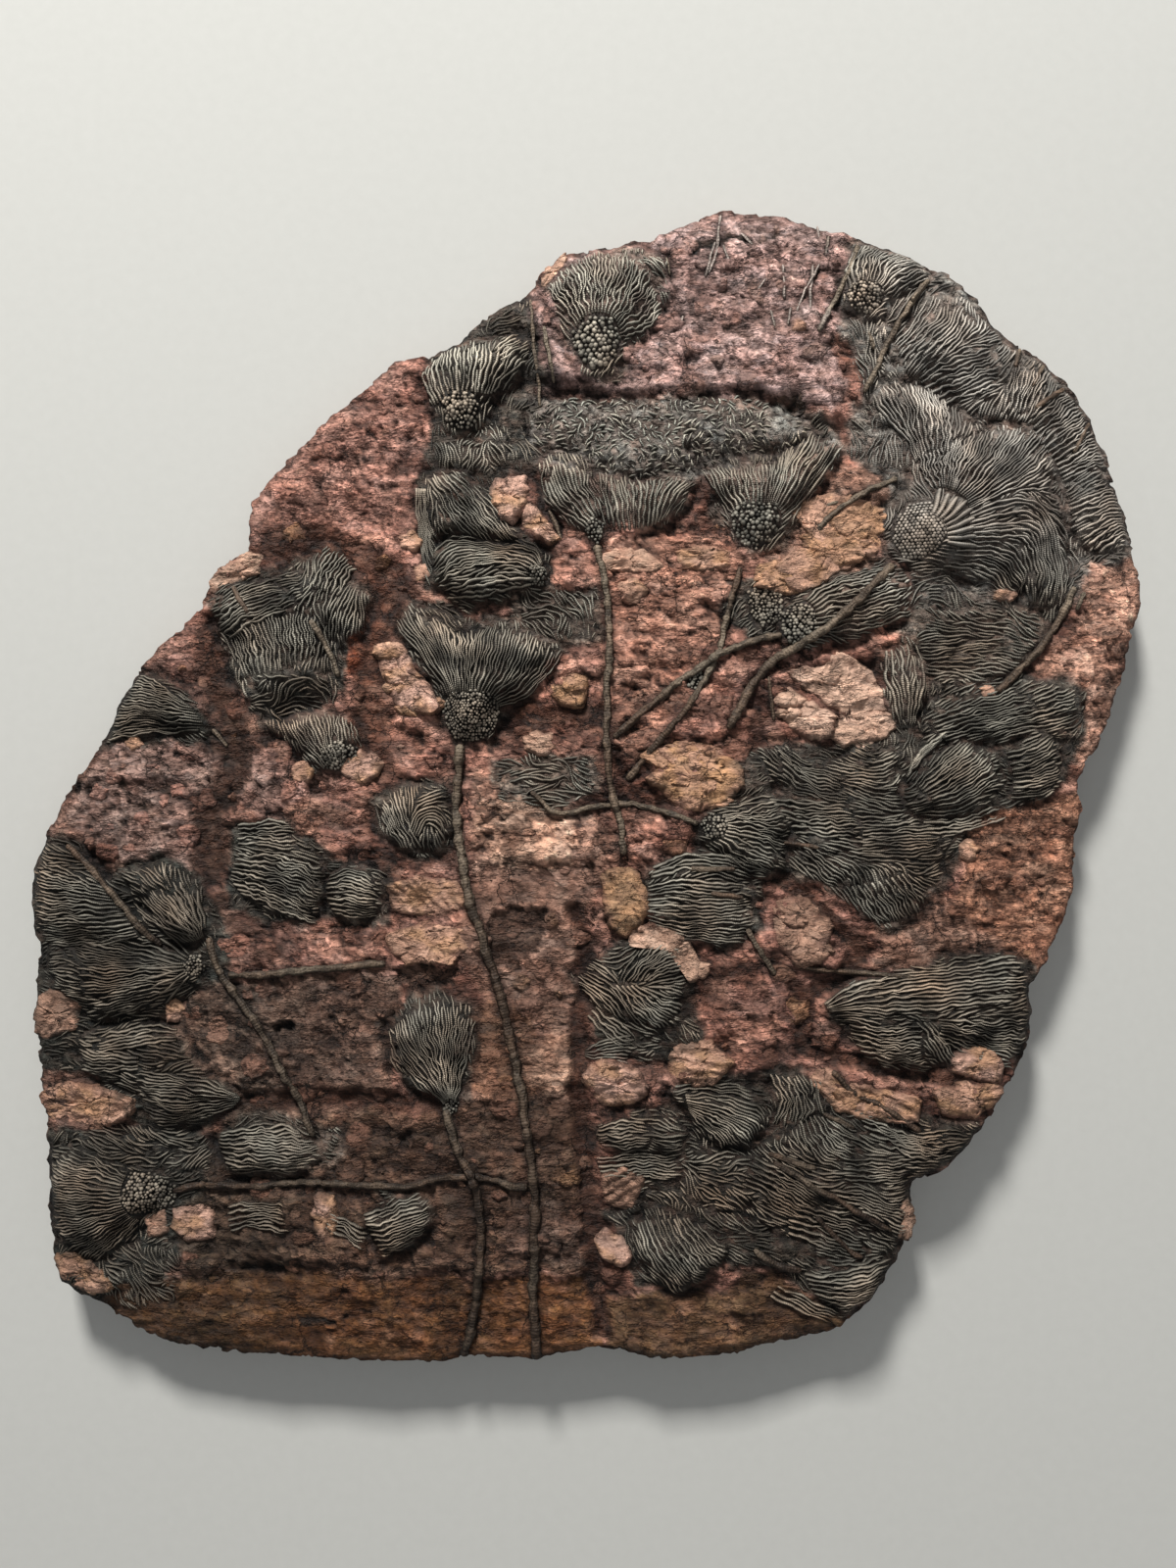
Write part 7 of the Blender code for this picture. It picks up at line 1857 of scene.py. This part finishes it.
def edge_table(quads, tris):
    e = np.vstack([quads[:, [0, 1]], quads[:, [1, 2]], quads[:, [2, 3]], quads[:, [3, 0]],
                   tris[:, [0, 1]], tris[:, [1, 2]], tris[:, [2, 0]]])
    key = np.minimum(e[:, 0], e[:, 1]).astype(np.int64) * (NX * NY) + np.maximum(e[:, 0], e[:, 1])
    _, first, count = np.unique(key, return_index=True, return_counts=True)
    return e[first[count == 1]]


for _ in range(12):  # no point of the rim may be touched twice
    free = edge_table(quads, tris)
    starts, counts = np.unique(free[:, 0], return_counts=True)
    bad = starts[counts > 1]
    if not len(bad):
        break
    hit = np.isin(tris, bad).any(1)
    tris = tris[~hit]
    hq = np.isin(quads, bad).any(1)
    extra = quads[hq]
    quads = quads[~hq]
follow = dict(zip(free[:, 0].tolist(), free[:, 1].tolist()))
loops, seen = [], set()
for s0 in follow:
    if s0 in seen:
        continue
    loop, cur = [], s0
    while cur not in seen:
        seen.add(cur)
        loop.append(cur)
        cur = follow[cur]
    loops.append(loop)
loops.sort(key=len)
rim_loop = np.array(loops[-1])
if len(loops) > 1:
    print("stone: small loops", [len(l) for l in loops[:-1]])
    # islands and holes at the rim are only reported; the walls follow the longest loop
top_z = sample(FACE, flat_x, flat_y)
verts = place(flat_x, flat_y, top_z)
tone = sample(STONE, flat_x, flat_y)
rough_face = sample(AMOUNT["rough"] + AMOUNT["rubble"], flat_x, flat_y)

loop_xy = np.column_stack([flat_x[rim_loop], flat_y[rim_loop]])
signed = 0.5 * np.sum(loop_xy[:, 0] * np.roll(loop_xy[:, 1], -1) - np.roll(loop_xy[:, 0], -1) * loop_xy[:, 1])
if signed > 0:  # counter-clockwise seen from above is negative in the drawing
    rim_loop, loop_xy = rim_loop[::-1], loop_xy[::-1]
tang = np.roll(loop_xy, -3, 0) - np.roll(loop_xy, 3, 0)
outward = np.column_stack([-tang[:, 1], tang[:, 0]])
outward /= np.linalg.norm(outward, axis=1)[:, None] + 1e-9
probe = sample(RIM, loop_xy[:, 0] + 4 * outward[:, 0], loop_xy[:, 1] + 4 * outward[:, 1]) > sample(RIM, loop_xy[:, 0], loop_xy[:, 1])
if probe.mean() > 0.5:
    outward = -outward
top = top_z[rim_loop]
side_faces_q, side_faces_t = [], []
side_verts, side_tone = [], []
base_index = len(verts)
prev = rim_loop
prev_xy, prev_out = loop_xy, outward
RINGS = 13
top_here = top
sel = np.arange(len(rim_loop))
for ring_no in range(1, RINGS + 1):
    s = (ring_no / RINGS) ** 0.92
    if ring_no == 3:
        sel = np.arange(0, len(rim_loop) - len(rim_loop) % 2, 2)
    if ring_no < 3:
        sel = np.arange(len(rim_loop))
    xy, out, tz = loop_xy[sel], outward[sel], top[sel]
    z = tz * (1 - s)
    q = z / UNIT
    layer = perlin(xy[:, 0] / 60 + 9, q / 7.5 + 0.3 * perlin(xy[:, 0] / 30, xy[:, 1] / 30, 111), 112)
    chunk = ridged(xy[:, 0] / 24 + q / 31, xy[:, 1] / 24 - q / 27, 3, 113)
    small = perlin(xy[:, 0] / 7 + q / 6, xy[:, 1] / 7 - q / 8, 114)
    push = 2.6 * math.sin(math.pi * min(1, s * 1.15)) + (2.3 * chunk + 1.2 * layer + 1.0 * small) * math.sin(math.pi * min(1.0, 0.16 + 0.84 * s)) ** 0.6 \
        - 6.0 * s ** 2.4
    push = np.minimum(push, 4.5)
    pos = xy + out * push[:, None]
    now = base_index + np.arange(len(sel))
    side_verts.append(place(pos[:, 0], pos[:, 1], z))
    t_ = sample(COLOUR, xy[:, 0] - 6 * out[:, 0], xy[:, 1] - 6 * out[:, 1])
    rock = srgb(118, 88, 76) * (0.85 + 0.3 * layer[:, None]) * 0.6 + 0.4 * t_
    rock = rock * np.clip(0.85 + 0.30 * chunk + 0.2 * small, 0.45, 1.3)[:, None]
    side_tone.append(rock)
    n = len(sel)
    if ring_no == 3:
        full_n = len(prev)
        i = np.arange(0, n)
        p0, p1, p2 = prev[sel], prev[(sel + 1) % full_n], prev[(sel + 2) % full_n]
        if full_n % 2:
            p2 = p2.copy()
        j = (i + 1) % n
        end = prev[np.where(i == n - 1, 0, (sel + 2) % full_n)] if full_n % 2 == 0 else p2
        side_faces_t += [np.column_stack([p0, now[i], p1]), np.column_stack([p1, now[i], now[j]]),
                         np.column_stack([p1, now[j], end])]
        if full_n % 2:  # one spare point at the seam of the loop
            side_faces_t.append(np.array([[end[-1], now[0], prev[0]]]))
    else:
        i = np.arange(n)
        j = (i + 1) % n
        side_faces_q.append(np.column_stack([prev[i], now[i], now[j], prev[j]]))
    prev = now
    base_index += n
ring_xyz = side_verts[-1]
centre = np.array([[ring_xyz[:, 0].mean(), ring_xyz[:, 1].mean(), 0.0]])
n = len(ring_xyz)
i = np.arange(n)
j = (i + 1) % n
inner = centre + (ring_xyz - centre) * 0.985
inner_index = base_index + i
side_verts.append(inner)
side_tone.append(np.tile(srgb(120, 92, 80), (n, 1)))
side_faces_q.append(np.column_stack([prev[i], inner_index[i], inner_index[j], prev[j]]))
base_index += n
side_verts.append(centre)
side_tone.append(srgb(120, 92, 80)[None])
side_faces_t.append(np.column_stack([np.full(n, base_index), inner_index[j], inner_index[i]]))
all_verts = np.vstack([verts] + side_verts)
all_tone = np.vstack([tone] + side_tone)
quads = np.vstack([quads] + side_faces_q)
tris = np.vstack([tris] + side_faces_t)
used = np.zeros(len(all_verts), bool)
used[quads.ravel()] = True
used[tris.ravel()] = True
renum = np.cumsum(used) - 1
grain = np.concatenate([rough_face, np.full(len(all_verts) - len(rough_face), 0.8)])
print("stone triangles", 2 * len(quads) + len(tris), "rim", len(rim_loop))
stone = make_mesh("stone", all_verts[used], [renum[quads], renum[tris]],
                  {"Col": np.clip(all_tone[used], 0.002, 1), "grain": np.clip(grain[used], 0, 1)}, sharp=48)

fossils = {}
for piece, heap in heaps.items():
    fossils[piece] = heap.mesh("fossil_" + piece)
limestone = block_heap.mesh("light_limestone_pieces")
lumps = lump_heap.mesh("red_rock_lumps")
for thing in (limestone, lumps):
    thing.data.set_sharp_from_angle(angle=math.radians(40))
print("blocks", block_heap.triangles(), "lumps", lump_heap.triangles(), len(placed))
print({p_: h.triangles() for p_, h in heaps.items() if p_.startswith("felt")})
print("largest", sorted(((h.triangles(), p_) for p_, h in heaps.items()), reverse=True)[:6])
print("fossil triangles", sum(h.triangles() for h in heaps.values()), "strands", sum(map(len, STRANDS.values())))


# ------------------------------------------------------------------ materials
class Nodes:
    """A little shorthand for building a node tree."""

    def __init__(self, name):
        self.material = bpy.data.materials.new(name)
        self.material.use_nodes = True
        self.tree = self.material.node_tree
        self.bsdf = self.tree.nodes["Principled BSDF"]

    def add(self, kind, inputs=None, **settings):
        node = self.tree.nodes.new(kind)
        for key, value in settings.items():
            setattr(node, key, value)
        for key, value in (inputs or {}).items():
            if isinstance(value, bpy.types.NodeSocket):
                self.tree.links.new(value, node.inputs[key])
            else:
                node.inputs[key].default_value = value
        return node

    def link(self, a, b):
        self.tree.links.new(a, b)

    def noise(self, where, scale, detail=4.0, rough=0.55, distortion=0.0):
        return self.add("ShaderNodeTexNoise", {"Vector": where, "Scale": scale, "Detail": detail, "Roughness": rough,
                                               "Distortion": distortion}).outputs["Fac"]

    def span(self, value, lo, hi, to_lo, to_hi):
        return self.add("ShaderNodeMapRange", {"Value": value, "From Min": lo, "From Max": hi, "To Min": to_lo,
                                               "To Max": to_hi}).outputs["Result"]

    def math(self, op, a, b=0.0):
        return self.add("ShaderNodeMath", {0: a, 1: b}, operation=op).outputs[0]

    def scale_colour(self, colour, factor):
        return self.add("ShaderNodeVectorMath", {0: colour, "Scale": factor}, operation="SCALE").outputs["Vector"]

    def mix(self, fac, a, b):
        node = self.tree.nodes.new("ShaderNodeMix")
        node.data_type = "RGBA"
        for socket, value in ((node.inputs[0], fac), (node.inputs[6], a), (node.inputs[7], b)):
            if isinstance(value, bpy.types.NodeSocket):
                self.tree.links.new(value, socket)
            else:
                socket.default_value = value
        return node.outputs[2]


def rgba(r, g, b):
    return tuple(srgb(r, g, b)) + (1.0,)


def chips(n, where, scale):
    """Broken facets: each small cell is a plane with its own tilt. Returns the height in metres and the cell's colour."""
    v = n.add("ShaderNodeTexVoronoi", {"Vector": where, "Scale": scale}, feature="F1")
    away = n.add("ShaderNodeVectorMath", {0: where, 1: v.outputs["Position"]}, operation="SUBTRACT").outputs["Vector"]
    lean = n.add("ShaderNodeVectorMath", {0: v.outputs["Color"], 1: (0.5, 0.5, 0.5)}, operation="SUBTRACT").outputs["Vector"]
    return (n.add("ShaderNodeVectorMath", {0: away, 1: lean}, operation="DOT_PRODUCT").outputs["Value"],
            v.outputs["Color"])


def ledges(n, where, scale, levels, soft, detail, rough):
    """Stone that has come away in sheets: level plates with short broken edges between them."""
    q = n.math("MULTIPLY", n.noise(where, scale, detail, rough), levels)
    part = n.math("FRACT", q)
    base = n.math("FLOOR", q)
    return n.math("ADD", base, n.span(part, 0.0, soft, 0.0, 1.0)), part, base


def stone_material(name, relief, fleck):
    n = Nodes(name)
    where = n.add("ShaderNodeTexCoord").outputs["Object"]
    col = n.add("ShaderNodeAttribute", attribute_name="Col").outputs["Color"]
    grain = n.add("ShaderNodeAttribute", attribute_name="grain").outputs["Fac"]
    drift = n.add("ShaderNodeTexNoise", {"Vector": where, "Scale": 95.0, "Detail": 3.0, "Roughness": 0.6}).outputs["Color"]
    drift = n.add("ShaderNodeVectorMath", {0: drift, "Scale": 0.011}, operation="SCALE").outputs["Vector"]
    bent = n.add("ShaderNodeVectorMath", {0: where, 1: drift}, operation="ADD").outputs["Vector"]
    bent = n.add("ShaderNodeVectorMath", {0: bent, 1: (0.62, 1.3, 1.0)}, operation="MULTIPLY").outputs["Vector"]
    big, big_col = chips(n, bent, 90.0)
    small, small_col = chips(n, bent, 260.0)
    laid = n.add("ShaderNodeVectorMath", {0: where, 1: (0.60, 1.45, 1.0)}, operation="MULTIPLY").outputs["Vector"]
    sheet, sheet_part, sheet_no = ledges(n, laid, 17.0, 10.0, 0.12, 7.0, 0.56)
    flake, flake_part, flake_no = ledges(n, laid, 48.0, 7.0, 0.18, 5.0, 0.58)
    fine = n.noise(where, 420, 5, 0.62)
    medium = n.noise(laid, 110, 6, 0.60, 0.4)
    broken = n.span(n.noise(laid, 12, 6, 0.62), 0.44, 0.53, 0.30, 1.0)  # elsewhere the mud is smooth
    # colour: plates differ a little; their broken edges carry a painted highlight above and painted shade at the foot
    # below
    colour = n.scale_colour(col, n.span(fine, 0.30, 0.70, 1 - 0.26 * fleck, 1 + 0.26 * fleck))
    colour = n.scale_colour(colour, n.span(medium, 0.32, 0.68, 1 - 0.15 * fleck, 1 + 0.15 * fleck))
    sand = n.math("MULTIPLY", n.math("SUBTRACT", n.noise(where, 260, 5, 0.72), 0.5), 2.6)
    colour = n.scale_colour(colour, n.math("ADD", n.math("MULTIPLY", sand, grain), 1.0))
    shade = n.add("ShaderNodeSeparateColor", {"Color": small_col}).outputs["Green"]
    colour = n.scale_colour(colour, n.span(shade, 0.0, 1.0, 1 - 0.13 * fleck, 1 + 0.13 * fleck))
    shade = n.add("ShaderNodeSeparateColor", {"Color": big_col}).outputs["Green"]
    colour = n.scale_colour(colour, n.span(shade, 0.0, 1.0, 1 - 0.13 * fleck, 1 + 0.13 * fleck))
    plate = n.math("SINE", n.math("MULTIPLY", sheet_no, 2.39))
    colour = n.scale_colour(colour, n.span(plate, -1.0, 1.0, 1 - 0.14 * fleck, 1 + 0.14 * fleck))
    chip = n.math("SINE", n.math("MULTIPLY", flake_no, 2.39))
    tint = n.add("ShaderNodeVectorMath", {0: colour, 1: (1.04, 0.93, 0.86)}, operation="MULTIPLY").outputs["Vector"]
    colour = n.mix(n.span(chip, -1.0, 1.0, 0.0, 0.75 * fleck), colour, tint)
    # painted highlight on the upper lip of each broken edge
    ledge_highlight = n.math("MULTIPLY", n.span(sheet_part, 0.10, 0.34, 1.0, 0.0), n.span(sheet_part, 0.0, 0.10, 0.0, 1.0))
    # painted shade at the foot of each step
    foot = n.math("MAXIMUM", n.span(sheet_part, 0.74, 1.0, 0.0, 1.0), n.span(flake_part, 0.80, 1.0, 0.0, 0.6))
    colour = n.scale_colour(colour, n.span(ledge_highlight, 0.0, 1.0, 1.0, 1 + 0.30 * fleck))
    colour = n.scale_colour(colour, n.span(foot, 0.0, 1.0, 1.0, 1 - 0.58 * fleck))
    chalk = n.span(n.noise(laid, 160, 5, 0.65), 0.62, 0.72, 0.0, 0.26)
    colour = n.mix(chalk, colour, n.add("ShaderNodeVectorMath", {0: colour, 1: (1.55, 1.52, 1.50)},
                                        operation="MULTIPLY").outputs["Vector"])
    pores = n.add("ShaderNodeTexVoronoi", {"Vector": where, "Scale": 250.0}, feature="F1").outputs["Distance"]
    pore = n.span(pores, 0.05, 0.22, 0.0, 1.0)
    # painted shade in the pores
    colour = n.scale_colour(colour, n.span(pore, 0.0, 1.0, 0.70, 1.0))
    hole = n.add("ShaderNodeTexVoronoi", {"Vector": bent, "Scale": 150.0}, feature="F1")
    hole = n.math("MULTIPLY", n.span(hole.outputs["Distance"], 0.12, 0.30, 1.0, 0.0),
                  n.span(n.add("ShaderNodeSeparateColor", {"Color": hole.outputs["Color"]}).outputs["Red"], 0.55, 0.7, 0.0, 1.0))
    hole = n.math("MULTIPLY", hole, n.span(grain, 0.2, 0.8, 0.0, 1.0))
    # painted shade in the pits
    colour = n.scale_colour(colour, n.span(hole, 0.0, 1.0, 1.0, 0.32))
    bow = n.add("ShaderNodeTexNoise", {"Vector": where, "Scale": 34.0, "Detail": 5.0, "Roughness": 0.62}).outputs["Color"]
    bow = n.add("ShaderNodeVectorMath", {0: bow, "Scale": 0.045}, operation="SCALE").outputs["Vector"]
    bow = n.add("ShaderNodeVectorMath", {0: where, 1: bow}, operation="ADD").outputs["Vector"]
    gap = n.add("ShaderNodeTexVoronoi", {"Vector": bow, "Scale": 27.0}, feature="DISTANCE_TO_EDGE").outputs["Distance"]
    here = n.span(n.noise(where, 19, 3, 0.6), 0.48, 0.58, 0.0, 1.0)
    crack = n.math("MULTIPLY", n.span(gap, 0.004, 0.030, 1.0, 0.0), here)
    # painted shade in the cracks
    colour = n.scale_colour(colour, n.span(crack, 0.0, 1.0, 1.0, 0.24))
    n.link(colour, n.bsdf.inputs["Base Color"])
    n.link(n.span(medium, 0.3, 0.7, 0.66, 0.92), n.bsdf.inputs["Roughness"])
    height = n.math("ADD", n.math("MULTIPLY", big, 1.05 * relief), n.math("MULTIPLY", small, 0.65 * relief))
    height = n.math("ADD", height, n.math("MULTIPLY", flake, 0.0009 * relief))
    height = n.math("MULTIPLY", height, broken)
    height = n.math("ADD", height, n.math("MULTIPLY", sheet, 0.0023 * relief))
    height = n.math("ADD", height, n.math("MULTIPLY", n.math("MULTIPLY", fine, n.span(grain, 0.0, 1.0, 0.6, 1.4)), 0.0012 * relief))
    height = n.math("ADD", height, n.math("MULTIPLY", medium, 0.0014 * relief))
    height = n.math("ADD", height, n.math("MULTIPLY", crack, -0.0013 * relief))
    height = n.math("ADD", height, n.math("MULTIPLY", hole, -0.0016 * relief))
    height = n.math("ADD", height, n.math("MULTIPLY", pore, 0.0006 * relief))
    bump = n.add("ShaderNodeBump", {"Height": height, "Strength": 1.0, "Distance": 1.0})
    n.link(bump.outputs["Normal"], n.bsdf.inputs["Normal"])
    n.bsdf.inputs["Specular IOR Level"].default_value = 0.28
    return n.material


def fossil_material(name, dark, power, joint_period, joint_depth, spec, groove=0.0):
    n = Nodes(name)
    where = n.add("ShaderNodeTexCoord").outputs["Object"]
    col = n.add("ShaderNodeAttribute", attribute_name="Col").outputs["Color"]
    crest = n.add("ShaderNodeAttribute", attribute_name="crest").outputs["Fac"]
    along = n.add("ShaderNodeAttribute", attribute_name="along").outputs["Fac"]
    fine = n.noise(where, 900, 4, 0.6)
    medium = n.noise(where, 230, 4, 0.6)
    # painted highlight on the crest of each strand and painted shade on its flanks, with some random variation
    crest_light_and_wear = n.math("POWER", n.math("ADD", n.math("MULTIPLY", crest, 0.9), n.span(medium, 0.3, 0.7, -0.10, 0.12)), power)
    colour = n.scale_colour(col, n.span(fine, 0.3, 0.7, 0.78, 1.22))
    colour = n.mix(n.span(crest_light_and_wear, 0.0, 0.9, 0.0, 1.0), n.scale_colour(colour, dark), colour)
    wave = n.math("SINE", n.math("MULTIPLY", along, 2 * math.pi / joint_period))
    colour = n.scale_colour(colour, n.span(wave, -1.0, 0.4, 1 - joint_depth, 1.0))
    if groove:
        split = n.math("SINE", n.math("ADD", n.math("MULTIPLY", crest, 15.0), n.span(n.noise(where, 60, 4, 0.6), 0.2, 0.8, -7.0, 7.0)))
        colour = n.scale_colour(colour, n.span(split, -1.0, -0.1, 0.52, 1.0))
    n.link(colour, n.bsdf.inputs["Base Color"])
    n.link(n.span(fine, 0.3, 0.7, 0.5, 0.78), n.bsdf.inputs["Roughness"])
    height = n.math("ADD", n.math("MULTIPLY", fine, 0.5), n.math("MULTIPLY", medium, 0.6))
    height = n.math("ADD", height, n.math("MULTIPLY", wave, 0.10 + joint_depth * 0.4))
    if groove:
        height = n.math("ADD", height, n.math("MULTIPLY", split, groove))
    bump = n.add("ShaderNodeBump", {"Height": height, "Strength": 0.75, "Distance": 0.0011})
    n.link(bump.outputs["Normal"], n.bsdf.inputs["Normal"])
    n.bsdf.inputs["Specular IOR Level"].default_value = spec
    return n.material


stone_look = stone_material("red_limestone", 1.0, 1.0)
pale_look = stone_material("pale_limestone", 0.75, 0.6)
arm_look = fossil_material("grey_calcite_arms", 0.04, 1.7, 0.0018, 0.16, 0.22)
stem_look = fossil_material("ringed_calcite_stems", 0.06, 1.7, 0.0029, 0.12, 0.30, 0.55)

for thing in (limestone, lumps):
    thing.data.materials.append(pale_look if thing is limestone else stone_look)
    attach(thing, "root")
stone.data.materials.append(stone_look)
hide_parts("matrix_slab")
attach(stone, "root")
for piece, obj in fossils.items():
    stem = piece.startswith("stem_")
    obj.data.materials.append(stem_look if stem else arm_look)
    if piece in nodes:
        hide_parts(piece)
    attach(obj, "root")

# ------------------------------------------------------------------ floor, light and camera
floor_mesh = bpy.data.meshes.new("floor")
floor_mesh.from_pydata([(-6, -6, 0), (6, -6, 0), (6, 6, 0), (-6, 6, 0)], [], [(0, 1, 2, 3)])
floor = bpy.data.objects.new("floor", floor_mesh)
bpy.context.scene.collection.objects.link(floor)
pale = Nodes("pale_floor")
where = pale.add("ShaderNodeTexCoord").outputs["Object"]
pale_noise = pale.noise(where, 90, 3)
pale.link(pale.mix(pale_noise, rgba(203, 203, 198), rgba(209, 209, 204)), pale.bsdf.inputs["Base Color"])
pale.bsdf.inputs["Roughness"].default_value = 0.9
pale.bsdf.inputs["Specular IOR Level"].default_value = 0.2
floor.data.materials.append(pale.material)

world = bpy.data.worlds.new("soft_studio")
world.use_nodes = True
world.node_tree.nodes["Background"].inputs["Color"].default_value = (0.93, 0.96, 1.0, 1.0)
world.node_tree.nodes["Background"].inputs["Strength"].default_value = 0.21
bpy.context.scene.world = world


def area_light(name, position, target, size, size_y, power, colour):
    data = bpy.data.lights.new(name, "AREA")
    data.shape = "RECTANGLE"
    data.size, data.size_y = size, size_y
    data.energy = power
    data.color = colour
    light = bpy.data.objects.new(name, data)
    bpy.context.scene.collection.objects.link(light)
    light.location = position
    from mathutils import Vector
    light.rotation_euler = (Vector(target) - Vector(position)).to_track_quat("-Z", "Y").to_euler()
    return light


area_light("key", (-1.1, 5.0, 2.85), (0, 0, 0.05), 1.05, 0.9, 512, (1.0, 0.985, 0.96))
area_light("fill", (0.6, -0.6, 2.8), (0, 0, 0.05), 2.2, 2.2, 7.5, (1.0, 0.97, 0.93))

camera_data = bpy.data.cameras.new("camera")
camera_data.sensor_width = 36
camera_data.sensor_fit = "AUTO"
camera_data.lens = 26
camera_data.clip_start = 0.02
camera = bpy.data.objects.new("camera", camera_data)
camera.location = (0.0014, 0.0042, 1.126)
camera.rotation_euler = (0, 0, 0)
bpy.context.scene.collection.objects.link(camera)
bpy.context.scene.camera = camera
bpy.context.scene.view_settings.view_transform = "Standard"
